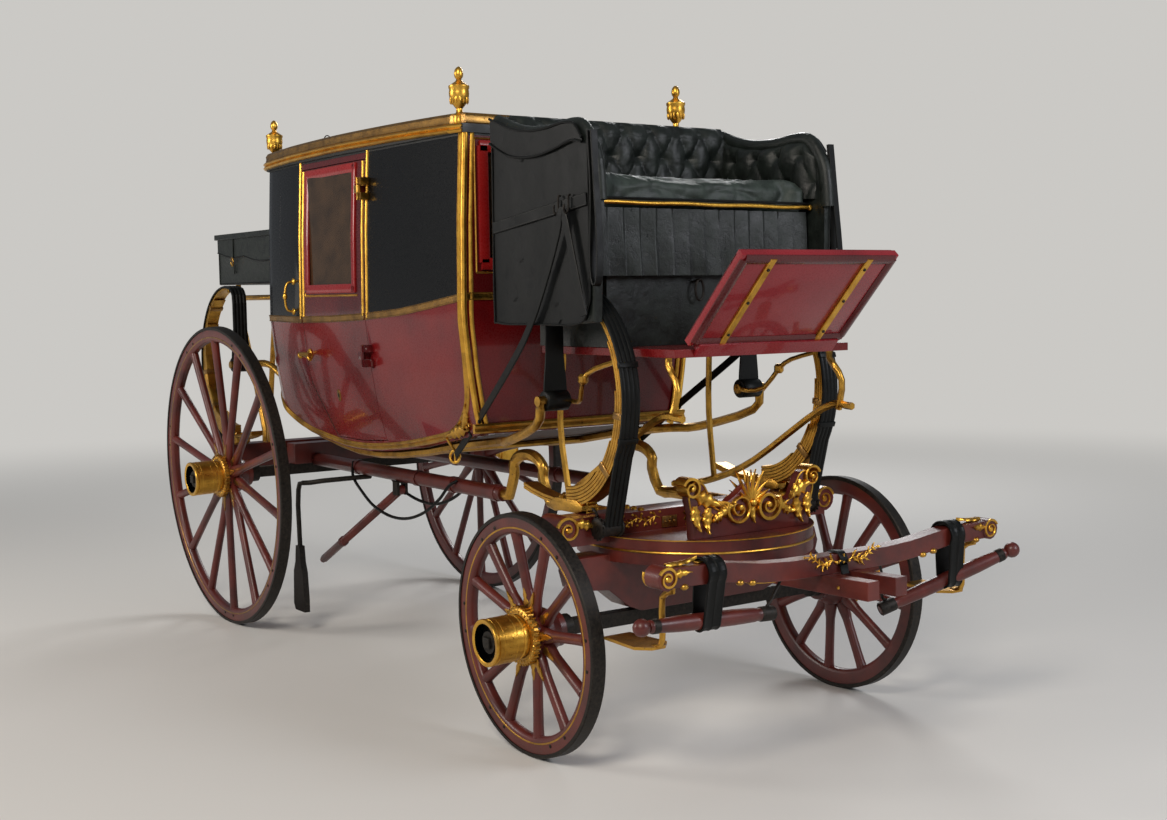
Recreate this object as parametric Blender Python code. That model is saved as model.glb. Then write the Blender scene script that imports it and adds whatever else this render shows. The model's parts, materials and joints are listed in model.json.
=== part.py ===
# Travelling carriage hung on C-springs, with crane-neck perches and a steered fore-carriage.
# Metres, +X forward, +Y to the left, +Z up. Everything is laid out from the rear axle on the
# floor, then moved so that the origin is the middle of the finished carriage, on the floor.

import bpy
import bmesh
from math import atan2, cos, hypot, pi, radians, sin, sqrt, tan
from mathutils import Matrix, Vector

# Driving sizes of the whole carriage
WHEELBASE = 2.905
TRACK = 1.60
CAMBER = radians(1.8)
REAR_WHEEL_R = 0.785
FRONT_WHEEL_R = 0.456
REAR_SPOKES = 14
FRONT_SPOKES = 12
FIT = 0.0003
WELD = 0.00002
OVERRUN = 0.05
TURN_GAP = 0.0006

# Wheels
TYRE_W = 0.056
TYRE_T = 0.018
FELLOE_W = 0.048
FELLOE_T = 0.062
FELLOE_BEVEL = 0.010
REAR_FACETS = 40
FRONT_FACETS = 32
HUB_FACETS = 16
SPOKE_FOOT = 0.056
SPOKE_WAIST = 0.045
SPOKE_TIP = 0.046
SPOKE_DEPTH = 0.040
SPOKE_STAGGER = 0.010
REAR_PHASE_SHARE = 0.05
FRONT_PHASE_SHARE = 0.23
DISH = 0.022
HUB_BACK = 0.135
HUB_R = 0.096
HUB_BACK_R = 0.066
HUB_FLANGE_R = 0.112
HUB_FLANGE_START = 0.014
HUB_FLANGE_T = 0.024
HUB_NECK_R = 0.080
HUB_CAP_R = 0.088
HUB_CAP_START = 0.054
HUB_CAP_END = 0.186
HUB_RECESS_R = 0.070
HUB_RECESS_FLOOR = 0.150
ARM_R = 0.030
ARM_CLEARANCE = 0.0004
NUT_R = 0.042
NUT_T = 0.020

# Axles and beds
AXLE_H = 0.055
AXLE_W = 0.050
COLLAR_R = 0.050
COLLAR_L = 0.045
PERCH_Y = 0.29
PERCH_R = 0.034
PERCH_Z = 0.834
PERCH_TAIL_X = -0.47
PERCH_NOSE_X = 1.950
PERCH_BAND_T = 0.005
PERCH_BAND_L = 0.040
PERCH_FACETS = 10
HIND_BED_W = 0.100
HIND_BED_HALF = 0.42
HIND_BED_TOP = 0.925
HIND_BAR_X = -0.41
HIND_BAR_W = 0.110
HIND_BAR_HALF = 0.635
HIND_BAR_TOP = 0.905
HIND_BAR_BOTTOM = 0.735
HIND_TIE_Y = 0.15
HIND_TIE_W = 0.055
HIND_TIE_H = 0.050

# Crane necks
CRANE_W = 0.046
CRANE_H = 0.052
CRANE_ARCH_TOP = 1.050
CRANE_ARCH_X = 2.150
CRANE_ARCH_R = 0.120
CRANE_FRONT_Z = 0.836

# Turntable and front bed
PLATE_R = 0.470
PLATE_T = 0.048
PLATE_Z = 0.745
PLATE_FACETS = 36
BED_W = 0.130
BED_HALF = 0.655
BED_H = 0.080
BED_SCROLL_R = 0.052
BRACKET_X = 3.235
BRACKET_HALF = 0.297
BRACKET_T = 0.040
BRACKET_TOP = 1.020

# C-springs
SPRING_RX = 0.370
SPRING_RZ = 0.420
SPRING_W = 0.066
LEAF_T = 0.013
LEAF_ENDS_DEG = (96, 62, 34, 6, -24, -52)
LEAF_STEP_DEG = 14
SPRING_TAIL = 0.300
SPRING_TAIL_RISE = 0.040
SPRING_POINTS = 22
FRONT_SPRING_X = 2.785
FRONT_SPRING_Z = 1.312
FRONT_SPRING_Y = 0.500
REAR_SPRING_X = -0.410
REAR_SPRING_Z = 1.350
REAR_SPRING_Y = 0.565
SPRING_BLOCK_L = 0.220
BRACE_W = 0.080
BRACE_T = 0.012
BRACE_DROP = 0.115
FRONT_BRACE_MEETS_DEG = -34
REAR_BRACE_MEETS_DEG = -52
DRUM_R = 0.036
DRUM_W = 0.108
EYE_R = 0.040
ROLLER_R = 0.020
ROLLER_HALF = 0.066
LOOP_END_Y_OFFSET = 0.064
CHECK_IRON_R = 0.010
CHECK_IRON_RISE = 0.160

# Body of the carriage
BODY_BACK = -0.050
BODY_FRONT = 2.150
BODY_WALL = 0.034
BODY_HALF = 0.620
BODY_TOP = 2.435
BODY_TOP_ARCH = 0.035
BODY_SILL = 0.960
BELT_Z = 1.610
CORNER_R = 0.230
ROOF_SEAM_Z = 2.362
FLOOR_SEAM_Y = 0.440
FRONT_SEAM_X = BODY_FRONT - 0.050
REAR_SEAM_X = 0.300
PANEL_GAP = 0.0006
CORNICE_H = 0.036
CORNICE_OUT = 0.020
DOOR_BACK_X = 0.600
DOOR_FRONT_X = 1.300
DOOR_TOP_Z = 2.335
DOOR_SILL_RISE = 0.050
DOOR_GAP = 0.004
DOOR_WHEEL_GAP = 0.012
HINGE_OUT = 0.012
HINGE_R = 0.010
HINGE_L = 0.034
HINGE_HEIGHTS = (1.420, 2.180)
DOOR_WINDOW_BACK = 0.680
DOOR_WINDOW_FRONT = 1.180
DOOR_WINDOW_LOW = 1.760
DOOR_WINDOW_HIGH = 2.290
GLASS_T = 0.006
FRONT_WINDOW_LOW = 1.845
FRONT_WINDOW_HIGH = 2.300
FRONT_WINDOW_HALF = 0.470
URN_H = 0.215
URN_R = 0.040
URN_FACETS = 8
HANDLE_Z = 1.430
HANDLE_R = 0.009
HANDLE_OUT = 0.050
HANDLE_L = 0.110
BENCH_FRONT = 0.640
BENCH_TOP = 1.340
BENCH_CUSHION_T = 0.110

# Driving seat
SEAT_BACK_X = 2.400
SEAT_FRONT_X = 3.000
SEAT_HALF = 0.600
SEAT_SIDE_T = 0.060
SEAT_ARM_TOP = 2.390
SEAT_FLAP_LOW = 1.590
SEAT_BACK_TOP = 2.400
SEAT_BACK_T = 0.100
SEAT_DECK_Z = 2.020
SEAT_DECK_T = 0.040
SEAT_CUSHION_TOP = 2.140
VALANCE_LOW = 1.770
VALANCE_T = 0.020
BOX_HALF = 0.440
BOX_BACK_X = 2.480
BOX_FRONT_X = 2.940
TOE_FLOOR_Z = 1.500
TOE_FLOOR_T = 0.030
TOE_FLOOR_FRONT = 3.330
TOE_FLOOR_HALF = 0.430
FOOTBOARD_HALF = 0.380
FOOTBOARD_T = 0.030
FOOTBOARD_LOW = (3.345, 1.512)
FOOTBOARD_HIGH = (3.640, 1.825)
STAY_R = 0.015

# Rumble seat behind
RUMBLE_BACK_X = -0.880
RUMBLE_FRONT_X = -0.120
RUMBLE_HALF = 0.440
RUMBLE_LOW = 1.790
RUMBLE_TOP = 2.080
RUMBLE_LID_T = 0.030
RUMBLE_LID_OUT = 0.020

# Fore-carriage
FORE_BED_W = 0.120
FORE_BED_HALF = 0.600
FUTCHELL_Y = 0.068
FUTCHELL_W = 0.056
FUTCHELL_H = 0.066
FUTCHELL_TOP = 0.690
FUTCHELL_BACK_X = 2.480
FUTCHELL_FRONT_X = 3.940
FUTCHELL_NOSE_TOP = 0.708
SPLINTER_X = 3.690
SPLINTER_HALF = 0.810
SPLINTER_H = 0.066
SPLINTER_W = 0.066
SPLINTER_END_RISE = 0.040
SPLINTER_SCROLL_R = 0.040
SWINGLE_Y = 0.590
SWINGLE_R = 0.028
SWINGLE_KNOB_R = 0.030
SWINGLE_HALF = 0.300
SWINGLE_DROP = 0.165
LOOP_W = 0.080
LOOP_T = 0.010
STEP_Y = 0.740
STEP_R = 0.011
STEP_PLATE_Z = 0.527
STEP_PLATE_T = 0.010
STEP_PLATE_L = 0.255
STEP_PLATE_W = 0.140

# Drag staff and drag shoe
STAFF_PIVOT_X = 0.990
STAFF_PIVOT_DROP = 0.076
STAFF_L = 1.000
STAFF_R = 0.022
STAFF_ANGLE = radians(27.5)
SHOE_X = 0.480
SHOE_Y = 0.600
SHOE_TOP = 0.450
SHOE_LOW = 0.115
SHOE_W = 0.130
SHOE_T = 0.030
SHOE_ARM_R = 0.013

REAR_AXLE_Z = REAR_WHEEL_R * cos(pi / REAR_FACETS) * cos(CAMBER)
FRONT_AXLE_Z = FRONT_WHEEL_R * cos(pi / FRONT_FACETS) * cos(CAMBER)
PERCH_FLAT = PERCH_R * cos(pi / PERCH_FACETS)
RIGHT = -1
LEFT = 1

# Height of the splinter bar along its length, as shares of its half length and of its rise
SPLINTER_SHARES = ((-1.0, 1.0), (-0.70, 0.85), (-0.45, 0.20), (-0.28, 0.0),
                   (0.28, 0.0), (0.45, 0.20), (0.70, 0.85), (1.0, 1.0))

# How each swingletree hangs: how far forward, as a share of its drop, and where its outer end
# points, as shares of its half length forward, outward and up
SWINGLE_SHARES = {"right": (-0.06, (0.0, 1.0, 0.05)), "left": (0.06, (0.375, 0.86, 0.35))}

# Bottom of the body from back to front, as shares of its length and of the height to the belt
BOTTOM_SHARES = ((0.000, 0.68), (0.010, 0.50), (0.035, 0.36), (0.075, 0.25), (0.130, 0.165), (0.210, 0.095),
                 (0.300, 0.050), (0.400, 0.015), (0.500, 0.015), (0.600, 0.040), (0.720, 0.090),
                 (0.850, 0.165), (0.970, 0.235))

# Half width of the body at heights from sill to belt, as shares of that height and of BODY_HALF
WIDTH_SHARES = ((0.0, 0.775), (0.154, 0.845), (0.369, 0.905), (0.646, 0.955), (1.0, 0.995), (1.6, 0.985))


def clear_scene():
    for old in list(bpy.data.objects):
        bpy.data.objects.remove(old, do_unlink=True)


def srgb(value):
    return value / 12.92 if value <= 0.04045 else ((value + 0.055) / 1.055) ** 2.4


def finish(name, colour, roughness, metallic=0.0, alpha=1.0):
    made = bpy.data.materials.new(name)
    made.use_nodes = True
    shader = made.node_tree.nodes["Principled BSDF"]
    red, green, blue = (srgb(int(colour[i:i + 2], 16) / 255) for i in (0, 2, 4))
    shader.inputs["Base Color"].default_value = (red, green, blue, 1.0)
    shader.inputs["Roughness"].default_value = roughness
    shader.inputs["Metallic"].default_value = metallic
    shader.inputs["Alpha"].default_value = alpha
    made.diffuse_color = (red, green, blue, alpha)
    return made


# Making closed solids

def as_mesh(bm):
    bmesh.ops.remove_doubles(bm, verts=bm.verts, dist=WELD)
    bmesh.ops.recalc_face_normals(bm, faces=bm.faces)
    mesh = bpy.data.meshes.new("solid")
    bm.to_mesh(mesh)
    bm.free()
    return mesh


def loose(mesh):
    body = bpy.data.objects.new("solid", mesh)
    bpy.context.scene.collection.objects.link(body)
    return body


def apply_boolean(base, other, operation):
    step = base.modifiers.new("step", "BOOLEAN")
    step.operation = operation
    step.solver = "EXACT"
    step.object = other
    graph = bpy.context.evaluated_depsgraph_get()
    made = bpy.data.meshes.new_from_object(base.evaluated_get(graph))
    base.modifiers.clear()
    base.data = made


def combine(base_mesh, others, operation):
    base = loose(base_mesh)
    for mesh in others:
        other = loose(mesh)
        apply_boolean(base, other, operation)
        bpy.data.objects.remove(other)
    made = base.data
    bpy.data.objects.remove(base)
    bm = bmesh.new()
    bm.from_mesh(made)
    bmesh.ops.remove_doubles(bm, verts=bm.verts, dist=WELD)
    bmesh.ops.dissolve_degenerate(bm, edges=bm.edges, dist=WELD)
    bm.to_mesh(made)
    bm.free()
    return made


def fuse(first, *rest):
    return combine(first, rest, "UNION")


def cut(base, *cutters):
    return combine(base, cutters, "DIFFERENCE")


def common(base, *others):
    return combine(base, others, "INTERSECT")


def copy_of(mesh, matrix=None):
    twin = mesh.copy()
    if matrix is not None:
        twin.transform(matrix)
        if matrix.determinant() < 0:
            twin.flip_normals()
    return twin


def mirrored(mesh):
    return copy_of(mesh, Matrix.Scale(-1, 4, Vector((0, 1, 0))))


def moved(mesh, x, y, z):
    return copy_of(mesh, Matrix.Translation((x, y, z)))


def box(low, high):
    bm = bmesh.new()
    bmesh.ops.create_cube(bm, size=1)
    middle = (Vector(low) + Vector(high)) / 2
    span = Vector(high) - Vector(low)
    bmesh.ops.transform(bm, matrix=Matrix.Translation(middle) @ Matrix.Diagonal((*span, 1)), verts=bm.verts)
    return as_mesh(bm)


def in_plane(plane, u, v, depth):
    return {"xz": (u, depth, v), "yz": (depth, u, v), "xy": (u, v, depth)}[plane]


def slab(outline, plane, low, high):
    bm = bmesh.new()
    near = [bm.verts.new(in_plane(plane, u, v, low)) for u, v in outline]
    far = [bm.verts.new(in_plane(plane, u, v, high)) for u, v in outline]
    bm.faces.new(near)
    bm.faces.new(list(reversed(far)))
    count = len(outline)
    for i in range(count):
        j = (i + 1) % count
        bm.faces.new((near[i], near[j], far[j], far[i]))
    return as_mesh(bm)


def hoop(outer, inner, plane, low, high):
    bm = bmesh.new()
    rings = []
    for outline, depth in ((outer, low), (outer, high), (inner, high), (inner, low)):
        rings.append([bm.verts.new(in_plane(plane, u, v, depth)) for u, v in outline])
    count = len(outer)
    for k in range(4):
        ring, following = rings[k], rings[(k + 1) % 4]
        for i in range(count):
            j = (i + 1) % count
            bm.faces.new((ring[i], ring[j], following[j], following[i]))
    return as_mesh(bm)


def loft(rings):
    bm = bmesh.new()
    rows = [[bm.verts.new(point) for point in ring] for ring in rings]
    for row, following in zip(rows, rows[1:]):
        for i in range(len(row)):
            j = (i + 1) % len(row)
            bm.faces.new((row[i], row[j], following[j], following[i]))
    bm.faces.new(rows[0])
    bm.faces.new(list(reversed(rows[-1])))
    return as_mesh(bm)


def turned(profile, facets, closed=False, start=0.0):
    # A profile of radius and height is turned round the Z axis.
    bm = bmesh.new()
    rows = []
    for radius, height in profile:
        if radius == 0:
            rows.append([bm.verts.new((0, 0, height))] * facets)
        else:
            rows.append([bm.verts.new((radius * cos(start + 2 * pi * i / facets),
                                       radius * sin(start + 2 * pi * i / facets), height))
                         for i in range(facets)])
    pairs = list(zip(rows, rows[1:]))
    if closed:
        pairs.append((rows[-1], rows[0]))
    for row, following in pairs:
        for i in range(facets):
            j = (i + 1) % facets
            corners = []
            for vert in (row[i], row[j], following[j], following[i]):
                if vert not in corners:
                    corners.append(vert)
            if len(corners) > 2:
                bm.faces.new(corners)
    return as_mesh(bm)


def turned_between(start, end, profile, facets=8):
    # The profile gives radius and distance from the start; the last distance is the length.
    along = Vector(end) - Vector(start)
    mesh = turned([(0, profile[0][1])] + list(profile) + [(0, profile[-1][1])], facets)
    turn = along.to_track_quat("Z", "Y").to_matrix().to_4x4()
    return copy_of(mesh, Matrix.Translation(start) @ turn)


def round_bar(start, end, radius, facets=8):
    length = (Vector(end) - Vector(start)).length
    return turned_between(start, end, [(radius, 0), (radius, length)], facets)


def oval(width, height, count=8, turn=0.0):
    return [(width / 2 * cos(turn + 2 * pi * i / count), height / 2 * sin(turn + 2 * pi * i / count))
            for i in range(count)]


def bar_section(width, height):
    return [(-width / 2, -height / 2), (width / 2, -height / 2),
            (width / 2, height / 2), (-width / 2, height / 2)]


def sweep(path, section, side=(0, 1, 0), sizes=None):
    # The section's first number runs along side and its second square to the path.
    points = [Vector(point) for point in path]
    rings = []
    for i, point in enumerate(points):
        before = points[max(i - 1, 0)]
        after = points[min(i + 1, len(points) - 1)]
        along = (after - before).normalized()
        across = (Vector(side) - along * along.dot(Vector(side))).normalized()
        upward = across.cross(along)
        size = sizes[i] if sizes else 1
        rings.append([point + across * u * size + upward * v * size for u, v in section])
    return loft(rings)


def smooth(points, steps=4):
    # A smooth curve through a few chosen points.
    points = [Vector(point) for point in points]
    ends = [2 * points[0] - points[1]] + points + [2 * points[-1] - points[-2]]
    curve = []
    for before, start, end, after in zip(ends, ends[1:], ends[2:], ends[3:]):
        for i in range(steps):
            t = i / steps
            curve.append(0.5 * (2 * start + (end - before) * t
                                + (2 * before - 5 * start + 4 * end - after) * t * t
                                + (3 * start - before - 3 * end + after) * t ** 3))
    curve.append(points[-1])
    return curve


def arc(middle_u, middle_v, radius_u, radius_v, start_deg, end_deg, count):
    turns = [radians(start_deg + (end_deg - start_deg) * i / count) for i in range(count + 1)]
    return [(middle_u + radius_u * cos(turn), middle_v + radius_v * sin(turn)) for turn in turns]


def place(name, mesh, look, origin=(0, 0, 0), smooth_deg=35):
    # The mesh is given in the carriage's frame; its origin is put on its joint's axis.
    mesh.name = name
    mesh.transform(Matrix.Translation(-Vector(origin)))
    mesh.materials.clear()
    mesh.materials.append(look)
    mesh.shade_smooth()
    mesh.set_sharp_from_angle(angle=radians(smooth_deg))
    made = bpy.data.objects.new(name, mesh)
    bpy.context.scene.collection.objects.link(made)
    made.location = origin
    return made


def hang(name, mesh, look, pivot, at):
    # The mesh, given in the carriage's frame, turns about the empty that marks its axis.
    made = place(name, mesh, look, at)
    made.parent = pivot
    made.location = (0, 0, 0)


def empty(name, at, parent=None):
    made = bpy.data.objects.new(name, None)
    bpy.context.scene.collection.objects.link(made)
    made.location = at if parent is None else Vector(at) - parent.location
    made.parent = parent
    return made


# Wheels

def axis_matrix(x, z, hand):
    # Local +Z becomes the outboard direction of the axle arm, which droops by the camber.
    outboard = Vector((0, hand * cos(CAMBER), -sin(CAMBER)))
    forward = Vector((1, 0, 0))
    upward = outboard.cross(forward)
    turn = Matrix((forward, upward, outboard)).transposed().to_4x4()
    return Matrix.Translation((x, hand * TRACK / 2, z)) @ turn


def wheel_meshes(radius, spokes, phase, facets):
    half_facet = pi / facets
    start = pi / 2 + half_facet

    def coned(inside, a):
        return radius - inside - a * tan(CAMBER)

    tyre = turned([(coned(0, -TYRE_W / 2), -TYRE_W / 2), (coned(0, TYRE_W / 2), TYRE_W / 2),
                   (coned(TYRE_T, TYRE_W / 2), TYRE_W / 2), (coned(TYRE_T, -TYRE_W / 2), -TYRE_W / 2)],
                  facets, True, start)
    outer = TYRE_T + FIT
    inner = TYRE_T + FELLOE_T
    half = FELLOE_W / 2
    felloe = turned([(coned(outer, -half), -half), (coned(outer, half), half),
                     (radius - inner + FELLOE_BEVEL, half), (radius - inner, half - FELLOE_BEVEL),
                     (radius - inner, FELLOE_BEVEL - half), (radius - inner + FELLOE_BEVEL, -half)],
                    facets, True, start)
    bore = (ARM_R + ARM_CLEARANCE) / cos(pi / HUB_FACETS)
    flange_end = HUB_FLANGE_START + HUB_FLANGE_T
    hub = turned([(bore, -HUB_BACK), (HUB_BACK_R, -HUB_BACK), (HUB_BACK_R, -HUB_BACK * 0.8),
                  (HUB_R, -DISH - SPOKE_DEPTH), (HUB_R, HUB_FLANGE_START),
                  (HUB_FLANGE_R, HUB_FLANGE_START), (HUB_FLANGE_R, flange_end),
                  (HUB_NECK_R, HUB_CAP_START), (HUB_CAP_R, HUB_CAP_START + FELLOE_BEVEL),
                  (HUB_CAP_R, HUB_CAP_END), (HUB_RECESS_R, HUB_CAP_END),
                  (HUB_RECESS_R, HUB_RECESS_FLOOR), (bore, HUB_RECESS_FLOOR)],
                 HUB_FACETS, True)
    wood = fuse(felloe)
    foot_r = HUB_R - SPOKE_FOOT / 2
    tip_r = radius - inner + FELLOE_T / 3
    for i in range(spokes):
        turn = 2 * pi * (i + phase) / spokes + pi / 2
        stagger = SPOKE_STAGGER * (1 if i % 2 else -1)
        sections = []
        for share, width, depth in ((0.0, SPOKE_FOOT, SPOKE_DEPTH), (0.45, SPOKE_WAIST, SPOKE_DEPTH),
                                    (1.0, SPOKE_TIP, SPOKE_TIP)):
            reach = foot_r + (tip_r - foot_r) * share
            lean = (-DISH + stagger) * (1 - share)
            sections.append([(reach, u, v + lean) for u, v in oval(width, depth, 6, pi / 6)])
        spoke = copy_of(loft(sections), Matrix.Rotation(turn, 4, "Z"))
        wood = fuse(wood, spoke)
    return fuse(wood, hub), tyre


def build_wheels(looks, steer):
    for end, x, z, radius, spokes, phase, facets in (
            ("rear", 0.0, REAR_AXLE_Z, REAR_WHEEL_R, REAR_SPOKES, REAR_PHASE_SHARE, REAR_FACETS),
            ("front", WHEELBASE, FRONT_AXLE_Z, FRONT_WHEEL_R, FRONT_SPOKES, FRONT_PHASE_SHARE, FRONT_FACETS)):
        wood, tyre = wheel_meshes(radius, spokes, phase, facets)
        for side, hand in (("right", RIGHT), ("left", LEFT)):
            seat = axis_matrix(x, z, hand)
            middle = (x, hand * TRACK / 2, z)
            pivot = empty(f"{end}_{side}_wheel_axis", middle, steer if end == "front" else None)
            hang(f"wheel_{end}_{side}", copy_of(wood, seat), looks["red"], pivot, middle)
            hang(f"tyre_{end}_{side}", copy_of(tyre, seat), looks["iron"], pivot, middle)


# Axles, beds and perches

def axle_mesh(x, z):
    arm_drop = (COLLAR_L + HUB_BACK) * tan(CAMBER)
    reach = TRACK / 2 - HUB_BACK - COLLAR_L / 2
    beam_z = z + arm_drop
    parts = [box((x - AXLE_W / 2, -reach, beam_z - AXLE_H / 2), (x + AXLE_W / 2, reach, beam_z + AXLE_H / 2))]
    for hand in (RIGHT, LEFT):
        collar = turned([(0, -HUB_BACK - FIT - COLLAR_L), (COLLAR_R, -HUB_BACK - FIT - COLLAR_L),
                         (COLLAR_R, -HUB_BACK - FIT), (ARM_R, -HUB_BACK - FIT),
                         (ARM_R, HUB_RECESS_FLOOR + FIT), (NUT_R, HUB_RECESS_FLOOR + FIT),
                         (NUT_R, HUB_RECESS_FLOOR + NUT_T), (0, HUB_RECESS_FLOOR + NUT_T)], HUB_FACETS)
        parts.append(copy_of(collar, axis_matrix(x, z, hand)))
    return fuse(*parts)


def perch_mesh(grow=0.0):
    start = PERCH_TAIL_X - (OVERRUN if grow else 0)
    length = PERCH_NOSE_X - start
    radius = PERCH_R + grow
    profile = [(0, 0), (radius, 0)]
    if not grow:
        for share in (0.42, 0.68, 0.82, 0.975):
            low = length * share - PERCH_BAND_L / 2
            high = low + PERCH_BAND_L
            band = radius + PERCH_BAND_T
            profile += [(radius, low), (band, low), (band, high), (radius, high)]
    profile += [(radius, length), (0, length)]
    pole = turned(profile, PERCH_FACETS, start=pi / PERCH_FACETS)
    turn = Matrix.Rotation(pi / 2, 4, "Y")
    return copy_of(pole, Matrix.Translation((start, -PERCH_Y, PERCH_Z)) @ turn)


def crane_mesh():
    low = CRANE_FRONT_Z
    high = CRANE_ARCH_TOP - CRANE_H / 2
    start_x = PERCH_NOSE_X + FIT
    end_x = WHEELBASE - BED_W / 2 - FIT
    rear_foot = CRANE_ARCH_X - CRANE_ARCH_R
    front_foot = CRANE_ARCH_X + CRANE_ARCH_R
    waist = low + (high - low) / 2
    route = [(start_x, PERCH_Z), (start_x + CRANE_W, PERCH_Z), (rear_foot + CRANE_W / 6, waist)]
    route += arc(CRANE_ARCH_X, waist + CRANE_W / 2, CRANE_ARCH_R, high - waist - CRANE_W / 2, 165, 15, 6)
    route += [(front_foot - CRANE_W / 6, waist), (front_foot + CRANE_W, low), (front_foot + 3 * CRANE_W, low),
              (end_x, low)]
    path = [(x, -PERCH_Y, z) for x, z in route]
    ends = [path[0]] + smooth(path[1:-1], 2) + [path[-1]]
    return sweep(ends, oval(CRANE_W, CRANE_H, 8, pi / 8))


def hind_bed_mesh(axle_top):
    bolster = box((-HIND_BED_W / 2, -HIND_BED_HALF, axle_top + FIT),
                  (HIND_BED_W / 2, HIND_BED_HALF, HIND_BED_TOP))
    tall = HIND_BAR_TOP - HIND_BAR_BOTTOM
    shares = [(1.0, 1.0), (1.0, 0.5), (0.80, 0.17), (0.62, 0.0)]
    right = [(-HIND_BAR_HALF * u, HIND_BAR_BOTTOM + tall * v) for u, v in shares]
    outline = right + [(-y, z) for y, z in reversed(right)]
    bar = slab(outline, "yz", HIND_BAR_X - HIND_BAR_W / 2, HIND_BAR_X + HIND_BAR_W / 2)
    made = fuse(bolster, bar)
    for hand in (RIGHT, LEFT):
        middle = hand * HIND_TIE_Y
        tie = box((HIND_BAR_X, middle - HIND_TIE_W / 2, axle_top + HIND_TIE_H / 2),
                  (0, middle + HIND_TIE_W / 2, axle_top + HIND_TIE_H * 1.5))
        made = fuse(made, tie)
    clearance = perch_mesh(FIT * 2)
    return cut(made, clearance, mirrored(clearance))


def front_bed_mesh():
    low = PLATE_Z + PLATE_T
    top = low + BED_H
    bed = box((WHEELBASE - BED_W / 2, -BED_HALF, low - PLATE_T / 2), (WHEELBASE + BED_W / 2, BED_HALF, top))
    for hand in (RIGHT, LEFT):
        scroll = round_bar((WHEELBASE - BED_W / 2, hand * BED_HALF, low + BED_H / 2),
                           (WHEELBASE + BED_W / 2, hand * BED_HALF, low + BED_H / 2), BED_SCROLL_R, 14)
        bed = fuse(bed, scroll)
    return bed


def plate_mesh(low, radius):
    disc = turned([(0, 0), (radius, 0), (radius, PLATE_T), (0, PLATE_T)], PLATE_FACETS)
    return moved(disc, WHEELBASE, 0, low)


def bracket_mesh():
    low = PLATE_Z + PLATE_T + FIT
    high = BRACKET_TOP
    tall = high - low
    half = BRACKET_HALF
    # Two scroll brackets with a shell between them, as shares of the half width and the height.
    shares = [(0.98, 0.0), (1.0, 0.40), (1.06, 0.62), (1.08, 0.86), (0.98, 1.0), (0.84, 0.96), (0.76, 0.78),
              (0.68, 0.55), (0.50, 0.42), (0.42, 0.62), (0.30, 0.84), (0.14, 1.04), (0.0, 1.12)]
    right = [(-half * u, low + tall * v) for u, v in shares]
    left = [(half * u, low + tall * v) for u, v in reversed(shares[:-1])]
    board = slab(right + left, "yz", BRACKET_X - BRACKET_T / 2, BRACKET_X + BRACKET_T / 2)
    for hand in (RIGHT, LEFT):
        for share, rise, size in ((1.02, 0.84, 0.19), (0.24, 0.44, 0.28)):
            y = hand * half * share
            z = low + tall * rise
            roll = tall * size
            scroll = round_bar((BRACKET_X - BRACKET_T, y, z), (BRACKET_X + BRACKET_T, y, z), roll, 12)
            board = fuse(board, scroll)
    return board


# C-springs, their leather braces and the loops of the body

def spring_point(turn_deg, inset):
    turn = radians(turn_deg)
    return ((SPRING_RX - inset) * cos(turn), (SPRING_RZ - inset) * sin(turn))


def spring_outline():
    # Outside round the C from its top to the tail, then back inside, one step for each leaf's end.
    top = LEAF_ENDS_DEG[0]
    count = SPRING_POINTS
    outside = [spring_point(top + (-90 - top) * i / count, 0) for i in range(count + 1)]
    tail_z = SPRING_TAIL_RISE - SPRING_RZ
    tail = [(-SPRING_TAIL, tail_z), (-SPRING_TAIL, tail_z + 2 * LEAF_T)]
    inside = []
    leaves = len(LEAF_ENDS_DEG)
    stops = list(reversed(LEAF_ENDS_DEG))
    begin = -90
    for k, stop in enumerate(stops):
        inset = LEAF_T * (leaves - k)
        steps = max(2, round((stop - begin) / LEAF_STEP_DEG))
        inside += [spring_point(begin + (stop - begin) * i / steps, inset) for i in range(steps + 1)]
        begin = stop
    return outside + tail + inside


def spring_mesh(x, y, z, facing, foot_z):
    outline = [(x + facing * u, z + v) for u, v in spring_outline()]
    half = SPRING_W / 2
    blade = slab(outline, "xz", y - half, y + half)
    tip_u, tip_v = spring_point(LEAF_ENDS_DEG[0], LEAF_T)
    curl_half = half * 0.96
    curl_x = x + facing * tip_u
    curl = round_bar((curl_x, y - curl_half, z + tip_v), (curl_x, y + curl_half, z + tip_v), LEAF_T * 0.9, 10)
    block_half = SPRING_BLOCK_L / 2
    bottom = z - SPRING_RZ
    right = [(block_half * 0.7, foot_z), (block_half, bottom - LEAF_T / 2), (block_half, bottom + 2 * LEAF_T)]
    outline = [(x + u, v) for u, v in right] + [(x - u, v) for u, v in reversed(right)]
    return fuse(blade, curl, slab(outline, "xz", y - half * 1.15, y + half * 1.15))


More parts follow.
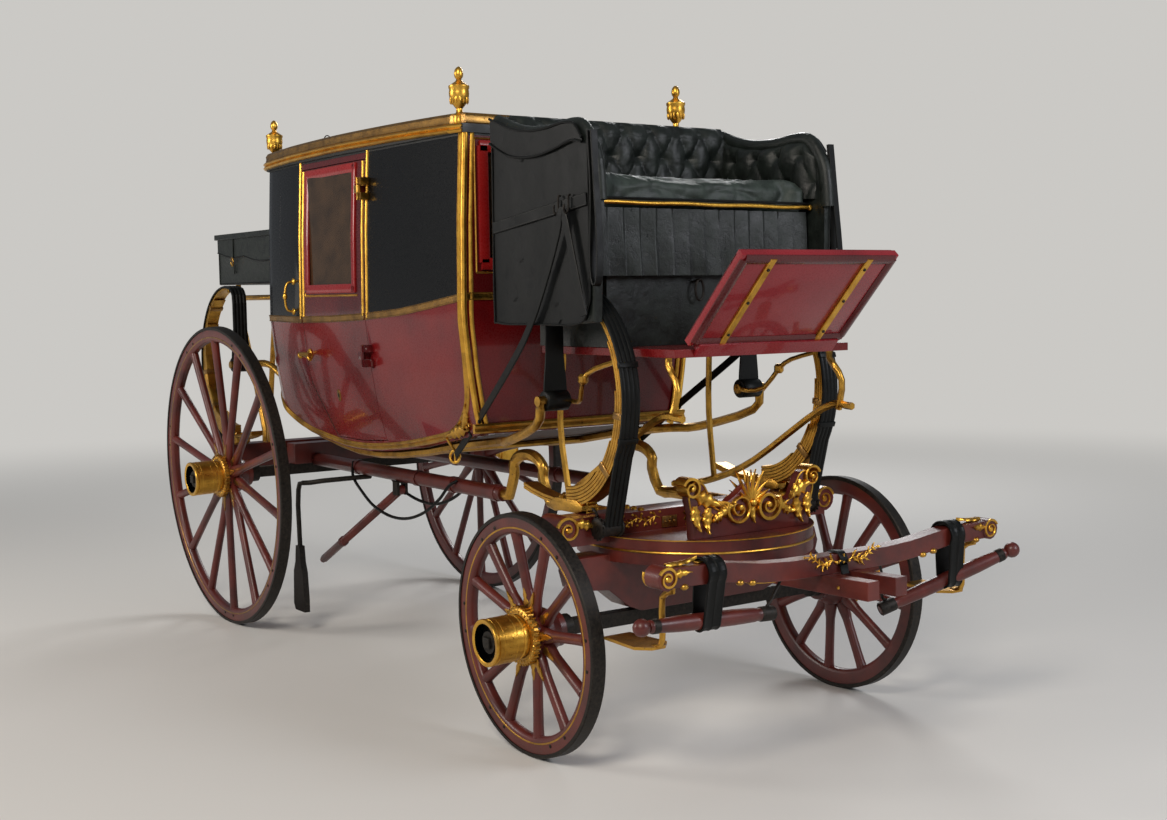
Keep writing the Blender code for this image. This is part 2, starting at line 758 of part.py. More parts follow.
def brace_mesh(x, y, z, facing, roller_z, drum_x, drum_z, meets_deg):
    middle = BRACE_T / 2 + FIT * 2
    grow_x = SPRING_RX + middle
    grow_z = SPRING_RZ + middle
    route = [(drum_x + facing * DRUM_R, drum_z + DRUM_R * 0.3)]
    top = LEAF_ENDS_DEG[0]
    for i in reversed(range(SPRING_POINTS + 1)):
        turn_deg = top + (-90 - top) * i / SPRING_POINTS
        if turn_deg > meets_deg:
            turn = radians(turn_deg)
            route.append((x + facing * grow_x * cos(turn), z + grow_z * sin(turn)))
    fall_x = x - facing * BRACE_DROP
    bend = LEAF_T * 3
    crown = z + SPRING_RZ
    route += [(fall_x + facing * bend, crown - bend * 0.1), (fall_x + facing * bend / 4, crown - bend * 0.8),
              (fall_x, crown - bend * 2.2), (fall_x, roller_z + EYE_R * 0.7)]
    strap = sweep([(u, y, v) for u, v in route], bar_section(BRACE_W, BRACE_T))
    drum = round_bar((drum_x, y - DRUM_W / 2, drum_z), (drum_x, y + DRUM_W / 2, drum_z), DRUM_R, 12)
    outer = [(fall_x + u, roller_z + v) for u, v in oval(2 * EYE_R, 2 * EYE_R, 14)]
    inner_r = (ROLLER_R + FIT * 2) / cos(pi / 14)
    inner = [(fall_x + u, roller_z + v) for u, v in oval(2 * inner_r, 2 * inner_r, 14)]
    eye = hoop(outer, inner, "xz", y - BRACE_W / 2, y + BRACE_W / 2)
    return fuse(strap, drum, eye)


def check_iron_mesh(roller_x, roller_z):
    # An S-shaped iron with a knob, from the front roller's inner end to the inside of the spring.
    inner_y = -FRONT_SPRING_Y + ROLLER_HALF - CHECK_IRON_R
    top_z = roller_z + CHECK_IRON_RISE
    height = top_z - FRONT_SPRING_Z
    leaves = sum(1 for stop in LEAF_ENDS_DEG if stop > LEAF_ENDS_DEG[3])
    inset = LEAF_T * leaves
    turn = height / (SPRING_RZ - inset)
    spring_x = FRONT_SPRING_X + (SPRING_RX - inset) * sqrt(1 - turn * turn) - CHECK_IRON_R * 0.6
    span = spring_x - roller_x
    knob_x = roller_x + span * 0.46
    knob_z = roller_z + CHECK_IRON_RISE * 0.56
    outer_y = -FRONT_SPRING_Y
    path = [(roller_x, inner_y, roller_z), (roller_x + span * 0.15, inner_y, roller_z - CHECK_IRON_R * 0.5),
            (roller_x + span * 0.32, (inner_y + outer_y) / 2, roller_z + CHECK_IRON_R),
            (knob_x, outer_y, knob_z), (roller_x + span * 0.64, outer_y, top_z - CHECK_IRON_R * 3),
            (spring_x - CHECK_IRON_R * 2, outer_y, top_z), (spring_x, outer_y, top_z)]
    rod = sweep(smooth(path[:-1], 2) + [path[-1]], oval(2 * CHECK_IRON_R, 2 * CHECK_IRON_R, 6))
    knob_r = CHECK_IRON_R * 2
    knob_shares = [(0.6, 0), (1.0, 0.5), (1.0, 1.5), (0.6, 2.0)]
    knob = turned_between((knob_x, outer_y, knob_z - knob_r), (knob_x, outer_y, knob_z + knob_r),
                          [(knob_r * u, knob_r * v) for u, v in knob_shares])
    return fuse(rod, knob)


def loop_irons_mesh(front_roller, rear_roller):
    # Side irons follow the bottom of the body and rise to the rollers that the braces hold.
    profile = body_side(0.0)[0]
    half = CRANE_W * 0.42
    y = FLOOR_SEAM_Y - half
    under = []
    for before, point, after in zip(profile, profile[1:], profile[2:]):
        along = (Vector(after) - Vector(before)).normalized()
        under.append((point[0] + along.y * (half + FIT * 2), -y, point[1] - along.x * (half + FIT * 2)))
    front_x, front_y, front_z = front_roller
    rear_x, rear_y, rear_z = rear_roller
    last = Vector(under[-1])
    first = Vector(under[0])
    fore = smooth([last, Vector((BODY_FRONT + half * 2, -y - half, last.z + half * 2.4)),
                   Vector(((last.x + front_x) / 2 + half * 4, -(y + front_y) / 2 - half, last.z + half * 3)),
                   Vector((front_x - half * 2, -front_y, front_z - half * 5)),
                   Vector((front_x, -front_y, front_z))], 3)
    aft = smooth([first, Vector(((first.x + rear_x) / 2, -(y + rear_y) / 2, rear_z)),
                  Vector((rear_x, -rear_y, rear_z))], 4)
    path = list(reversed(aft))[:-1] + [Vector(point) for point in under] + fore[1:]
    parts = [sweep(path, oval(2 * half, 2 * half, 6, pi / 6)), check_iron_mesh(front_x, front_z)]
    rollers = ((front_roller, FRONT_SPRING_Y), (rear_roller, REAR_SPRING_Y))
    for (roller_x, roller_y, roller_z), spring_y in rollers:
        reach = 1 if roller_y > spring_y else -1
        parts.append(round_bar((roller_x, -roller_y - reach * half, roller_z),
                               (roller_x, -spring_y + reach * ROLLER_HALF, roller_z), ROLLER_R, 12))
    side = fuse(*parts)
    made = fuse(side, mirrored(side))
    for x, _, z in (under[4], under[-2]):
        made = fuse(made, round_bar((x, -y, z), (x, y, z), half * 0.8, 8))
    return made


# Body of the carriage

def body_side(inset):
    # Side outline: the bottom from back to front, then the whole outline, moved in by the inset.
    back = BODY_BACK + inset
    front = BODY_FRONT - inset
    sill = BODY_SILL + inset
    length = BODY_FRONT - BODY_BACK
    rise = BELT_Z - BODY_SILL
    span = length - 2 * inset
    bottom = [(back + span * u, sill + rise * v) for u, v in BOTTOM_SHARES]
    lower_front = (front - BODY_WALL / 3, bottom[-1][1] + BODY_WALL / 3)
    top = BODY_TOP - inset
    arch_shares = [(1.0, 0.0), (0.80, 0.5), (0.50, 1.0), (0.22, 0.7), (0.0, 0.0)]
    roof = [(back + span * u, top + BODY_TOP_ARCH * v) for u, v in arch_shares]
    return bottom, bottom + [lower_front, (front, BELT_Z)] + roof


def plan_ring(z, half, inset):
    # Plan of the body at one height: square front corners, rounded back corners, sides bowed in a little.
    back = BODY_BACK - OVERRUN + inset
    front = BODY_FRONT + OVERRUN - inset
    corner = CORNER_R - inset
    back_half = half * 0.93 - inset
    front_half = half * 0.965 - inset
    wide = half - inset
    middle = (back + front) / 2
    start = BODY_BACK + inset + corner
    right = [(front, -front_half), ((front + middle) / 2, -(front_half + 2 * wide) / 3), (middle, -wide),
             (BODY_BACK + (middle - BODY_BACK) / 2, -(back_half + 2 * wide) / 3)]
    right += [(start + u, -back_half + corner + v) for u, v in arc(0, 0, corner, corner, -90, -180, 5)]
    left = [(x, -y) for x, y in reversed(right)]
    return [(x, y, z) for x, y in right + left]


def body_levels():
    rise = BELT_Z - BODY_SILL
    return [(BODY_SILL + rise * u, BODY_HALF * v) for u, v in WIDTH_SHARES]


def body_half_at(z):
    levels = body_levels()
    for (low, narrow), (high, wide) in zip(levels, levels[1:]):
        if low <= z <= high:
            return narrow + (wide - narrow) * (z - low) / (high - low)
    return levels[0][1] if z < levels[0][0] else levels[-1][1]


def body_solid(inset):
    _, outline = body_side(inset)
    side = slab(outline, "xz", -BODY_HALF - OVERRUN, BODY_HALF + OVERRUN)
    levels = [(BODY_SILL - OVERRUN, body_half_at(0) - OVERRUN / 4), *body_levels(),
              (BODY_TOP + BODY_TOP_ARCH + OVERRUN, BODY_HALF * 0.945)]
    plan = loft([plan_ring(z, half, inset) for z, half in levels])
    made = common(side, plan)
    top = BODY_TOP + BODY_TOP_ARCH - inset
    arch = [(-BODY_HALF - OVERRUN, BODY_SILL - OVERRUN), (BODY_HALF + OVERRUN, BODY_SILL - OVERRUN),
            (BODY_HALF + OVERRUN, top - BODY_TOP_ARCH * 1.3)]
    shares = (0.7, 0.35, 0, -0.35, -0.7)
    arch += [(BODY_HALF * share, top - BODY_TOP_ARCH * share * share) for share in shares]
    arch += [(-BODY_HALF - OVERRUN, top - BODY_TOP_ARCH * 1.3)]
    return common(made, slab(arch, "yz", BODY_BACK - OVERRUN, BODY_FRONT + OVERRUN))


def wheel_cut_x(z):
    # How far back the door may reach at one height, so that it passes the hind wheel as it swings open.
    lift = z - REAR_AXLE_Z
    if abs(lift) >= REAR_WHEEL_R:
        return 0.0
    hinge_y = BODY_HALF + HINGE_OUT
    wheel_x = sqrt(REAR_WHEEL_R ** 2 - lift ** 2) + DOOR_WHEEL_GAP
    wheel_y = TRACK / 2 - TYRE_W / 2 + lift * tan(CAMBER) - hinge_y
    inner_y = hinge_y - body_half_at(z) + BODY_WALL
    swing = sqrt((DOOR_FRONT_X - wheel_x) ** 2 + wheel_y ** 2 - inner_y ** 2)
    return DOOR_FRONT_X - swing


def door_outline(gap):
    # The lower back corner is cut away in a curve that clears the tall hind wheel.
    front = DOOR_FRONT_X - gap
    bottom, _ = body_side(0.0)
    sill = [(x, z + DOOR_SILL_RISE + gap) for x, z in bottom if x < front - gap]
    sill = [(x, z) for x, z in sill if x > wheel_cut_x(z) + BODY_WALL / 2]
    low = sill[0][1]
    shares = (1.0, 0.57, 0.51, 0.44, 0.32, 0.20, 0.09, 0.0)
    heights = [low + (BELT_Z - low) * share for share in shares]
    # The lower edge moves back as it starts to swing, so its gap is wider.
    curve = [(max(DOOR_BACK_X + gap, wheel_cut_x(z) + gap * 2.5), z) for z in heights]
    corner_z = sill[-1][1] + (front - sill[-1][0]) * 0.08
    top = DOOR_TOP_Z - gap
    return curve + sill + [(front, corner_z), (front, top), (DOOR_BACK_X + gap, top)]


def window_cutter(low, high, plane, near, far):
    (left, bottom), (right, top) = low, high
    return slab([(left, bottom), (right, bottom), (right, top), (left, top)], plane, near, far)


def urn_mesh():
    shares = [(0.0, -0.08), (0.55, -0.08), (0.60, 0.06), (0.30, 0.12), (0.28, 0.20), (0.85, 0.34),
              (1.0, 0.50), (0.95, 0.60), (0.50, 0.68), (0.22, 0.74), (0.42, 0.84), (0.34, 0.94), (0.0, 1.0)]
    return turned([(URN_R * u, URN_H * v) for u, v in shares], URN_FACETS)


def cornice(body, room):
    # A gilt moulding round the top edge of the body.
    low = ROOF_SEAM_Z + CORNICE_OUT / 2
    high = low + CORNICE_H
    ring = [(min(x, BODY_FRONT), y) for x, y, _ in plan_ring(0.0, BODY_HALF * 0.95, 0.0)]
    middle = (BODY_FRONT + min(x for x, _ in ring)) / 2
    longer = 1 + CORNICE_OUT / BODY_FRONT
    wider = 1 + CORNICE_OUT / BODY_HALF
    wide = [((x - middle) * longer + middle, y * wider) for x, y in ring]
    return fuse(body, cut(slab(wide, "xy", low, high), copy_of(room)))


def build_body(looks):
    outer = body_solid(0.0)
    inner = body_solid(BODY_WALL)
    shell = cut(copy_of(outer), copy_of(inner))
    x0 = BODY_BACK - OVERRUN * 2
    x1 = BODY_FRONT + OVERRUN * 2
    y1 = BODY_HALF + OVERRUN * 2
    z0 = BODY_SILL - OVERRUN * 2
    z1 = BODY_TOP + OVERRUN * 4
    gap = PANEL_GAP / 2
    roof = common(copy_of(shell), box((x0, -y1, ROOF_SEAM_Z + gap), (x1, y1, z1)))
    roof = cornice(roof, inner)
    for x, share in ((BODY_FRONT - URN_R, 0.92), (BODY_BACK + CORNER_R * 0.45, 0.78)):
        for hand in (RIGHT, LEFT):
            roof = fuse(roof, moved(urn_mesh(), x, hand * BODY_HALF * share, BODY_TOP - BODY_TOP_ARCH * 0.2))
    place("cabin_roof", roof, looks["leather"])
    walls = common(copy_of(shell), box((x0, -y1, z0), (x1, y1, ROOF_SEAM_Z - gap)))
    seat_cut = box((REAR_SEAM_X - gap, -FLOOR_SEAM_Y, z0), (FRONT_SEAM_X + gap, FLOOR_SEAM_Y, BELT_Z))
    floor_box = box((REAR_SEAM_X + gap, gap - FLOOR_SEAM_Y, z0),
                    (FRONT_SEAM_X - gap, FLOOR_SEAM_Y - gap, BELT_Z))
    place("cabin_floor", common(copy_of(walls), floor_box), looks["wood"])
    back = common(copy_of(walls), box((x0, -y1, z0), (REAR_SEAM_X - gap, y1, z1)))
    place("cabin_back_wall", back, looks["crimson"])
    front = common(copy_of(walls), box((FRONT_SEAM_X + gap, -y1, z0), (x1, y1, z1)))
    glass_x = FRONT_SEAM_X + (BODY_FRONT - FRONT_SEAM_X) * 0.5
    half = FRONT_WINDOW_HALF
    front = cut(front, window_cutter((-half, FRONT_WINDOW_LOW), (half, FRONT_WINDOW_HIGH), "yz",
                                     FRONT_SEAM_X - OVERRUN, x1))
    pane = window_cutter((FIT - half, FRONT_WINDOW_LOW + FIT), (half - FIT, FRONT_WINDOW_HIGH - FIT), "yz",
                         glass_x - GLASS_T / 2, glass_x + GLASS_T / 2)
    place("front_glass", pane, looks["glass"])
    place("cabin_front_wall", front, looks["crimson"])
    middle = cut(walls, seat_cut, box((x0, -y1, z0), (REAR_SEAM_X + gap, y1, z1)),
                 box((FRONT_SEAM_X - gap, -y1, z0), (x1, y1, z1)))
    side = common(copy_of(middle), box((x0, -y1, z0), (x1, 0, z1)))
    opening = slab(door_outline(0.0), "xz", -y1, -FLOOR_SEAM_Y + OVERRUN)
    door = common(copy_of(side), slab(door_outline(DOOR_GAP), "xz", -y1, -FLOOR_SEAM_Y + OVERRUN))
    side = cut(side, opening)
    window = window_cutter((DOOR_WINDOW_BACK, DOOR_WINDOW_LOW), (DOOR_WINDOW_FRONT, DOOR_WINDOW_HIGH), "xz",
                           -y1, -FLOOR_SEAM_Y)
    door = cut(door, window)
    pane_y = BODY_HALF * 0.985 - BODY_WALL * 0.55
    pane = box((DOOR_WINDOW_BACK + FIT, -pane_y - GLASS_T / 2, DOOR_WINDOW_LOW + FIT),
               (DOOR_WINDOW_FRONT - FIT, -pane_y + GLASS_T / 2, DOOR_WINDOW_HIGH - FIT))
    handle_x = DOOR_BACK_X + HANDLE_L * 0.4
    face_y = BODY_HALF * 0.955
    handle_y = -face_y - HANDLE_OUT
    neck = round_bar((handle_x, -face_y + BODY_WALL / 2, HANDLE_Z), (handle_x, handle_y, HANDLE_Z), HANDLE_R)
    grip = round_bar((handle_x - HANDLE_R, handle_y, HANDLE_Z), (handle_x + HANDLE_L, handle_y, HANDLE_Z),
                     HANDLE_R * 1.3, 10)
    door = fuse(door, neck, grip)
    axis_y = -BODY_HALF - HINGE_OUT
    for z in HINGE_HEIGHTS:
        for low, high, reach, on_door in (
                (0, HINGE_L, -1, True), (HINGE_L + FIT, HINGE_L * 2, 1, False), (-HINGE_L, -FIT, 1, False)):
            barrel = round_bar((DOOR_FRONT_X, axis_y, z + low), (DOOR_FRONT_X, axis_y, z + high), HINGE_R)
            near, far = sorted((DOOR_FRONT_X + reach * DOOR_GAP, DOOR_FRONT_X + reach * HINGE_L))
            leaf = box((near, axis_y - HINGE_R / 2, z + low + FIT),
                       (far, axis_y + HINGE_OUT + BODY_WALL * 1.25, z + high - FIT))
            knuckle = fuse(barrel, leaf)
            if on_door:
                door = fuse(door, knuckle)
            else:
                side = fuse(side, knuckle)
    for name, hand, as_sided in (("right", RIGHT, copy_of), ("left", LEFT, mirrored)):
        place(f"cabin_side_{name}", as_sided(side), looks["crimson"])
        hinge = (DOOR_FRONT_X, hand * (BODY_HALF + HINGE_OUT), BELT_Z)
        pivot = empty(f"door_{name}_hinge", hinge)
        hang(f"door_{name}", as_sided(door), looks["crimson"], pivot, hinge)
        hang(f"door_glass_{name}", as_sided(pane), looks["glass"], pivot, hinge)
    room = body_solid(BODY_WALL + FIT)
    bench_box = box((BODY_BACK, -FLOOR_SEAM_Y, z0), (BENCH_FRONT - OVERRUN, FLOOR_SEAM_Y, BENCH_TOP))
    bench = common(copy_of(room), bench_box)
    place("cabin_bench", bench, looks["wood"])
    cushion = common(room, box((BODY_BACK, -BODY_HALF * 0.85, BENCH_TOP + FIT),
                               (BENCH_FRONT, BODY_HALF * 0.85, BENCH_TOP + BENCH_CUSHION_T)))
    place("bench_cushion", cushion, looks["leather"])


# Driving seat, toe board and their irons

def build_driving_seat(looks):
    low = SEAT_FLAP_LOW
    high = SEAT_ARM_TOP
    length = SEAT_FRONT_X - SEAT_BACK_X
    shares = [(0.0, 0.02), (1.10, 0.0), (1.14, 0.52), (1.10, 0.78),
              (0.98, 0.88), (0.75, 0.84), (0.40, 0.90), (0.0, 1.0)]
    outline = [(SEAT_BACK_X + length * u, low + (high - low) * v) for u, v in shares]
    inner = SEAT_HALF - SEAT_SIDE_T
    back = box((SEAT_BACK_X, -SEAT_HALF + SEAT_SIDE_T / 2, SEAT_DECK_Z - SEAT_DECK_T),
               (SEAT_BACK_X + SEAT_BACK_T, SEAT_HALF - SEAT_SIDE_T / 2, SEAT_BACK_TOP))
    deck = box((SEAT_BACK_X + SEAT_BACK_T / 2, -SEAT_HALF + SEAT_SIDE_T / 2, SEAT_DECK_Z - SEAT_DECK_T),
               (SEAT_FRONT_X - VALANCE_T, SEAT_HALF - SEAT_SIDE_T / 2, SEAT_DECK_Z))
    tub = fuse(slab(outline, "xz", -SEAT_HALF, -inner), slab(outline, "xz", inner, SEAT_HALF), back, deck)
    place("seat_tub", tub, looks["leather"])
    cushion = box((SEAT_BACK_X + SEAT_BACK_T + FIT, FIT - inner, SEAT_DECK_Z + FIT),
                  (SEAT_FRONT_X, inner - FIT, SEAT_CUSHION_TOP))
    place("seat_cushion", cushion, looks["leather"])
    valance = box((SEAT_FRONT_X - VALANCE_T + FIT, FIT - inner, VALANCE_LOW),
                  (SEAT_FRONT_X, inner - FIT, SEAT_DECK_Z))
    place("seat_valance", valance, looks["leather"])
    base = box((BOX_BACK_X, -BOX_HALF, TOE_FLOOR_Z + FIT),
               (BOX_FRONT_X, BOX_HALF, SEAT_DECK_Z - SEAT_DECK_T - FIT))
    place("seat_box", base, looks["leather"])
    floor = box((BOX_BACK_X, -TOE_FLOOR_HALF, TOE_FLOOR_Z - TOE_FLOOR_T),
                (TOE_FLOOR_FRONT, TOE_FLOOR_HALF, TOE_FLOOR_Z))
    place("toe_floor", floor, looks["crimson"])
    low_x, low_z = FOOTBOARD_LOW
    high_x, high_z = FOOTBOARD_HIGH
    lean = hypot(high_x - low_x, high_z - low_z)
    step_x = (high_z - low_z) / lean * FOOTBOARD_T
    step_z = (high_x - low_x) / lean * FOOTBOARD_T
    board = slab([(low_x, low_z), (high_x, high_z), (high_x - step_x, high_z + step_z),
                  (low_x - step_x, low_z + step_z)], "xz", -FOOTBOARD_HALF, FOOTBOARD_HALF)
    hook_half = FOOTBOARD_HALF * 0.9
    hook_x = TOE_FLOOR_FRONT + FIT
    hook = slab([(hook_x, TOE_FLOOR_Z - TOE_FLOOR_T), (low_x + step_z, low_z), (low_x, low_z + step_z),
                 (hook_x, TOE_FLOOR_Z + FOOTBOARD_T / 2)], "xz", -hook_half, hook_half)
    place("footboard", fuse(board, hook), looks["crimson"])


def build_front_stays(looks):
    # Each stay runs from its crane neck outside the spring to the toe floor.
    floor_low = TOE_FLOOR_Z - TOE_FLOOR_T - FIT
    foot_x = FRONT_SPRING_X - SPRING_RX
    foot_z = CRANE_FRONT_Z + CRANE_H / 2 * cos(pi / 8) + STAY_R + FIT
    inside = -FRONT_SPRING_Y + SPRING_W / 2 + STAY_R * 3
    knee_z = floor_low - SPRING_RZ * 0.55
    fork = (foot_x + SPRING_RX * 0.45, inside * 0.9, foot_z + STAY_R * 2)
    main = smooth([(foot_x + STAY_R * 4, -PERCH_Y, foot_z), fork,
                   (FRONT_SPRING_X, inside, foot_z + STAY_R * 8),
                   (TOE_FLOOR_FRONT - SPRING_RX * 0.35, inside, knee_z),
                   (TOE_FLOOR_FRONT + STAY_R * 2, inside, knee_z + STAY_R)], 4)
    stay = sweep([(foot_x, -PERCH_Y, foot_z)] + main, oval(STAY_R * 2, STAY_R * 2, 6, pi / 6))
    thin = oval(STAY_R * 1.8, STAY_R * 1.8, 6)
    rise_x = TOE_FLOOR_FRONT - SPRING_RX * 0.12
    head = (rise_x - STAY_R * 2, inside * 0.95)
    front = smooth([(rise_x, inside, knee_z), (rise_x + STAY_R * 2, inside * 0.97, (knee_z + floor_low) / 2),
                    (*head, floor_low - STAY_R * 2)], 3)
    upright = sweep(front + [(*head, floor_low)], thin)
    head = (BOX_BACK_X + STAY_R * 5, inside * 0.90)
    back = smooth([fork, (head[0] - STAY_R, inside * 0.92, (fork[2] + floor_low) / 2),
                   (*head, floor_low - STAY_R * 2)], 3)
    right = fuse(stay, upright, sweep(back + [(*head, floor_low)], thin))
    place("front_stay_right", right, looks["gilt"])
    place("front_stay_left", mirrored(right), looks["gilt"])


def build_rumble(looks):
    body = box((RUMBLE_BACK_X, -RUMBLE_HALF, RUMBLE_LOW),
               (RUMBLE_FRONT_X, RUMBLE_HALF, RUMBLE_TOP - RUMBLE_LID_T / 2))
    lid = box((RUMBLE_BACK_X - RUMBLE_LID_OUT, -RUMBLE_HALF - RUMBLE_LID_OUT, RUMBLE_TOP - RUMBLE_LID_T),
              (RUMBLE_FRONT_X + RUMBLE_LID_OUT, RUMBLE_HALF + RUMBLE_LID_OUT, RUMBLE_TOP))
    place("rumble_seat", fuse(body, lid), looks["leather"])
    y = RUMBLE_HALF * 0.86
    foot_z = HIND_BAR_TOP
    bottom = RUMBLE_LOW - FIT
    heads = (RUMBLE_BACK_X * 0.86, RUMBLE_FRONT_X * 2)
    legs = []
    for foot_x, head_x in zip((HIND_BAR_X - HIND_BAR_W * 0.3, HIND_BAR_X + HIND_BAR_W * 0.3), heads):
        bend = smooth([(foot_x, -y, foot_z + STAY_R * 4), ((foot_x + head_x) / 2, -y, (foot_z + bottom) / 2),
                       (head_x, -y, bottom - STAY_R * 8)], 3)
        path = [(foot_x, -y, foot_z + FIT)] + bend + [(head_x, -y, bottom)]
        legs.append(sweep(path, oval(STAY_R * 2, STAY_R * 2, 6, pi / 6)))
    rail_z = bottom - STAY_R * 5
    rail = round_bar((heads[0], -y, rail_z), (heads[1], -y, rail_z), STAY_R)
    right = fuse(*legs, rail)
    across = round_bar((heads[0], -y, rail_z), (heads[0], y, rail_z), STAY_R * 0.9)
    place("rumble_irons", fuse(right, mirrored(right), across), looks["gilt"])


# Fore-carriage

def build_fore_carriage(looks):
    steer = empty("steering", (WHEELBASE, 0, PLATE_Z))

    def fore(name, mesh, look):
        hang(name, mesh, looks[look], steer, (WHEELBASE, 0, PLATE_Z))

    axle_top = FRONT_AXLE_Z + (COLLAR_L + HUB_BACK) * tan(CAMBER) + AXLE_H / 2
    fore("front_axle", axle_mesh(WHEELBASE, FRONT_AXLE_Z), "iron")
    plate_low = PLATE_Z - TURN_GAP - PLATE_T
    half = FORE_BED_HALF
    top = plate_low
    tall = top + PLATE_T / 2 - axle_top - FIT
    foot = axle_top + FIT
    shares = [(1.0, 1.0), (1.03, 0.75), (1.0, 0.48), (0.78, 0.42), (0.62, 0.10), (0.52, 0.0)]
    right = [(-half * u, foot + tall * v) for u, v in shares]
    left = [(half * u, foot + tall * v) for u, v in reversed(shares)]
    bed = slab(right + left, "yz", WHEELBASE - FORE_BED_W / 2, WHEELBASE + FORE_BED_W / 2)
    plate = plate_mesh(plate_low, PLATE_R)
    rise = FUTCHELL_NOSE_TOP - FUTCHELL_TOP
    top -= FIT
    bar_outline = [(FUTCHELL_BACK_X, top - FUTCHELL_H), (WHEELBASE, top - FUTCHELL_H),
                   (FUTCHELL_FRONT_X, top + rise - FUTCHELL_H), (FUTCHELL_FRONT_X, top + rise),
                   (WHEELBASE + PLATE_R, top), (FUTCHELL_BACK_X, top)]
    grown_back = FUTCHELL_BACK_X - OVERRUN
    grown_low = top - FUTCHELL_H - FIT
    grown = [(grown_back, grown_low), (WHEELBASE, grown_low), (WHEELBASE + BED_W, grown_low),
             (WHEELBASE + BED_W, top + FIT), (grown_back, top + FIT)]
    beams = []
    for hand in (RIGHT, LEFT):
        middle = hand * FUTCHELL_Y
        beams.append(slab(bar_outline, "xz", middle - FUTCHELL_W / 2, middle + FUTCHELL_W / 2))
        bed = cut(bed, slab(grown, "xz", middle - FUTCHELL_W / 2 - FIT, middle + FUTCHELL_W / 2 + FIT))
    fore("fore_bed", fuse(plate, bed), "red")
    inner = FUTCHELL_Y - FUTCHELL_W / 2
    for x in (FUTCHELL_BACK_X + FUTCHELL_H, WHEELBASE + PLATE_R + FUTCHELL_H):
        beams.append(box((x - FUTCHELL_H / 2, -inner - FUTCHELL_W / 2, top - FUTCHELL_H * 0.85),
                         (x + FUTCHELL_H / 2, inner + FUTCHELL_W / 2, top - FUTCHELL_H * 0.15)))
    fore("futchells", fuse(*beams), "red")
    seat_z = top + rise * (SPLINTER_X - WHEELBASE - PLATE_R) / (FUTCHELL_FRONT_X - WHEELBASE - PLATE_R)
    centre_z = seat_z + SPLINTER_H / 2 + FIT * 4
    path = [(SPLINTER_X, SPLINTER_HALF * u, centre_z + SPLINTER_END_RISE * v) for u, v in SPLINTER_SHARES]
    bar = sweep(path, bar_section(SPLINTER_W, SPLINTER_H), (1, 0, 0))
    end_z = centre_z + SPLINTER_END_RISE
    for hand in (RIGHT, LEFT):
        y = hand * (SPLINTER_HALF - SPLINTER_SCROLL_R / 2)
        bar = fuse(bar, round_bar((SPLINTER_X - SPLINTER_W * 0.6, y, end_z),
                                  (SPLINTER_X + SPLINTER_W * 0.6, y, end_z), SPLINTER_SCROLL_R, 12))
    fore("splinter_bar", bar, "red")
    hang_z = centre_z + splinter_rise(SWINGLE_Y)
    for side, hand in (("right", RIGHT), ("left", LEFT)):
        fore(f"swingletree_{side}", swingletree_mesh(hand, hang_z, *SWINGLE_SHARES[side]), "red")
        step = step_mesh(centre_z + splinter_rise(STEP_Y) - SPLINTER_H / 2 - FIT * 2)
        fore(f"step_{side}", step if side == "right" else mirrored(step), "gilt")
    return steer


def splinter_rise(y):
    share = y / SPLINTER_HALF
    for (u0, v0), (u1, v1) in zip(SPLINTER_SHARES, SPLINTER_SHARES[1:]):
        if u0 <= share <= u1:
            return SPLINTER_END_RISE * (v0 + (v1 - v0) * (share - u0) / (u1 - u0))
    return SPLINTER_END_RISE


def swingletree_mesh(hand, hang_z, forward, points):
    # A turned bar with a knob at each end, hung from the splinter bar in a broad leather loop.
    low_x = SPLINTER_X + SWINGLE_DROP * forward
    low_z = hang_z - SWINGLE_DROP
    y = hand * SWINGLE_Y
    middle = Vector((low_x, y, low_z))
    half = Vector((points[0], hand * points[1], points[2])).normalized() * SWINGLE_HALF
    knob = SWINGLE_KNOB_R
    length = 2 * SWINGLE_HALF
    inner_shares = [(0.5, 0), (0.8, 0.3), (0.8, 2.2), (0.75, 2.3)]
    outer_shares = [(0.7, 2.5), (0.6, 2.0), (1.0, 1.5), (1.0, 0.5), (0.6, 0.0)]
    inner = [(knob * u, knob * v) for u, v in inner_shares]
    outer = [(knob * u, length - knob * v) for u, v in outer_shares]
    profile = inner + [(SWINGLE_R, length * 0.4), (SWINGLE_R, length * 0.6)] + outer
    bar = turned_between(middle - half, middle + half, profile, 10)
    step = radians(30)
    # The bar rises a little within the loop's width.
    lift = splinter_rise(SWINGLE_Y + LOOP_W / 2) - splinter_rise(SWINGLE_Y)
    top_r = hypot(SPLINTER_W, SPLINTER_H) / 2 + lift * sin(pi / 4) + FIT * 2
    lean = atan2(low_x - SPLINTER_X, SWINGLE_DROP)

    def bow(x, z, radius, first, last):
        turns = [lean + step * i for i in range(first, last + 1)]
        return [(x + radius * cos(turn), z + radius * sin(turn)) for turn in turns]

    def belt(grow):
        upper = bow(SPLINTER_X, hang_z, top_r / cos(step / 2) + grow, -1, 7)
        return upper + bow(low_x, low_z, SWINGLE_R * 0.7 + grow, 7, 11)

    return fuse(bar, hoop(belt(LOOP_T), belt(0.0), "xz", y - LOOP_W / 2, y + LOOP_W / 2))


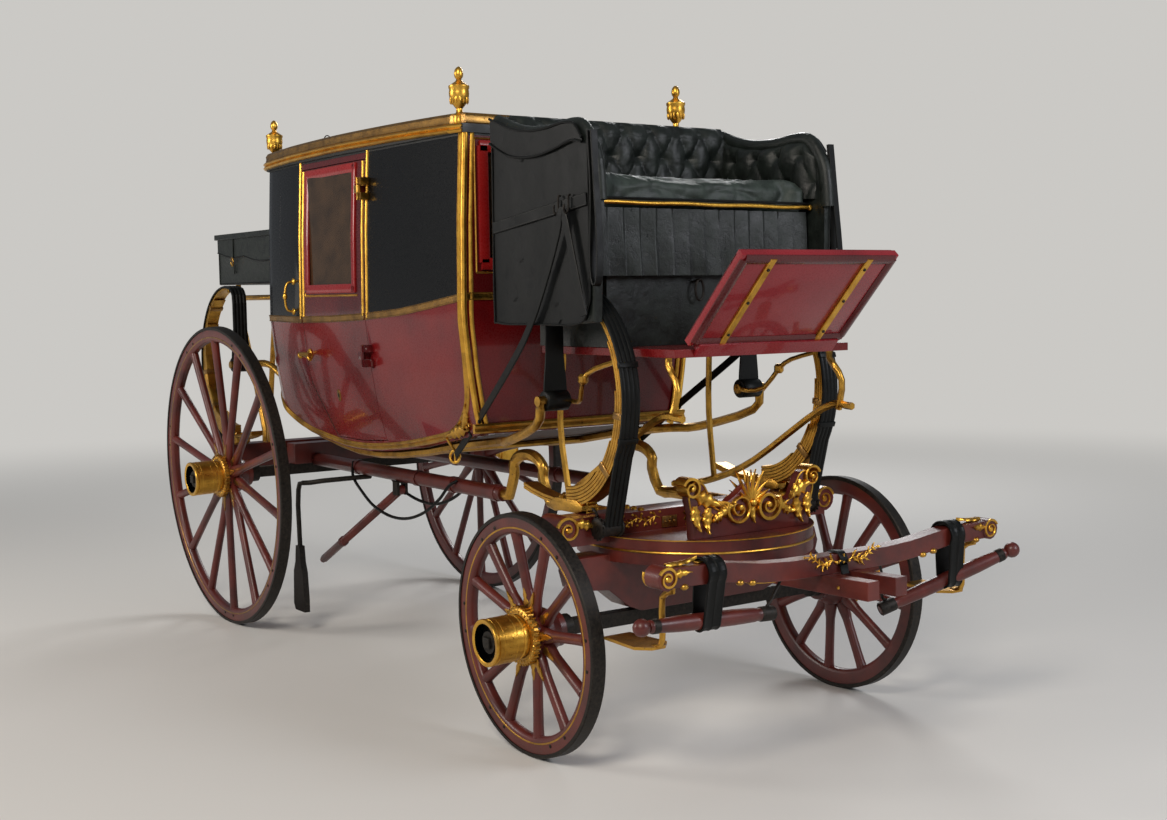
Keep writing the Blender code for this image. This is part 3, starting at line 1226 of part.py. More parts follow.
def step_mesh(under_z):
    x = SPLINTER_X - STEP_R * 5
    bend = smooth([(SPLINTER_X, -STEP_Y, under_z - STEP_R * 1.5), (x, -STEP_Y, under_z - STEP_R * 4),
                   (x, -STEP_Y, STEP_PLATE_Z + STEP_R * 6), (x - STEP_R, -STEP_Y, STEP_PLATE_Z + STEP_R),
                   (x - STEP_R * 5, -STEP_Y, STEP_PLATE_Z)], 2)
    rod = sweep([(SPLINTER_X, -STEP_Y, under_z)] + bend, oval(STEP_R * 2, STEP_R * 2, 8, pi / 8))
    half = STEP_PLATE_W / 2
    right = [(x - STEP_PLATE_L, half * 0.8), (x - STEP_R * 6, half), (x - STEP_R * 2, half * 0.4)]
    outline = [(u, -STEP_Y - v) for u, v in right] + [(u, -STEP_Y + v) for u, v in reversed(right)]
    plate = slab(outline, "xy", STEP_PLATE_Z - STEP_PLATE_T / 2, STEP_PLATE_Z + STEP_PLATE_T / 2)
    return fuse(rod, plate)


# Drag staff and drag shoe

def build_drags(looks):
    pivot_z = PERCH_Z - STAFF_PIVOT_DROP
    pivot = (STAFF_PIVOT_X, -PERCH_Y, pivot_z)
    along = Vector((-cos(STAFF_ANGLE), 0, -sin(STAFF_ANGLE)))
    eye_r = STAFF_R * 1.1
    start = Vector(pivot) + along * eye_r * 0.6
    end = Vector(pivot) + along * STAFF_L
    pole = round_bar(start, end, STAFF_R, 10)
    ring_at = Vector(pivot) + along * STAFF_L * 0.72
    ring = round_bar(ring_at, ring_at + along * STAFF_R, STAFF_R * 1.25, 10)
    tip = round_bar(end - along * STAFF_R, end + along * STAFF_R, STAFF_R * 0.8, 8)
    pin_r = STAFF_R * 0.4
    trim = STAFF_R * 0.7

    def across(half, radius):
        near = (pivot[0], pivot[1] - half, pivot_z)
        return round_bar(near, (pivot[0], pivot[1] + half, pivot_z), radius, 12)

    def cheek(low_y, high_y):
        return box((pivot[0] - eye_r * 2, pivot[1] + low_y, pivot_z - eye_r * 3),
                   (pivot[0] + eye_r * 2, pivot[1] + high_y, pivot_z + eye_r * 2))

    whole = fuse(pole, ring, tip, across(STAFF_R, eye_r))
    wide = STAFF_R * 2
    staff = cut(whole, cheek(-wide, -trim), cheek(trim, wide), across(wide, pin_r))
    hang("drag_staff", staff, looks["red"], empty("drag_staff_pin", pivot), pivot)
    # The fork that holds the staff's pin is clamped under the right perch.
    fork_w = STAFF_R * 0.6
    cheek_gap = trim + ARM_CLEARANCE * 2
    top = PERCH_Z - PERCH_FLAT - FIT
    plates = []
    for hand in (RIGHT, LEFT):
        y = pivot[1] + hand * (cheek_gap + fork_w / 2)
        plates.append(box((pivot[0] - eye_r, y - fork_w / 2, pivot_z - eye_r),
                          (pivot[0] + eye_r, y + fork_w / 2, top)))
    reach = cheek_gap + fork_w
    roof = box((pivot[0] - eye_r, pivot[1] - reach, top - fork_w / 2),
               (pivot[0] + eye_r, pivot[1] + reach, top))
    place("drag_staff_fork", fuse(roof, *plates, across(reach, pin_r * 0.9)), looks["iron"])
    # The shoe hangs on an arm from the right perch, ready in front of the hind wheel.
    arm_z = PERCH_Z - PERCH_FLAT - SHOE_ARM_R - FIT
    bend = smooth([(SHOE_X + SHOE_W, -PERCH_Y - PERCH_R, arm_z),
                   (SHOE_X + SHOE_W / 2, -SHOE_Y + PERCH_R, arm_z - SHOE_ARM_R),
                   (SHOE_X, -SHOE_Y, arm_z - SHOE_ARM_R * 4), (SHOE_X, -SHOE_Y, SHOE_TOP - SHOE_ARM_R)], 3)
    arm = sweep([(SHOE_X + SHOE_W, -PERCH_Y + PERCH_R, arm_z)] + bend,
                oval(SHOE_ARM_R * 2, SHOE_ARM_R * 2, 8), (1, 0, 0))
    half = SHOE_W / 2
    tall = SHOE_TOP - SHOE_LOW
    shares = [(-0.35, 1.0), (-0.5, 0.75), (-0.85, 0.60), (-1.0, 0.10), (-0.7, 0.0),
              (1.0, 0.0), (1.0, 0.2), (0.8, 0.60), (0.5, 0.75), (0.35, 1.0)]
    plate = slab([(SHOE_X + half * u, SHOE_LOW + tall * v) for u, v in shares], "xz",
                 -SHOE_Y - SHOE_T / 2, -SHOE_Y + SHOE_T / 2)
    place("drag_shoe", fuse(arm, plate), looks["iron"])


def build_frame(looks):
    axle_top = REAR_AXLE_Z + (COLLAR_L + HUB_BACK) * tan(CAMBER) + AXLE_H / 2
    place("rear_axle", axle_mesh(0.0, REAR_AXLE_Z), looks["iron"])
    notch = box((-AXLE_W / 2 - FIT, -BODY_HALF, 0), (AXLE_W / 2 + FIT, BODY_HALF, axle_top + FIT))
    perch = cut(perch_mesh(), notch)
    place("perch_right", copy_of(perch), looks["red"])
    place("perch_left", mirrored(perch), looks["red"])
    crane = crane_mesh()
    place("crane_right", copy_of(crane), looks["gilt"])
    place("crane_left", mirrored(crane), looks["gilt"])
    place("hind_bed", hind_bed_mesh(axle_top), looks["red"])
    place("front_bed", fuse(plate_mesh(PLATE_Z, PLATE_R), front_bed_mesh()), looks["red"])
    place("carved_bracket", bracket_mesh(), looks["gilt"])
    front_foot = PLATE_Z + PLATE_T + BED_H + FIT
    rear_foot = HIND_BAR_TOP + FIT
    front_roller_z = FRONT_SPRING_Z - ROLLER_R
    rear_roller_z = REAR_SPRING_Z
    front_drum_x = WHEELBASE + BED_W / 2 + DRUM_R + FIT
    rear_drum_x = HIND_BAR_X - HIND_BAR_W / 2 - DRUM_R - FIT
    front_drum = (front_drum_x, PLATE_Z + PLATE_T + BED_H / 2, FRONT_BRACE_MEETS_DEG)
    rear_drum = (rear_drum_x, HIND_BAR_TOP - DRUM_R * 1.5, REAR_BRACE_MEETS_DEG)
    front = (FRONT_SPRING_X, -FRONT_SPRING_Y, FRONT_SPRING_Z, 1)
    rear = (REAR_SPRING_X, -REAR_SPRING_Y, REAR_SPRING_Z, -1)
    for end, at, foot, roller_z, drum in (
            ("front", front, front_foot, front_roller_z, front_drum),
            ("rear", rear, rear_foot, rear_roller_z, rear_drum)):
        spring = spring_mesh(*at, foot)
        brace = brace_mesh(*at, roller_z, *drum)
        place(f"{end}_spring_right", copy_of(spring), looks["gilt"])
        place(f"{end}_spring_left", mirrored(spring), looks["gilt"])
        place(f"{end}_brace_right", copy_of(brace), looks["leather"])
        place(f"{end}_brace_left", mirrored(brace), looks["leather"])
    front_roller = (FRONT_SPRING_X - BRACE_DROP, FRONT_SPRING_Y + LOOP_END_Y_OFFSET, front_roller_z)
    rear_roller = (REAR_SPRING_X + BRACE_DROP, REAR_SPRING_Y - LOOP_END_Y_OFFSET, rear_roller_z)
    place("loop_irons", loop_irons_mesh(front_roller, rear_roller), looks["gilt"])


def stand_on_origin():
    # Moves the whole carriage so that the origin is under its middle, on the floor.
    bpy.context.view_layer.update()
    solids = [made for made in bpy.data.objects if made.type == "MESH"]
    corners = [made.matrix_world @ Vector(corner) for made in solids for corner in made.bound_box]
    low = Vector([min(corner[i] for corner in corners) for i in range(3)])
    high = Vector([max(corner[i] for corner in corners) for i in range(3)])
    middle = Vector(((low.x + high.x) / 2, (low.y + high.y) / 2, low.z))
    for made in bpy.data.objects:
        if made.parent is None:
            made.location -= middle


def main():
    clear_scene()
    looks = {
        "red": finish("brick_red_paint", "6E2A22", 0.55),
        "crimson": finish("crimson_lacquer", "7E1C1E", 0.18),
        "gilt": finish("gilding", "B88A32", 0.38, 0.9),
        "leather": finish("black_leather", "1B1C1B", 0.45),
        "iron": finish("dark_iron", "23211F", 0.55, 0.8),
        "wood": finish("dark_wood", "3C2318", 0.6),
        "glass": finish("brown_glass", "5A4A38", 0.08, 0.0, 0.35),
    }
    build_frame(looks)
    build_body(looks)
    build_driving_seat(looks)
    build_front_stays(looks)
    build_rumble(looks)
    steer = build_fore_carriage(looks)
    build_wheels(looks, steer)
    build_drags(looks)
    stand_on_origin()


main()
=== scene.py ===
# %% [markdown]
# # A travelling carriage in Blender
#
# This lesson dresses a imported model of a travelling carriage. The model holds every working piece at its
# real size: wheels, axles, springs, doors. What it lacks is the eye's part: round wheels with turned hubs,
# pleated and buttoned leather, gilt mouldings, carving, straps, and finishes that react to light.
# Each cell makes one of these, rides it on the body that carries it, and names the plain solid it stands for.

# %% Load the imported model
import json
from math import atan2, cos, hypot, pi, radians, sin, sqrt

import bmesh
import bpy
from mathutils import Matrix, Vector, noise


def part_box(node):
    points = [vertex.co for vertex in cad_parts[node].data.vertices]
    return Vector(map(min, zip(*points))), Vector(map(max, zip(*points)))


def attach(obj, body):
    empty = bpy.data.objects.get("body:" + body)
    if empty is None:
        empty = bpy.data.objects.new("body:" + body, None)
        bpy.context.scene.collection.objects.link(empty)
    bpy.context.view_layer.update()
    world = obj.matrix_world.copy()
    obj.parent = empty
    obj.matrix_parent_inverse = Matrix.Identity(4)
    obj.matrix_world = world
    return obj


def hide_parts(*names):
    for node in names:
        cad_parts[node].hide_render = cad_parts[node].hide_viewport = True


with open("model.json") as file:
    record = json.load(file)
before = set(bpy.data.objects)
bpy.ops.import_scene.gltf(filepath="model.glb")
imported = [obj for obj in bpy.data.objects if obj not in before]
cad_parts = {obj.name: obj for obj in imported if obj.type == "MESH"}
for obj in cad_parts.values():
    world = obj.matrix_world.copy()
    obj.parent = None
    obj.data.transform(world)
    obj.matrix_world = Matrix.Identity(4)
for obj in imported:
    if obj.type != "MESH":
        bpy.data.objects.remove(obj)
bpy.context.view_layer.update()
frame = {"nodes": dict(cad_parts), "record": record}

# %% [markdown]
# ## Where things are
#
# Every place in this lesson is counted from the rear axle on the floor: a coach builder lays a carriage out
# that way. `ahead` turns such a distance into the model's own x. RIGHT and LEFT are the signs of y.

# %% Places on the carriage
RIGHT, LEFT = -1, 1
hub_low, hub_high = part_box("wheel_rear_right")
REAR_AXLE_X = (hub_low.x + hub_high.x) / 2
REAR_AXLE_Z = (hub_low.z + hub_high.z) / 2


def ahead(distance):
    return REAR_AXLE_X + distance


print("rear axle at", round(REAR_AXLE_X, 3), round(REAR_AXLE_Z, 3))

# %% [markdown]
# ## The camera
#
# The photograph was taken from the carriage's front right, a little above eye height for someone short,
# with a lens close to a normal one. The four wheels' ellipses gave the place, the turn and the small roll.

# %% Camera
CAMERA_PLACE = Vector((5.915, -3.730, 1.697))
CAMERA_YAW = radians(144.77)
CAMERA_PITCH = radians(-4.41)
CAMERA_ROLL = radians(-0.90)
CAMERA_LENS = 45.74

looking = Vector((cos(CAMERA_PITCH) * cos(CAMERA_YAW), cos(CAMERA_PITCH) * sin(CAMERA_YAW), sin(CAMERA_PITCH)))
level_right = Vector((sin(CAMERA_YAW), -cos(CAMERA_YAW), 0))
level_up = level_right.cross(looking)
camera_right = level_right * cos(CAMERA_ROLL) + level_up * sin(CAMERA_ROLL)
camera_up = level_up * cos(CAMERA_ROLL) - level_right * sin(CAMERA_ROLL)
camera = bpy.data.objects.new("camera", bpy.data.cameras.new("camera"))
camera.data.lens = CAMERA_LENS
camera.data.sensor_width = 36
turned_axes = Matrix((camera_right, camera_up, -looking)).transposed().to_4x4()
camera.matrix_world = Matrix.Translation(CAMERA_PLACE) @ turned_axes
bpy.context.scene.collection.objects.link(camera)
bpy.context.scene.camera = camera
print("camera with a lens of", CAMERA_LENS, "mm")

# %% [markdown]
# ## Colours and nodes
#
# Colours are written as a painter would mix them, in sRGB hex, and one function makes them linear. A second
# small function adds a shader node with its settings and its links, so that each finish reads as a recipe.

# %% Colour and node helpers


def linear(code, alpha=1.0):
    parts = [int(code[i:i + 2], 16) / 255 for i in (0, 2, 4)]
    return (*[p / 12.92 if p <= 0.04045 else ((p + 0.055) / 1.055) ** 2.4 for p in parts], alpha)


def add(tree, kind, settings=(), links=()):
    node = tree.nodes.new(kind)
    for key, value in dict(settings).items():
        if isinstance(key, int) or key in node.inputs:
            node.inputs[key].default_value = value
        else:
            setattr(node, key, value)
    for socket, source in dict(links).items():
        tree.links.new(source, node.inputs[socket])
    return node


def per_metre(millimetres):
    """How many features of this size lie in a metre: the scale of a noise or a voronoi."""
    return 1000 / millimetres


def recipe(name, **shader_values):
    """Start a material: its shader with these values, and the object's own coordinates."""
    made = bpy.data.materials.new(name)
    made.use_nodes = True
    tree = made.node_tree
    shader = tree.nodes["Principled BSDF"]
    for key, value in shader_values.items():
        shader.inputs[key.replace("_", " ")].default_value = value
    place = add(tree, "ShaderNodeTexCoord").outputs["Object"]
    return made, tree, shader, place


def speckle(tree, place, size_mm, detail=4, roughness=0.5):
    return add(tree, "ShaderNodeTexNoise", {"Scale": per_metre(size_mm), "Detail": detail, "Roughness": roughness},
               {"Vector": place}).outputs["Fac"]


def stretched(tree, place, x, y, z):
    return add(tree, "ShaderNodeMapping", {"Scale": (x, y, z)}, {"Vector": place}).outputs["Vector"]


def level(grey):
    return (grey, grey, grey, 1.0)


def ramp(tree, value, *stops):
    """Stops are positions with a hex colour or, for roughness and masks, a grey level."""
    node = add(tree, "ShaderNodeValToRGB", links={"Fac": value})
    marks = node.color_ramp.elements
    while len(marks) < len(stops):
        marks.new(0.5)
    for mark, (position, colour) in zip(marks, stops):
        mark.position = position
        mark.color = linear(colour) if isinstance(colour, str) else level(colour)
    return node.outputs["Color"]


def mixed(tree, factor, first, second, mode="MIX"):
    node = add(tree, "ShaderNodeMix", {"data_type": "RGBA", "blend_type": mode})
    for socket, value in ((0, factor), (6, first), (7, second)):
        if hasattr(value, "is_linked"):
            tree.links.new(value, node.inputs[socket])
        else:
            node.inputs[socket].default_value = value
    return node.outputs[2]


def maths(tree, operation, first, second=0.0):
    node = add(tree, "ShaderNodeMath", {"operation": operation})
    for socket, value in ((0, first), (1, second)):
        if hasattr(value, "is_linked"):
            tree.links.new(value, node.inputs[socket])
        else:
            node.inputs[socket].default_value = value
    return node.outputs[0]


def bump(tree, shader, height, strength, depth_mm):
    node = add(tree, "ShaderNodeBump", {"Strength": strength, "Distance": depth_mm / 1000}, {"Height": height})
    tree.links.new(node.outputs["Normal"], shader.inputs["Normal"])
    return node


def to_shader(tree, shader, **sources):
    for key, source in sources.items():
        tree.links.new(source, shader.inputs[key.replace("_", " ")])


print("colour and node helpers ready")

# %% [markdown]
# ## Floor and light
#
# A pale floor and three soft lamps: a large one ahead and to the right, as in a studio, a low one that
# fills the shadows, and a strip behind that draws a line of light along edges. The background's paleness is
# in its own colour, seen by the camera and by mirror and glass, so it throws no more light on the carriage.

# %% Floor
FLOOR_HALF = 40
stage_mesh = bmesh.new()
bmesh.ops.create_grid(stage_mesh, x_segments=1, y_segments=1, size=FLOOR_HALF)
floor_data = bpy.data.meshes.new("floor")
stage_mesh.to_mesh(floor_data)
stage_mesh.free()
floor = bpy.data.objects.new("floor", floor_data)
bpy.context.scene.collection.objects.link(floor)
pale, tree, shader, place = recipe("pale_studio_floor", Roughness=0.9)
shader.inputs["Base Color"].default_value = linear("D9D7D3")
# Far from the carriage the floor takes the wall's colour, so that no line shows where they meet.
away = add(tree, "ShaderNodeVectorMath", {"operation": "LENGTH"}, {0: place}).outputs["Value"]
far = add(tree, "ShaderNodeMapRange", {"From Min": 4.0, "From Max": 13.0, "interpolation_type": "SMOOTHSTEP"},
          {"Value": away}).outputs["Result"]
glow = add(tree, "ShaderNodeEmission", {"Color": linear("DAD8D4"), "Strength": 0.85})
blend = add(tree, "ShaderNodeMixShader", links={0: far, 1: shader.outputs[0], 2: glow.outputs[0]})
tree.links.new(blend.outputs[0], tree.nodes["Material Output"].inputs["Surface"])
floor_data.materials.append(pale)
print("floor laid,", 2 * FLOOR_HALF, "m wide")

# %% Lamps and world


def lamp(name, place, aim, size, power, colour="FFFFFF"):
    light = bpy.data.lights.new(name, "AREA")
    light.shape = "DISK"
    light.size = size
    light.energy = power
    light.color = linear(colour)[:3]
    holder = bpy.data.objects.new(name, light)
    turn = (Vector(aim) - Vector(place)).to_track_quat("-Z", "Y")
    holder.matrix_world = Matrix.Translation(place) @ turn.to_matrix().to_4x4()
    bpy.context.scene.collection.objects.link(holder)


AIM = (0, 0, 1.1)
lamp("key_lamp", (5.5, -6.5, 6.5), AIM, 3.0, 470, "FFF6EA")
lamp("side_lamp", (-3.5, -7.0, 3.5), AIM, 2.5, 200, "FFF9F2")
lamp("front_lamp", (7.5, 2.5, 4.0), AIM, 3.0, 200, "F4F7FF")
lamp("rim_lamp", (-5.0, 6.0, 5.5), AIM, 3.0, 280)
world = bpy.data.worlds.new("studio")
world.use_nodes = True
bpy.context.scene.world = world
tree = world.node_tree
tree.nodes.clear()
light_path = add(tree, "ShaderNodeLightPath")
seen = maths(tree, "MAXIMUM", light_path.outputs["Is Camera Ray"], light_path.outputs["Is Transmission Ray"])
ambient = add(tree, "ShaderNodeBackground", {"Color": linear("DCE2EA"), "Strength": 0.24})
pale_wall = add(tree, "ShaderNodeBackground", {"Color": linear("DAD8D4"), "Strength": 0.85})
choice = add(tree, "ShaderNodeMixShader", links={0: seen, 1: ambient.outputs[0], 2: pale_wall.outputs[0]})
add(tree, "ShaderNodeOutputWorld", links={0: choice.outputs[0]})
bpy.context.scene.view_settings.view_transform = "Standard"
print("lamps:", [light.name for light in bpy.data.lights])
# %% [markdown]
# ## Painted ash: wheels, perches and beds
#
# Wheels and poles are ash, primed and painted brick red with a brush, then rubbed by years of roads. The
# paint keeps a faint grain, its gloss is uneven, and edges and hollows have gone darker with old varnish.

# %% Painted ash
GRAIN_MM = 9
STAIN_MM = 170


def brick_red_on_ash():
    made, tree, shader, place = recipe("brick_red_on_ash", IOR=1.5, Coat_Weight=0.15, Coat_Roughness=0.22)
    stain = speckle(tree, place, STAIN_MM, 5, 0.6)
    grain = speckle(tree, stretched(tree, place, 1.0, 1.0, 3.0), GRAIN_MM, 6, 0.65)
    colour = ramp(tree, stain, (0.30, "38100D"), (0.52, "551A13"), (0.75, "6A2418"))
    worn = ramp(tree, grain, (0.60, 0.0), (0.74, 1.0))
    colour = mixed(tree, maths(tree, "MULTIPLY", worn, 0.35), colour, linear("7A4028"))
    gloss = ramp(tree, grain, (0.3, 0.30), (0.7, 0.52))
    to_shader(tree, shader, Base_Color=colour, Roughness=gloss)
    bump(tree, shader, grain, 0.35, 0.8)
    return made


brick_red = brick_red_on_ash()
print("made", brick_red.name)

# %% [markdown]
# ## Coach lacquer
#
# The body is many coats of crimson colour under clear varnish, rubbed flat between coats. So the colour is
# deep and even, and what tells the eye is the clear coat: sharp reflections on a slightly wavy panel.
# The same finish in black does for the japanned leather of the upper quarters, and as painted shade inside the hub caps
# and the keyholes.

# %% Coach lacquer and japanned leather
WAVE_MM = 95


def lacquer(name, shade, body, light, coat, gloss_index=1.36):
    made, tree, shader, place = recipe(name, IOR=gloss_index, Coat_Weight=coat, Coat_Roughness=0.05, Coat_IOR=1.38)
    cloud = speckle(tree, place, 420, 4, 0.55)
    colour = ramp(tree, cloud, (0.28, shade), (0.5, body), (0.74, light))
    fine = speckle(tree, place, 7, 4, 0.6)
    gloss = ramp(tree, fine, (0.35, 0.24), (0.75, 0.36))
    to_shader(tree, shader, Base_Color=colour, Roughness=gloss)
    bump(tree, shader, speckle(tree, place, WAVE_MM, 2, 0.5), 0.25, 1.2)
    return made


crimson = lacquer("crimson_coach_lacquer", "4C080B", "680E11", "781714", 0.45)
dark_crimson = lacquer("dark_crimson_lacquer", "3E0A0C", "521012", "5E1814", 0.5)
footboard_red = lacquer("faded_crimson_lacquer", "6E1219", "861C24", "94282C", 0.6)
japanned_black_and_hole_shade = lacquer("japanned_leather_and_hole_shade", "010102", "020202", "040404", 0.2, 1.28)
frame_red = lacquer("window_frame_red", "7A1014", "8E1A19", "A02420", 0.5)
print("made", [made.name for made in (crimson, dark_crimson, footboard_red, japanned_black_and_hole_shade, frame_red)])

# %% [markdown]
# ## Gold leaf
#
# Mouldings, springs and carving are gilded: leaf over brown bole. Leaf is a real metal film, so it is fully
# metallic, and its age shows as breaks where the bole comes through and as tarnish that dulls the shine.

# %% Gold leaf
LEAF_BREAK_MM = 9


def gold_leaf(name, bright, deep, bole, wear):
    made, tree, shader, place = recipe(name, Metallic=1.0)
    breaks = speckle(tree, place, LEAF_BREAK_MM, 7, 0.66)
    tarnish = speckle(tree, place, 60, 5, 0.6)
    colour = ramp(tree, tarnish, (0.30, deep), (0.58, bright))
    bare = ramp(tree, breaks, (wear, 0.0), (wear + 0.09, 1.0))
    colour = mixed(tree, bare, colour, linear(bole))
    metal = maths(tree, "SUBTRACT", 1.0, maths(tree, "MULTIPLY", bare, 0.75))
    dull = mixed(tree, bare, ramp(tree, breaks, (0.3, 0.24), (0.6, 0.42)), level(0.62))
    to_shader(tree, shader, Base_Color=colour, Metallic=metal, Roughness=dull)
    bump(tree, shader, breaks, 0.4, 0.5)
    return made


bright_gold = gold_leaf("bright_gold_leaf", "E2B04A", "BE8A34", "7A5226", 0.66)
old_gold = gold_leaf("old_gold_leaf", "CC9C44", "9C7434", "5A3E24", 0.60)
brown_gold = gold_leaf("browned_gold_leaf", "A98146", "7C5C34", "4A3524", 0.56)
print("made", [made.name for made in (bright_gold, old_gold, brown_gold)])

# %% [markdown]
# ## Harness leather
#
# Thick black leather, greased for years: a fine pebble, soft creases, and a low sheen that is greener and
# greyer on the seat, where dust sits in the folds. The pebble is a voronoi of a few millimetres.

# %% Leather
PEBBLE_MM = 3.2


def harness_leather(name, deep, worn, roughness, crease, sheen=0.0, shine=0.5, fold_mm=2.0):
    made, tree, shader, place = recipe(name, IOR=1.5, Sheen_Weight=sheen, Sheen_Roughness=0.4, Specular_IOR_Level=shine)
    shader.inputs["Sheen Tint"].default_value = linear("8C968E")
    pebble = add(tree, "ShaderNodeTexVoronoi", {"Scale": per_metre(PEBBLE_MM)}, {"Vector": place}).outputs["Distance"]
    folds = speckle(tree, place, 55, 6, 0.62)
    colour = ramp(tree, folds, (0.32, deep), (0.72, worn))
    gloss = ramp(tree, folds, (0.3, roughness - 0.08), (0.7, roughness + 0.12))
    height = maths(tree, "ADD", maths(tree, "MULTIPLY", folds, crease), maths(tree, "MULTIPLY", pebble, 0.12))
    to_shader(tree, shader, Base_Color=colour, Roughness=gloss)
    bump(tree, shader, height, 0.7, fold_mm)
    return made


strap_leather = harness_leather("greased_harness_leather", "050606", "0E100F", 0.42, 0.5, shine=0.2)
seat_leather = harness_leather("creased_seat_leather", "0C0F0D", "1E2521", 0.42, 1.0, 0.08, 0.38, 4.5)
roof_leather = harness_leather("dull_roof_leather", "101211", "1C1E1C", 0.46, 0.8)
cushion_leather = harness_leather("dusty_cushion_leather", "1C231F", "39433D", 0.48, 1.0, 0.14, 0.4, 4.0)
print("made", [made.name for made in (strap_leather, seat_leather, roof_leather, cushion_leather)])

# %% [markdown]
# ## Iron, wood inside, glass and wool
#
# Forged iron keeps a scale of oxide, nearly black and only half metallic. The old window glass is brown from
# smoke. The curtain behind the front window is a grey-green wool twill, two millimetres to a rib.

# %% Iron, plain wood, glass and wool
IRON_SCALE_MM = 12
RIB_MM = 5


def forged_iron():
    made, tree, shader, place = recipe("forged_iron", Metallic=0.75)
    scale = speckle(tree, place, IRON_SCALE_MM, 7, 0.65)
    colour = ramp(tree, scale, (0.3, "191817"), (0.6, "35312D"), (0.8, "4E4235"))
    gloss = ramp(tree, scale, (0.3, 0.42), (0.7, 0.66))
    to_shader(tree, shader, Base_Color=colour, Roughness=gloss)
    bump(tree, shader, scale, 0.5, 0.8)
    return made


def plain_elm():
    made, tree, shader, place = recipe("plain_elm", IOR=1.5)
    rings = speckle(tree, stretched(tree, place, 0.25, 1.0, 1.0), 14, 6, 0.6)
    colour = ramp(tree, rings, (0.3, "2A180F"), (0.7, "4E3220"))
    to_shader(tree, shader, Base_Color=colour, Roughness=ramp(tree, rings, (0.3, 0.5), (0.7, 0.65)))
    bump(tree, shader, rings, 0.3, 0.6)
    return made


def smoked_glass():
    made, tree, shader, place = recipe("smoked_glass", IOR=1.5, Roughness=0.06, Transmission_Weight=0.55)
    film = speckle(tree, place, 120, 4, 0.6)
    to_shader(tree, shader, Base_Color=ramp(tree, film, (0.3, "463524"), (0.7, "6B5138")))
    return made


def wool_twill(name, deep, light):
    made, tree, shader, place = recipe(name, Roughness=0.95, Sheen_Weight=0.4, Sheen_Roughness=0.5)
    rib = add(tree, "ShaderNodeTexWave", {"Scale": per_metre(RIB_MM) / 20, "Distortion": 1.5, "Detail": 3.0},
              {"Vector": stretched(tree, place, 1.0, 1.0, 0.4)}).outputs["Fac"]
    colour = mixed(tree, rib, linear(deep), linear(light))
    to_shader(tree, shader, Base_Color=colour)
    bump(tree, shader, rib, 0.4, 1.0)
    return made


thread = recipe("waxed_thread", Roughness=0.7, Base_Color=linear("3A3A36"))[0]
iron = forged_iron()
elm = plain_elm()
glass = smoked_glass()
curtain_wool = wool_twill("grey_green_wool", "39453F", "5A6A60")
lining = wool_twill("faded_lining_cloth", "2A1A16", "3E2A22")
print("finishes ready:", len(bpy.data.materials))

# %% [markdown]
# ## Dressing a imported solid
#
# A imported solid is faceted. Where its form is already right, a copy is enough: the doubled corners are
# merged, faces meeting at a flat angle are shaded smooth, and sharp edges get a small round that catches
# light, as every real edge does. The copy then stands for the solid, which is hidden and stays in the frame.

# %% Pieces from meshes
SMOOTH_ANGLE = radians(38)
MERGE = 0.00005
FLAT = radians(0.5)
OUTPUT = bpy.context.scene.collection


def body_of_node(node):
    return next(body for body, members in frame["record"]["behaviour"]["bodies"].items() if node in members)


def slot_of_node(node):
    return next(part["material_slot"] for part in frame["record"]["subparts"] if part["node"] == node)


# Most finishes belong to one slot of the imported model, so a piece's finish is enough to tell its slot.
SLOT_OF = {made.name: slot for slot, finishes in (
    ("red_paint", (brick_red,)),
    ("gilding", (bright_gold, old_gold, brown_gold)),
    ("crimson_lacquer", (crimson, dark_crimson, footboard_red, frame_red)),
    ("black_leather", (strap_leather, seat_leather, cushion_leather, curtain_wool, thread)),
    ("dark_iron", (iron,)),
) for made in finishes}


def piece(name, bm, finish, stands_for=(), body="carriage", slot=None, smooth=SMOOTH_ANGLE):
    """Make an object of a bmesh, give it its finish, and let it ride on its body."""
    bmesh.ops.recalc_face_normals(bm, faces=bm.faces)
    data = bpy.data.meshes.new(name)
    bm.to_mesh(data)
    bm.free()
    data.shade_smooth()
    data.set_sharp_from_angle(angle=smooth)
    for one in finish if isinstance(finish, (list, tuple)) else [finish]:
        data.materials.append(one)
    made = bpy.data.objects.new(name, data)
    OUTPUT.objects.link(made)
    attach(made, body)
    slot or SLOT_OF[finish.name]
    if stands_for:
        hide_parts(*stands_for)
    return made


def rounded(made, width_mm, segments=2, angle=SMOOTH_ANGLE):
    soft = made.modifiers.new("soft_edges", "BEVEL")
    soft.width = width_mm / 1000
    soft.segments = segments
    soft.limit_method = "ANGLE"
    soft.angle_limit = angle
    soft.harden_normals = False
    soft.use_clamp_overlap = True
    return made


def packed_copy(node):
    """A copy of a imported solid, its doubled corners merged and its flat faces made whole."""
    bm = bmesh.new()
    bm.from_mesh(frame["nodes"][node].data)
    bmesh.ops.remove_doubles(bm, verts=bm.verts, dist=MERGE)
    bmesh.ops.dissolve_limit(bm, angle_limit=FLAT, verts=bm.verts, edges=bm.edges)
    return bm


def dressed(node, finish, edge_mm=0.0, bm=None):
    """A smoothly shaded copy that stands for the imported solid, with its own finish and soft edges."""
    made = piece(f"{node}_finished", bm or packed_copy(node), finish, (node,), body_of_node(node), slot_of_node(node))
    return rounded(made, edge_mm) if edge_mm else made


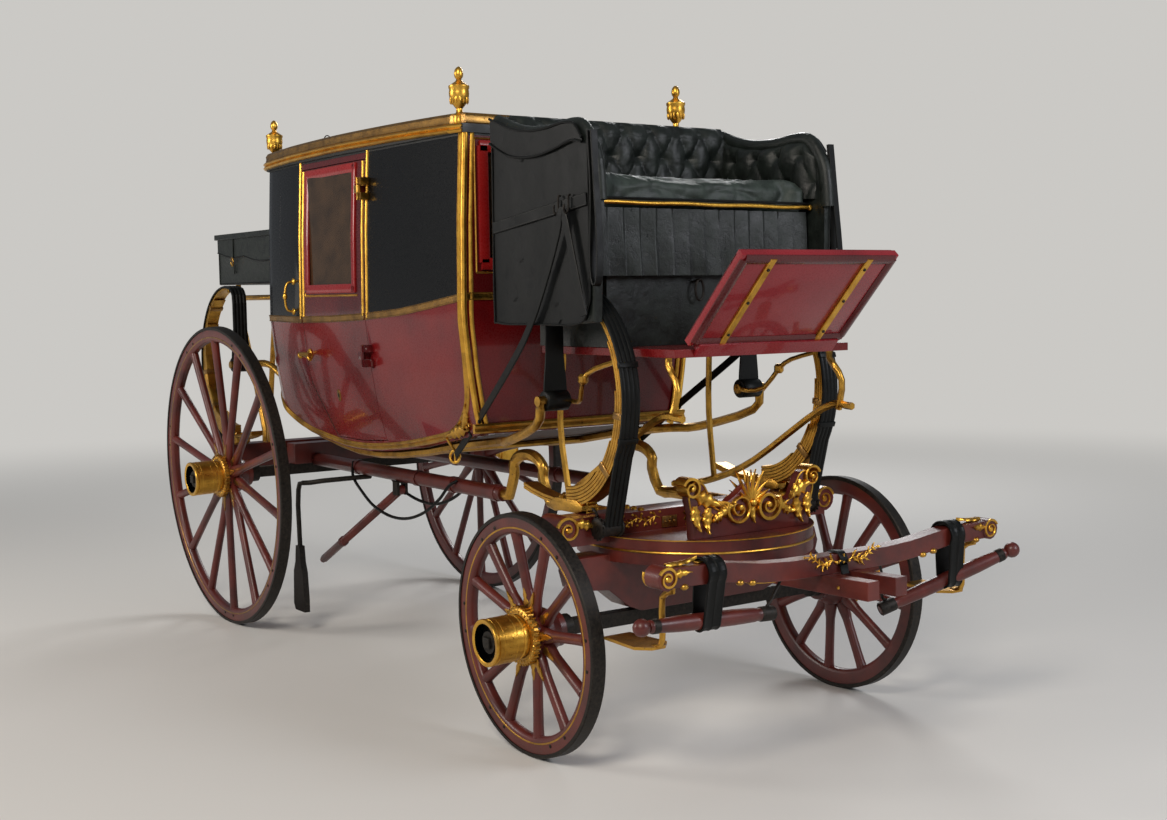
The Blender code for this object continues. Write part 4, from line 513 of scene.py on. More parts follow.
SIDES = (("right", RIGHT), ("left", LEFT))
DRESS = (
    (brick_red, 2.0, ("hind_bed", "front_bed", "fore_bed", "futchells", "splinter_bar")),
    (brick_red, 0.0, ("perch_right", "perch_left", "drag_staff")),
    (old_gold, 0.0, ("crane_right", "crane_left", "loop_irons", "front_stay_right", "front_stay_left",
                     "rumble_irons", "step_right", "step_left")),
    (iron, 1.0, ("front_axle", "rear_axle", "drag_shoe", "drag_staff_fork")),
    (crimson, 2.0, ("toe_floor",)),
    (roof_leather, 1.0, ("cabin_roof",)),
    (seat_leather, 3.0, ("rumble_seat",)),
    (elm, 1.0, ("cabin_floor", "cabin_bench")),
    (glass, 0.5, ("front_glass", "door_glass_right", "door_glass_left")),
)
for finish, edge_mm, nodes in DRESS:
    for node in nodes:
        dressed(node, finish, edge_mm)
print("dressed", sum(len(nodes) for _, _, nodes in DRESS), "packed solids")

# %% [markdown]
# ## Ways to make a form
#
# Nearly everything on a carriage is made in one of a few ways: turned on a lathe, bent from a bar or a
# strap, sawn from a plank, or carved as a leaf. Each has a helper here, so that later cells only say which
# profile, which path and which outline. Distances are in metres from the rear axle, as at the builder's.

# %% Places and turned forms
AHEAD, ACROSS, UP = Vector((1, 0, 0)), Vector((0, 1, 0)), Vector((0, 0, 1))


def at(x, y, z):
    return Vector((ahead(x), y, z))


def places(points, hand=1):
    """Points of (x, y, z) counted from the rear axle; hand RIGHT mirrors them."""
    return [at(x, hand * y, z) for x, y, z in points]


def span(first, last, count):
    """Evenly spaced numbers from the first to the last."""
    return [first + (last - first) * i / count for i in range(count + 1)]


def in_side_view(turn, sign=1):
    """A direction in the side view, turned up from straight ahead, or from straight back where sign is -1."""
    return Vector((sign * cos(turn), 0, sin(turn)))


def upended(place, hand):
    """Stand a plank on its edge, with its face to the right or to the left."""
    return Matrix.Translation(place) @ Matrix(((1, 0, 0), (0, 0, hand), (0, 1, 0))).to_4x4()


def facing(place, along, side=UP):
    """A frame whose z runs along and whose x points as nearly to the side as it can."""
    z = Vector(along).normalized()
    y = z.cross(side)
    y = y.normalized() if y.length > 1e-5 else z.orthogonal().normalized()
    return Matrix.Translation(place) @ Matrix((y.cross(z), y, z)).transposed().to_4x4()


def joined(*parts):
    """Several meshes as one; the parts are used up."""
    whole = bmesh.new()
    for part in parts:
        data = bpy.data.meshes.new("part")
        part.to_mesh(data)
        part.free()
        whole.from_mesh(data)
        bpy.data.meshes.remove(data)
    return whole


def shifted(bm, matrix):
    bmesh.ops.transform(bm, matrix=matrix, verts=bm.verts)
    return bm


def turned(profile, place=None, facets=32, ring=False):
    """Spin a profile of (radius, distance along) about the local z."""
    bm = bmesh.new()
    points = [bm.verts.new((radius, 0, along)) for radius, along in profile]
    edges = [bm.edges.new(pair) for pair in zip(points, points[1:])]
    if ring:
        edges.append(bm.edges.new((points[-1], points[0])))
    bmesh.ops.spin(bm, geom=points + edges, axis=(0, 0, 1), cent=(0, 0, 0), angle=2 * pi, steps=facets,
                   use_merge=True)
    bmesh.ops.remove_doubles(bm, verts=bm.verts, dist=MERGE)
    bmesh.ops.recalc_face_normals(bm, faces=bm.faces)
    return shifted(bm, place) if place else bm


print("places and turned forms ready")

# %% Sections and strands


def oval(wide, tall, count):
    return [(wide * cos(2 * pi * i / count), tall * sin(2 * pi * i / count)) for i in range(count)]


def oblong(wide, tall):
    return [(-wide, -tall), (wide, -tall), (wide, tall), (-wide, tall)]


def disc_section(radius, count=8, flat=1.0):
    return oval(radius, radius * flat, count)


def band_section(thick, wide, edge=0.0):
    edge = edge or thick * 0.3
    return [(0, -wide / 2), (thick - edge, -wide / 2), (thick, edge - wide / 2), (thick, wide / 2 - edge),
            (thick - edge, wide / 2), (0, wide / 2)]


def ridge_section(thick, wide, ridges=2):
    """A moulding: round ridges side by side on a thin base."""
    points = [(-thick * 0.3, -wide / 2)]
    for i in range(ridges):
        for k in range(5):
            share = (i + k / 4) / ridges
            points.append((thick * (0.25 + 0.75 * sin(pi * k / 4)), wide * (share - 0.5)))
    points = [point for i, point in enumerate(points) if i == 0 or point != points[i - 1]]
    return points + [(-thick * 0.3, wide / 2)]


def flowing(points, steps=6, loop=False):
    """A smooth run of points through the given ones."""
    points = [Vector(point) for point in points]
    count = len(points)
    made = []
    for i in range(count if loop else count - 1):
        b, c = points[i], points[(i + 1) % count]
        a = points[i - 1] if i or loop else b * 2 - c
        d = points[(i + 2) % count] if i + 2 < count or loop else c * 2 - b
        for k in range(steps):
            t = k / steps
            made.append((b * 2 + (c - a) * t + (a * 2 - b * 5 + c * 4 - d) * t * t
                         + (b * 3 - a - c * 3 + d) * t * t * t) / 2)
    return made if loop else made + [points[-1]]


def strand(path, section, side=UP, sizes=None, loop=False):
    """Carry a flat section along a path: each step extrudes the last face."""
    path = [Vector(point) for point in path]
    last = len(path)
    steps = []
    for i in range(last + (1 if loop else 0)):
        if loop:
            before, after = path[(i - 1) % last], path[(i + 1) % last]
        else:
            before, after = path[max(i - 1, 0)], path[min(i + 1, last - 1)]
        lean = side[i % last] if isinstance(side, list) else side
        size = sizes[i % last] if sizes else 1.0
        wide, deep = size if isinstance(size, tuple) else (size, size)
        steps.append(facing(path[i % last], after - before, lean) @ Matrix.Diagonal((wide, deep, 1, 1)))
    bm = bmesh.new()
    first = face = bm.faces.new([bm.verts.new((u, v, 0)) for u, v in section])
    bmesh.ops.transform(bm, matrix=steps[0], verts=bm.verts)
    for here, there in zip(steps, steps[1:]):
        new = bmesh.ops.extrude_face_region(bm, geom=[face])["geom"]
        face = next(item for item in new if isinstance(item, bmesh.types.BMFace))
        bmesh.ops.transform(bm, matrix=there @ here.inverted(), verts=face.verts)
    if loop:
        bmesh.ops.delete(bm, geom=[first, face], context="FACES_ONLY")
        bmesh.ops.remove_doubles(bm, verts=bm.verts, dist=MERGE)
    bmesh.ops.recalc_face_normals(bm, faces=bm.faces)
    return bm


print("strands ready")

# %% Planks, blocks and balls


def round_off(bm, edges, width, segments):
    bmesh.ops.bevel(bm, geom=edges, offset=width, offset_type="OFFSET", affect="EDGES", segments=segments,
                    profile=0.5, material=-1, clamp_overlap=True)


def plank(outline, place, thick, edge=0.0, segments=2):
    """Saw an outline from a plank lying on the local xy, and round the edges of its upper face."""
    bm = bmesh.new()
    face = bm.faces.new([bm.verts.new((u, v, 0)) for u, v in outline])
    new = bmesh.ops.extrude_face_region(bm, geom=[face])["geom"]
    top = next(item for item in new if isinstance(item, bmesh.types.BMFace))
    bmesh.ops.translate(bm, vec=(0, 0, thick), verts=top.verts)
    bmesh.ops.recalc_face_normals(bm, faces=bm.faces)
    if edge:
        round_off(bm, list(top.edges), edge, segments)
    return shifted(bm, place)


def block(low, high, edge=0.0, segments=2):
    low, high = Vector(low), Vector(high)
    bm = bmesh.new()
    size = Matrix.Diagonal((*(high - low), 1))
    bmesh.ops.create_cube(bm, size=1, matrix=Matrix.Translation((low + high) / 2) @ size)
    if edge:
        round_off(bm, bm.edges[:], edge, segments)
    return bm


def ball(place, radius, shape=(1, 1, 1), facets=16):
    bm = bmesh.new()
    bmesh.ops.create_uvsphere(bm, u_segments=facets, v_segments=facets // 2, radius=radius,
                              matrix=Matrix.Translation(place) @ Matrix.Diagonal((*shape, 1)))
    return bm


def around(bm, count):
    """Copies of the whole mesh round the local z."""
    bmesh.ops.spin(bm, geom=bm.verts[:] + bm.edges[:] + bm.faces[:], axis=(0, 0, 1), cent=(0, 0, 0),
                   angle=2 * pi * (count - 1) / count, steps=count - 1, use_duplicate=True)
    return bm


print("planks, blocks and balls ready")

# %% Skins, leaves and scrolls


def skinned(across, up, place, thick):
    """A grid whose points are placed by a rule of u and v, each from 0 to 1, then given a thickness."""
    bm = bmesh.new()
    bmesh.ops.create_grid(bm, x_segments=across, y_segments=up, size=0.5)
    for vert in bm.verts:
        vert.co = place(vert.co.x + 0.5, vert.co.y + 0.5)
    bmesh.ops.solidify(bm, geom=bm.faces[:], thickness=thick)
    bmesh.ops.recalc_face_normals(bm, faces=bm.faces)
    return bm


def acanthus(length, width, curl=0.3, lobes=4, thick=0.003):
    """A carved leaf along the local x, vaulted over its midrib, with lobes and a tip that curls up."""
    def place(t, v):
        s = v * 2 - 1
        lobe = 1 - 0.30 * abs(sin(pi * lobes * t)) ** 0.8 * abs(s)
        half = width / 2 * (0.35 + 0.65 * sin(pi * min(1, t * 1.1) ** 0.8)) * (1 - t ** 4 * 0.8) * lobe
        lift = width * 0.22 * (1 - s * s) + width * 0.05 * cos(2 * pi * lobes * t) * abs(s)
        return length * (t - curl * 0.3 * t ** 3), half * s, lift + length * curl * t ** 3

    return skinned(20, 8, place, thick)


def volute(radius, thick, wide, turns, place, steps=36):
    """A scroll wound in the local xy, thinning to its eye."""
    path, sizes = [], []
    for i in range(steps + 1):
        t = i / steps
        reach = radius * (1 - t) ** 0.85 * 0.86 + radius * 0.14
        path.append(Vector((reach * cos(2 * pi * turns * t), reach * sin(2 * pi * turns * t), 0)))
        sizes.append((1.0, 1 - 0.45 * t))
    section = [(u - wide / 2, v) for u, v in band_section(wide, thick, thick * 0.3)]
    eye = turned([(0, -wide * 0.62), (thick * 0.8, -wide * 0.55), (thick * 1.3, 0), (thick * 0.8, wide * 0.55),
                  (0, wide * 0.62)], Matrix.Translation(path[-1] * 0.2), 12)
    return shifted(joined(strand(path, section, side=UP, sizes=sizes), eye), place)


print("leaves and scrolls ready")

# %% [markdown]
# ## Wheels
#
# A wooden wheel is a dish: the spokes lean inward from rim to hub, and every second one stands a little
# further out, which makes the wheel stiff sideways. The axle arm droops, so the lowest spoke stands upright.
# Each wheel is made flat, its local z pointing outward along the arm, and is then set on its axle.
# The rim and the hub are spun profiles; one spoke is carried from hub to rim and then copied round.

# %% Wheel sizes
TRACK_HALF = 0.800
CAMBER = radians(1.8)
TYRE_HALF = 0.028
TYRE_THICK = 0.018
TYRE_GAP = 0.0004
RIM_HALF = 0.024
RIM_DEEP = 0.062
DISH = 0.022
STAGGER = 0.010
HUB_PROFILE = ((0.0665, -0.134), (0.066, -0.110), (0.072, -0.104), (0.084, -0.086), (0.0955, -0.064),
               (0.096, -0.060), (0.096, 0.012))
CAP_PROFILE = ((0.080, 0.040), (0.0795, 0.052), (0.0845, 0.055), (0.0845, 0.061), (0.081, 0.064),
               (0.081, 0.070), (0.0865, 0.073), (0.0865, 0.168), (0.0835, 0.170), (0.0835, 0.173),
               (0.088, 0.175), (0.088, 0.183), (0.086, 0.186), (0.074, 0.186), (0.071, 0.184),
               (0.0705, 0.151), (0.032, 0.1505))
# The nut's distance along the arm; and of each wheel its radius, its spokes and the turn of the first of them.
NUT_OUT = 0.169
WHEELS = (("rear", 0.785, 14, 0.05), ("front", 0.456, 12, 0.23))


def wheel_seat(end, side, hand):
    low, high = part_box(f"wheel_{end}_{side}")
    outboard = Vector((0, hand * cos(CAMBER), -sin(CAMBER)))
    turn = Matrix((AHEAD, outboard.cross(AHEAD), outboard)).transposed().to_4x4()
    return Matrix.Translation(((low.x + high.x) / 2, hand * TRACK_HALF, (low.z + high.z) / 2)) @ turn


def coned(radius, along):
    return radius - along * sin(CAMBER)


def tyre_of(radius):
    h, inner = TYRE_HALF, radius - TYRE_THICK
    profile = [(coned(radius, -h) - 0.0053, -h), (coned(radius, -h) - 0.0018, 0.004 - h),
               (coned(radius, h) - 0.0018, h - 0.004), (coned(radius, h) - 0.0053, h), (inner, h), (inner, -h)]
    return turned(profile, facets=96, ring=True)


def rim_of(radius):
    outer, inner, h = radius - TYRE_THICK - TYRE_GAP, radius - TYRE_THICK - RIM_DEEP, RIM_HALF
    return turned([(outer, -h), (outer, h), (inner + 0.020, h), (inner + 0.010, h - 0.002), (inner + 0.003, h - 0.008),
                   (inner, h - 0.014), (inner, 0.014 - h), (inner + 0.003, 0.008 - h), (inner + 0.010, 0.002 - h),
                   (inner + 0.020, -h)], facets=96, ring=True)


def spoke_of(radius, stagger):
    """One spoke: broad and flat where it enters the hub, round and slimmer on its way to the rim."""
    foot, tip = 0.088, radius - TYRE_THICK - RIM_DEEP + 0.006
    path, sizes = [], []
    for share, wide, deep in ((0.0, 0.030, 0.024), (0.10, 0.029, 0.023), (0.18, 0.026, 0.020), (0.26, 0.0215, 0.0185),
                              (0.36, 0.0205, 0.0185), (0.55, 0.0200, 0.0190), (0.75, 0.0200, 0.0195),
                              (0.90, 0.0210, 0.0200), (0.96, 0.0225, 0.0210), (1.0, 0.0235, 0.0215)):
        path.append((foot + (tip - foot) * share, 0, (stagger - DISH) * (1 - share)))
        sizes.append((deep, wide))
    return strand(path, disc_section(1.0, 14), side=UP, sizes=sizes)


def spokes_of(radius, count, phase):
    rows = []
    for odd in (0, 1):
        one = spoke_of(radius, STAGGER if odd else -STAGGER)
        turn = 2 * pi * (odd + phase) / count + pi / 2
        rows.append(around(shifted(one, Matrix.Rotation(turn, 4, "Z")), count // 2))
    return rows


print("wheel sizes set")

# %% [markdown]
# ## Hubs and gilding of the wheels
#
# The hub is turned elm. Its nose is a gilt brass cap, open at the end, with the axle nut deep inside. Behind
# the cap stands a fluted ring, and a gilt dart lies on the root of every spoke. A fine line of gold follows
# the inner edge of each front rim, and coach bolts hold the rim to the tyre.

# %% Hubs, darts, lines and bolts


def hub_of():
    return turned([(0.031, -0.134), *HUB_PROFILE, (0.031, 0.012)], facets=48, ring=True)


def flange_of():
    plate = turned([(0.080, 0.013), (0.104, 0.013), (0.108, 0.017), (0.108, 0.033), (0.104, 0.037), (0.082, 0.041)],
                   facets=60, ring=True)
    bead = strand([(0.1075, 0, 0.0135), (0.1075, 0, 0.0375)], disc_section(0.0046, 6), side=AHEAD,
                  sizes=[1.0, 0.9])
    petal = ball((0.094, 0, 0.0385), 0.0048, (1.7, 0.8, 0.7), 8)
    return joined(plate, around(bead, 40), around(petal, 30))


def cap_of():
    rings = []
    for along, radius in ((0.094, 0.0872), (0.147, 0.0872)):
        rings.append(turned([(radius - 0.002, along - 0.004), (radius, along - 0.002), (radius, along + 0.002),
                             (radius - 0.002, along + 0.004)], facets=48, ring=True))
    return joined(turned(CAP_PROFILE, facets=48), *rings)


def dart_row(count, phase):
    darts = []
    outline = [(0.0, -0.013), (0.018, -0.017), (0.034, -0.009), (0.044, -0.012), (0.088, 0.0), (0.044, 0.012),
               (0.034, 0.009), (0.018, 0.017), (0.0, 0.013)]
    for odd in (0, 1):
        lean = (STAGGER if odd else -STAGGER) - DISH
        slope = Matrix.Rotation(-0.03, 4, "Y")
        one = plank(outline, Matrix.Translation((0.100, 0, lean + 0.0190)) @ slope, 0.0065, 0.003, 2)
        turn = 2 * pi * (odd + phase) / count + pi / 2
        darts.append(around(shifted(one, Matrix.Rotation(turn, 4, "Z")), count // 2))
    return darts


def rim_line(radius):
    inner = radius - TYRE_THICK - RIM_DEEP
    return turned([(inner + 0.0195, RIM_HALF - 0.0005), (inner + 0.0215, RIM_HALF + 0.0012),
                   (inner + 0.0255, RIM_HALF + 0.0012), (inner + 0.0275, RIM_HALF - 0.0005)], facets=96, ring=True)


def rim_bolts(radius, joints):
    middle_r = radius - TYRE_THICK - RIM_DEEP * 0.42
    rows = []
    for offset in (-0.055, 0.055):
        bolt = ball((middle_r * cos(offset / middle_r), offset, RIM_HALF), 0.0075, (1, 1, 0.5), 10)
        rows.append(around(shifted(bolt, Matrix.Rotation(pi / 2 + pi / joints, 4, "Z")), joints))
    return rows


# The inner wall and floor of the open cap take the second, black finish: painted shade for the dark recess round the
# nut.
def cap_inside_shade(face):
    middle_of_face = face.calc_center_median()
    return 1 if hypot(middle_of_face.x, middle_of_face.y) < 0.0715 and middle_of_face.z > 0.149 else 0


for end, radius, count, phase in WHEELS:
    joints = count // 2
    for side, hand in SIDES:
        seat = wheel_seat(end, side, hand)
        body = body_of_node(f"wheel_{end}_{side}")
        wood = joined(rim_of(radius), *spokes_of(radius, count, phase), hub_of())
        piece(f"wheel_wood_{end}_{side}", shifted(wood, seat), brick_red, (f"wheel_{end}_{side}",), body=body)
        piece(f"wheel_tyre_{end}_{side}", shifted(tyre_of(radius), seat), iron, (f"tyre_{end}_{side}",), body=body)
        # The cap is gilt outside; inside it is black, a painted shade.
        cap = cap_of()
        for face in cap.faces:
            face.material_index = cap_inside_shade(face)
        piece(f"hub_cap_{end}_{side}", shifted(cap, seat), (bright_gold, japanned_black_and_hole_shade), body=body, slot="gilding")
        piece(f"hub_flange_{end}_{side}", shifted(flange_of(), seat), old_gold, body=body)
        gilt = joined(*dart_row(count, phase), rim_line(radius))
        piece(f"wheel_gilding_{end}_{side}", shifted(gilt, seat), old_gold if end == "front" else brown_gold,
              body=body)
        piece(f"rim_bolts_{end}_{side}", shifted(joined(*rim_bolts(radius, joints)), seat), iron, body=body)
        nut = plank(oblong(0.020, 0.020), seat @ Matrix.Translation((0, 0, NUT_OUT)), 0.012, 0.003)
        piece(f"axle_nut_{end}_{side}", nut, iron, body=body_of_node(f"{end}_axle"))
print("wheels made:", [round(2 * radius, 3) for _, radius, _, _ in WHEELS], "m across")

# %% [markdown]
# ## The body: painted panels
#
# The body is a bowed box: narrow at the sill, widest at the belt, round at the back corners. Every moulding
# lies on that skin, so its shape is written down once: half widths at several heights, and how a plan bows
# between the ends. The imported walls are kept, cut along the belt, and painted crimson below and black above.

# %% Skin of the body
# WIDTHS gives the half width at a height; PLAN, the share of it that is left at a distance along the body.
# BOTTOM and BELT are the lines of the lower edge and of the belt moulding, seen from the side.
WIDTHS = ((0.960, 0.4805), (1.060, 0.5239), (1.200, 0.5611), (1.380, 0.5921), (1.610, 0.6169), (2.000, 0.6107),
          (2.520, 0.5859))
PLAN = ((0.18, 0.930), (0.50, 0.97667), (1.05, 1.0), (1.625, 0.98833), (2.20, 0.965))
BOTTOM = ((-0.050, 1.402), (-0.028, 1.285), (0.027, 1.194), (0.115, 1.120), (0.236, 1.067), (0.412, 1.022),
          (0.610, 0.9925), (0.830, 0.970), (1.050, 0.970), (1.270, 0.986), (1.534, 1.0185), (1.820, 1.067),
          (2.084, 1.113), (2.150, 1.124))
BELT = ((-0.05, 1.606), (0.25, 1.604), (0.56, 1.600), (0.92, 1.605), (1.27, 1.616), (1.63, 1.638), (1.89, 1.668),
        (2.16, 1.702))
# Behind STRAIGHT_FROM the plan turns in: a back corner is a quarter of a circle of this radius.
CORNER, STRAIGHT_FROM, FRONT_X = 0.230, 0.18, 2.150
DOOR_BACK, DOOR_FRONT = 0.600, 1.300


def between(table, value):
    """Read a table of pairs in straight lines from one row to the next."""
    for (low, first), (high, second) in zip(table, table[1:]):
        if value <= high:
            return first + (second - first) * max(0.0, (value - low) / (high - low))
    return table[-1][1]


def half_width(x, z):
    """Half the body's width at a place along it."""
    wide = between(WIDTHS, z)
    if x >= STRAIGHT_FROM:
        return wide * between(PLAN, x)
    sunk = min(1.0, (STRAIGHT_FROM - x) / CORNER)
    return wide * 0.93 - CORNER * (1 - sqrt(max(0.0, 1 - sunk * sunk)))


def skin(x, z, hand, out=0.0):
    """A point on the side of the body, and the direction it faces."""
    step = 0.004
    slope_x = (half_width(x + step, z) - half_width(max(x - step, -0.0499), z)) / (2 * step)
    slope_z = (half_width(x, z + step) - half_width(x, z - step)) / (2 * step)
    normal = Vector((-slope_x, hand, -slope_z)).normalized()
    return at(x, hand * half_width(x, z), z) + normal * out, normal


def side_strip(points, section, hand, out=-0.001, sizes=None):
    """A moulding laid on the side of the body along points of (x, z)."""
    laid = [skin(x, z, hand, out) for x, z in points]
    return strand([place for place, _ in laid], section, side=[normal for _, normal in laid], sizes=sizes)


def even(first, last, count, rule):
    return [(x, rule(x)) for x in span(first, last, count)]


print("body half width at the belt:", round(half_width(1.05, 1.61), 3))

# %% Painted walls


def painted(node, finishes, cuts, rule, edge_mm=1.2):
    """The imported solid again, cut where its colour changes."""
    bm = packed_copy(node)
    for place, normal in cuts:
        bmesh.ops.bisect_plane(bm, geom=bm.verts[:] + bm.edges[:] + bm.faces[:], plane_co=place, plane_no=normal)
    bmesh.ops.recalc_face_normals(bm, faces=bm.faces)
    for face in bm.faces:
        face.material_index = rule(face)
    return dressed(node, finishes, edge_mm, bm)


def lining_or(face, index):
    """Faces that look toward the middle of the cabin are lined, whatever lies outside."""
    middle_of_face = face.calc_center_median()
    towards = Vector((ahead(1.05), 0, middle_of_face.z)) - middle_of_face
    return LINED if face.normal.dot(towards.normalized()) > 0.35 else index


def is_ironwork(face):
    """Hinges and handles stand proud of the skin."""
    spot = face.calc_center_median()
    return abs(spot.y) > half_width(spot.x - REAR_AXLE_X, spot.z) + 0.003


WALL_FINISHES = (crimson, japanned_black_and_hole_shade, lining, old_gold, dark_crimson)
PANEL, UPPER, LINED, GILT, FRAME = range(len(WALL_FINISHES))
WINDOW_SILL, LINTEL = 2.0, 2.3
belt_slope = Vector((1.702 - 1.616, 0, -(2.16 - 1.27))).normalized()


def side_rule(face):
    spot = face.calc_center_median()
    if is_ironwork(face):
        return GILT if spot.z > WINDOW_SILL else FRAME
    x = spot.x - REAR_AXLE_X
    if DOOR_BACK < x < DOOR_FRONT and spot.z > LINTEL:
        return lining_or(face, FRAME)
    return lining_or(face, UPPER if spot.z > between(BELT, x) else PANEL)


def door_rule(face):
    spot = face.calc_center_median()
    if is_ironwork(face):
        return FRAME if spot.x - REAR_AXLE_X > 1.2 and spot.z < WINDOW_SILL else GILT
    return lining_or(face, FRAME if spot.z > 1.605 else PANEL)


for side, hand in SIDES:
    # Cuts round each hinge keep its shading from running out over the flat panel.
    round_hinges = [(at(0, 0, height + step), UP) for height in (1.420, 2.180) for step in (-0.042, 0.042)]
    round_hinges += [(at(DOOR_FRONT + step, 0, 2), AHEAD) for step in (-0.042, 0.042)]
    cuts = [(at(1.27, 0, 1.616), belt_slope), (at(0, 0, 1.603), UP), (at(DOOR_BACK, 0, 2), AHEAD),
            (at(DOOR_FRONT, 0, 2), AHEAD), *round_hinges]
    painted(f"cabin_side_{side}", WALL_FINISHES, cuts, side_rule)
    painted(f"door_{side}", WALL_FINISHES, ((at(0, 0, 1.606), UP), *round_hinges), door_rule, 1.5)
for node, belt, above in (("cabin_back_wall", 1.605, UPPER), ("cabin_front_wall", 1.702, FRAME)):
    painted(node, WALL_FINISHES, ((at(0, 0, belt), UP),),
            lambda face: lining_or(face, above if face.calc_center_median().z > belt else PANEL))
print("walls and doors painted with", len(WALL_FINISHES), "finishes")

# %% [markdown]
# ## Mouldings of the body
#
# Mouldings hide the joints between panels and draw the carriage's lines: a belt that rises to the front, a
# moulding round each lower panel, a double cornice, and doubled stiles at the door. Each is a strip with a
# ridged section, carried along the skin. What lies on a door rides with the door.

# %% Belt, stiles, panel mouldings, pillars and cornice
BELT_SECTION = [(-0.001, -0.016), (0.005, -0.016), (0.007, -0.0125), (0.0045, -0.010), (0.0045, 0.010),
                (0.007, 0.0125), (0.005, 0.016), (-0.001, 0.016)]
WINDOW_BAR = [(-0.004, -0.021), (0.007, -0.021), (0.010, -0.017), (0.010, 0.010), (0.004, 0.021), (-0.004, 0.021)]
STILE_SECTION = ridge_section(0.0075, 0.022, 1)
DOUBLE_SECTION = ridge_section(0.009, 0.036, 2)


def belt_height(x):
    return between(BELT, x)


def upright(x, low, high, count=16):
    return [(x, z) for z in span(low, high, count)]


def strips(hand, section, *runs):
    """Mouldings of one section on one side of the body."""
    return joined(*[side_strip(points, section, hand) for points in runs])


for side, hand in SIDES:
    door_body = body_of_node(f"door_{side}")
    behind_door = even(-0.02, DOOR_BACK - 0.004, 26, belt_height)
    before_door = even(DOOR_FRONT + 0.004, 2.146, 30, belt_height)
    on_door = even(DOOR_BACK + 0.010, DOOR_FRONT - 0.009, 24, belt_height)
    piece(f"belt_body_{side}", strips(hand, BELT_SECTION, behind_door, before_door), brown_gold)
    piece(f"belt_door_{side}", strips(hand, BELT_SECTION, on_door), brown_gold, body=door_body)
    stiles = strips(hand, STILE_SECTION, upright(DOOR_FRONT + 0.018, 1.612, 2.370),
                    upright(DOOR_BACK - 0.018, 1.604, 2.370))
    piece(f"stiles_body_{side}", stiles, bright_gold)
    stiles = strips(hand, STILE_SECTION, upright(DOOR_FRONT - 0.022, 1.622, 2.326),
                    upright(DOOR_BACK + 0.020, 1.612, 2.326))
    lines = strips(hand, ridge_section(0.004, 0.010, 1), upright(DOOR_BACK + 0.046, 1.716, 2.318),
                   even(0.646, 1.225, 12, lambda x: 1.716))
    piece(f"stiles_door_{side}", joined(stiles, lines), bright_gold, body=door_body)

    # The window's bars slope toward the glass, so two of the four are the mirror of the others.
    slopes = [WINDOW_BAR, [(u, -v) for u, v in reversed(WINDOW_BAR)]]
    first, other = slopes if hand == RIGHT else reversed(slopes)
    bars = [strips(hand, first, upright(0.668, 1.730, 2.322, 10)),
            strips(hand, other, upright(1.192, 1.730, 2.322, 10), even(0.650, 1.210, 12, lambda x: 1.748)),
            strips(hand, first, even(0.650, 1.210, 12, lambda x: 2.304))]
    piece(f"window_frame_{side}", joined(*bars), frame_red, body=door_body)

    # The moulding of the lower panel follows the bottom, turns up at the front and meets the pillar.
    low_line = [(x, z + 0.024) for x, z in BOTTOM[1:-2]] + [(1.935, 1.122), (2.035, 1.184), (2.095, 1.265),
                                                            (2.122, 1.380), (2.126, 1.480)]
    smooth_line = [(point.x, point.z) for point in flowing([(x, 0, z) for x, z in low_line], 5)]
    moulding = strips(hand, DOUBLE_SECTION, smooth_line)
    back_line = strips(hand, ridge_section(0.006, 0.016, 1), upright(-0.034, 1.300, 2.370, 14))
    pillar = strips(hand, DOUBLE_SECTION, upright(2.126, 1.470, 2.372, 14))
    corner, front_face = [strand([at(x, hand * (half_width(FRONT_X, z) - inset), z) for z in span(1.16, 2.372, 20)],
                                 section, side=AHEAD)
                          for x, inset, section in ((FRONT_X - 0.004, 0.006, disc_section(0.013, 12)),
                                                    (FRONT_X - 0.001, 0.038, ridge_section(0.008, 0.020, 1)))]
    piece(f"lower_moulding_{side}", joined(moulding, back_line), old_gold)
    piece(f"corner_pillar_{side}", joined(pillar, corner, front_face), bright_gold)


ROOF_ARCH, BODY_MIDDLE, BODY_HALF_LONG = 0.014, 1.05, 1.1


def roof_line(z, out):
    """The plan of the body as a closed path, with the cornice's slight arch."""
    path = []
    for hand in (RIGHT, LEFT):
        xs = span(2.142, STRAIGHT_FROM, 26)
        xs += [STRAIGHT_FROM - CORNER * sin(pi / 2 * i / 8) * 0.999 for i in range(1, 9)]
        half = [(x, half_width(x, z)) for x in xs]
        run = [at(x, hand * (y + out), z + ROOF_ARCH * (1 - ((x - BODY_MIDDLE) / BODY_HALF_LONG) ** 2))
               for x, y in half]
        path += run if hand == RIGHT else list(reversed(run))
    return path


def cornice_of(z, section, out):
    """A moulding round the whole roof, its back against the body."""
    path = roof_line(z, out)
    middle_of_body = at(BODY_MIDDLE, 0, z)
    normals = []
    count = len(path)
    for i in range(count):
        along = (path[(i + 1) % count] - path[i - 1]).normalized()
        across = along.cross(UP)
        normals.append(across if across.dot(path[i] - middle_of_body) > 0 else -across)
    return strand(path, section, side=normals, loop=True)


CORNICE_LOW, CORNICE_HIGH = 2.390, 2.430
lower = ridge_section(0.016, 0.038, 2)
upper = [(-0.003, -0.024), (0.016, -0.024), (0.021, -0.018), (0.017, -0.004), (0.019, 0.010), (0.012, 0.022),
         (-0.003, 0.024)]
piece("cornice_lower", cornice_of(CORNICE_LOW, lower, 0.0175), bright_gold)
piece("cornice_upper", cornice_of(CORNICE_HIGH, upper, 0.0), brown_gold)
print("mouldings laid")

# %% [markdown]
# ## Front of the body, curtain, urns and handles
#
# The front has one broad window in a red frame. A wool curtain hangs behind it from a brass rod, gathered to
# about half its width. Four gilt urns stand on the roof's corners; each is one turned profile.

# %% Front wall trim


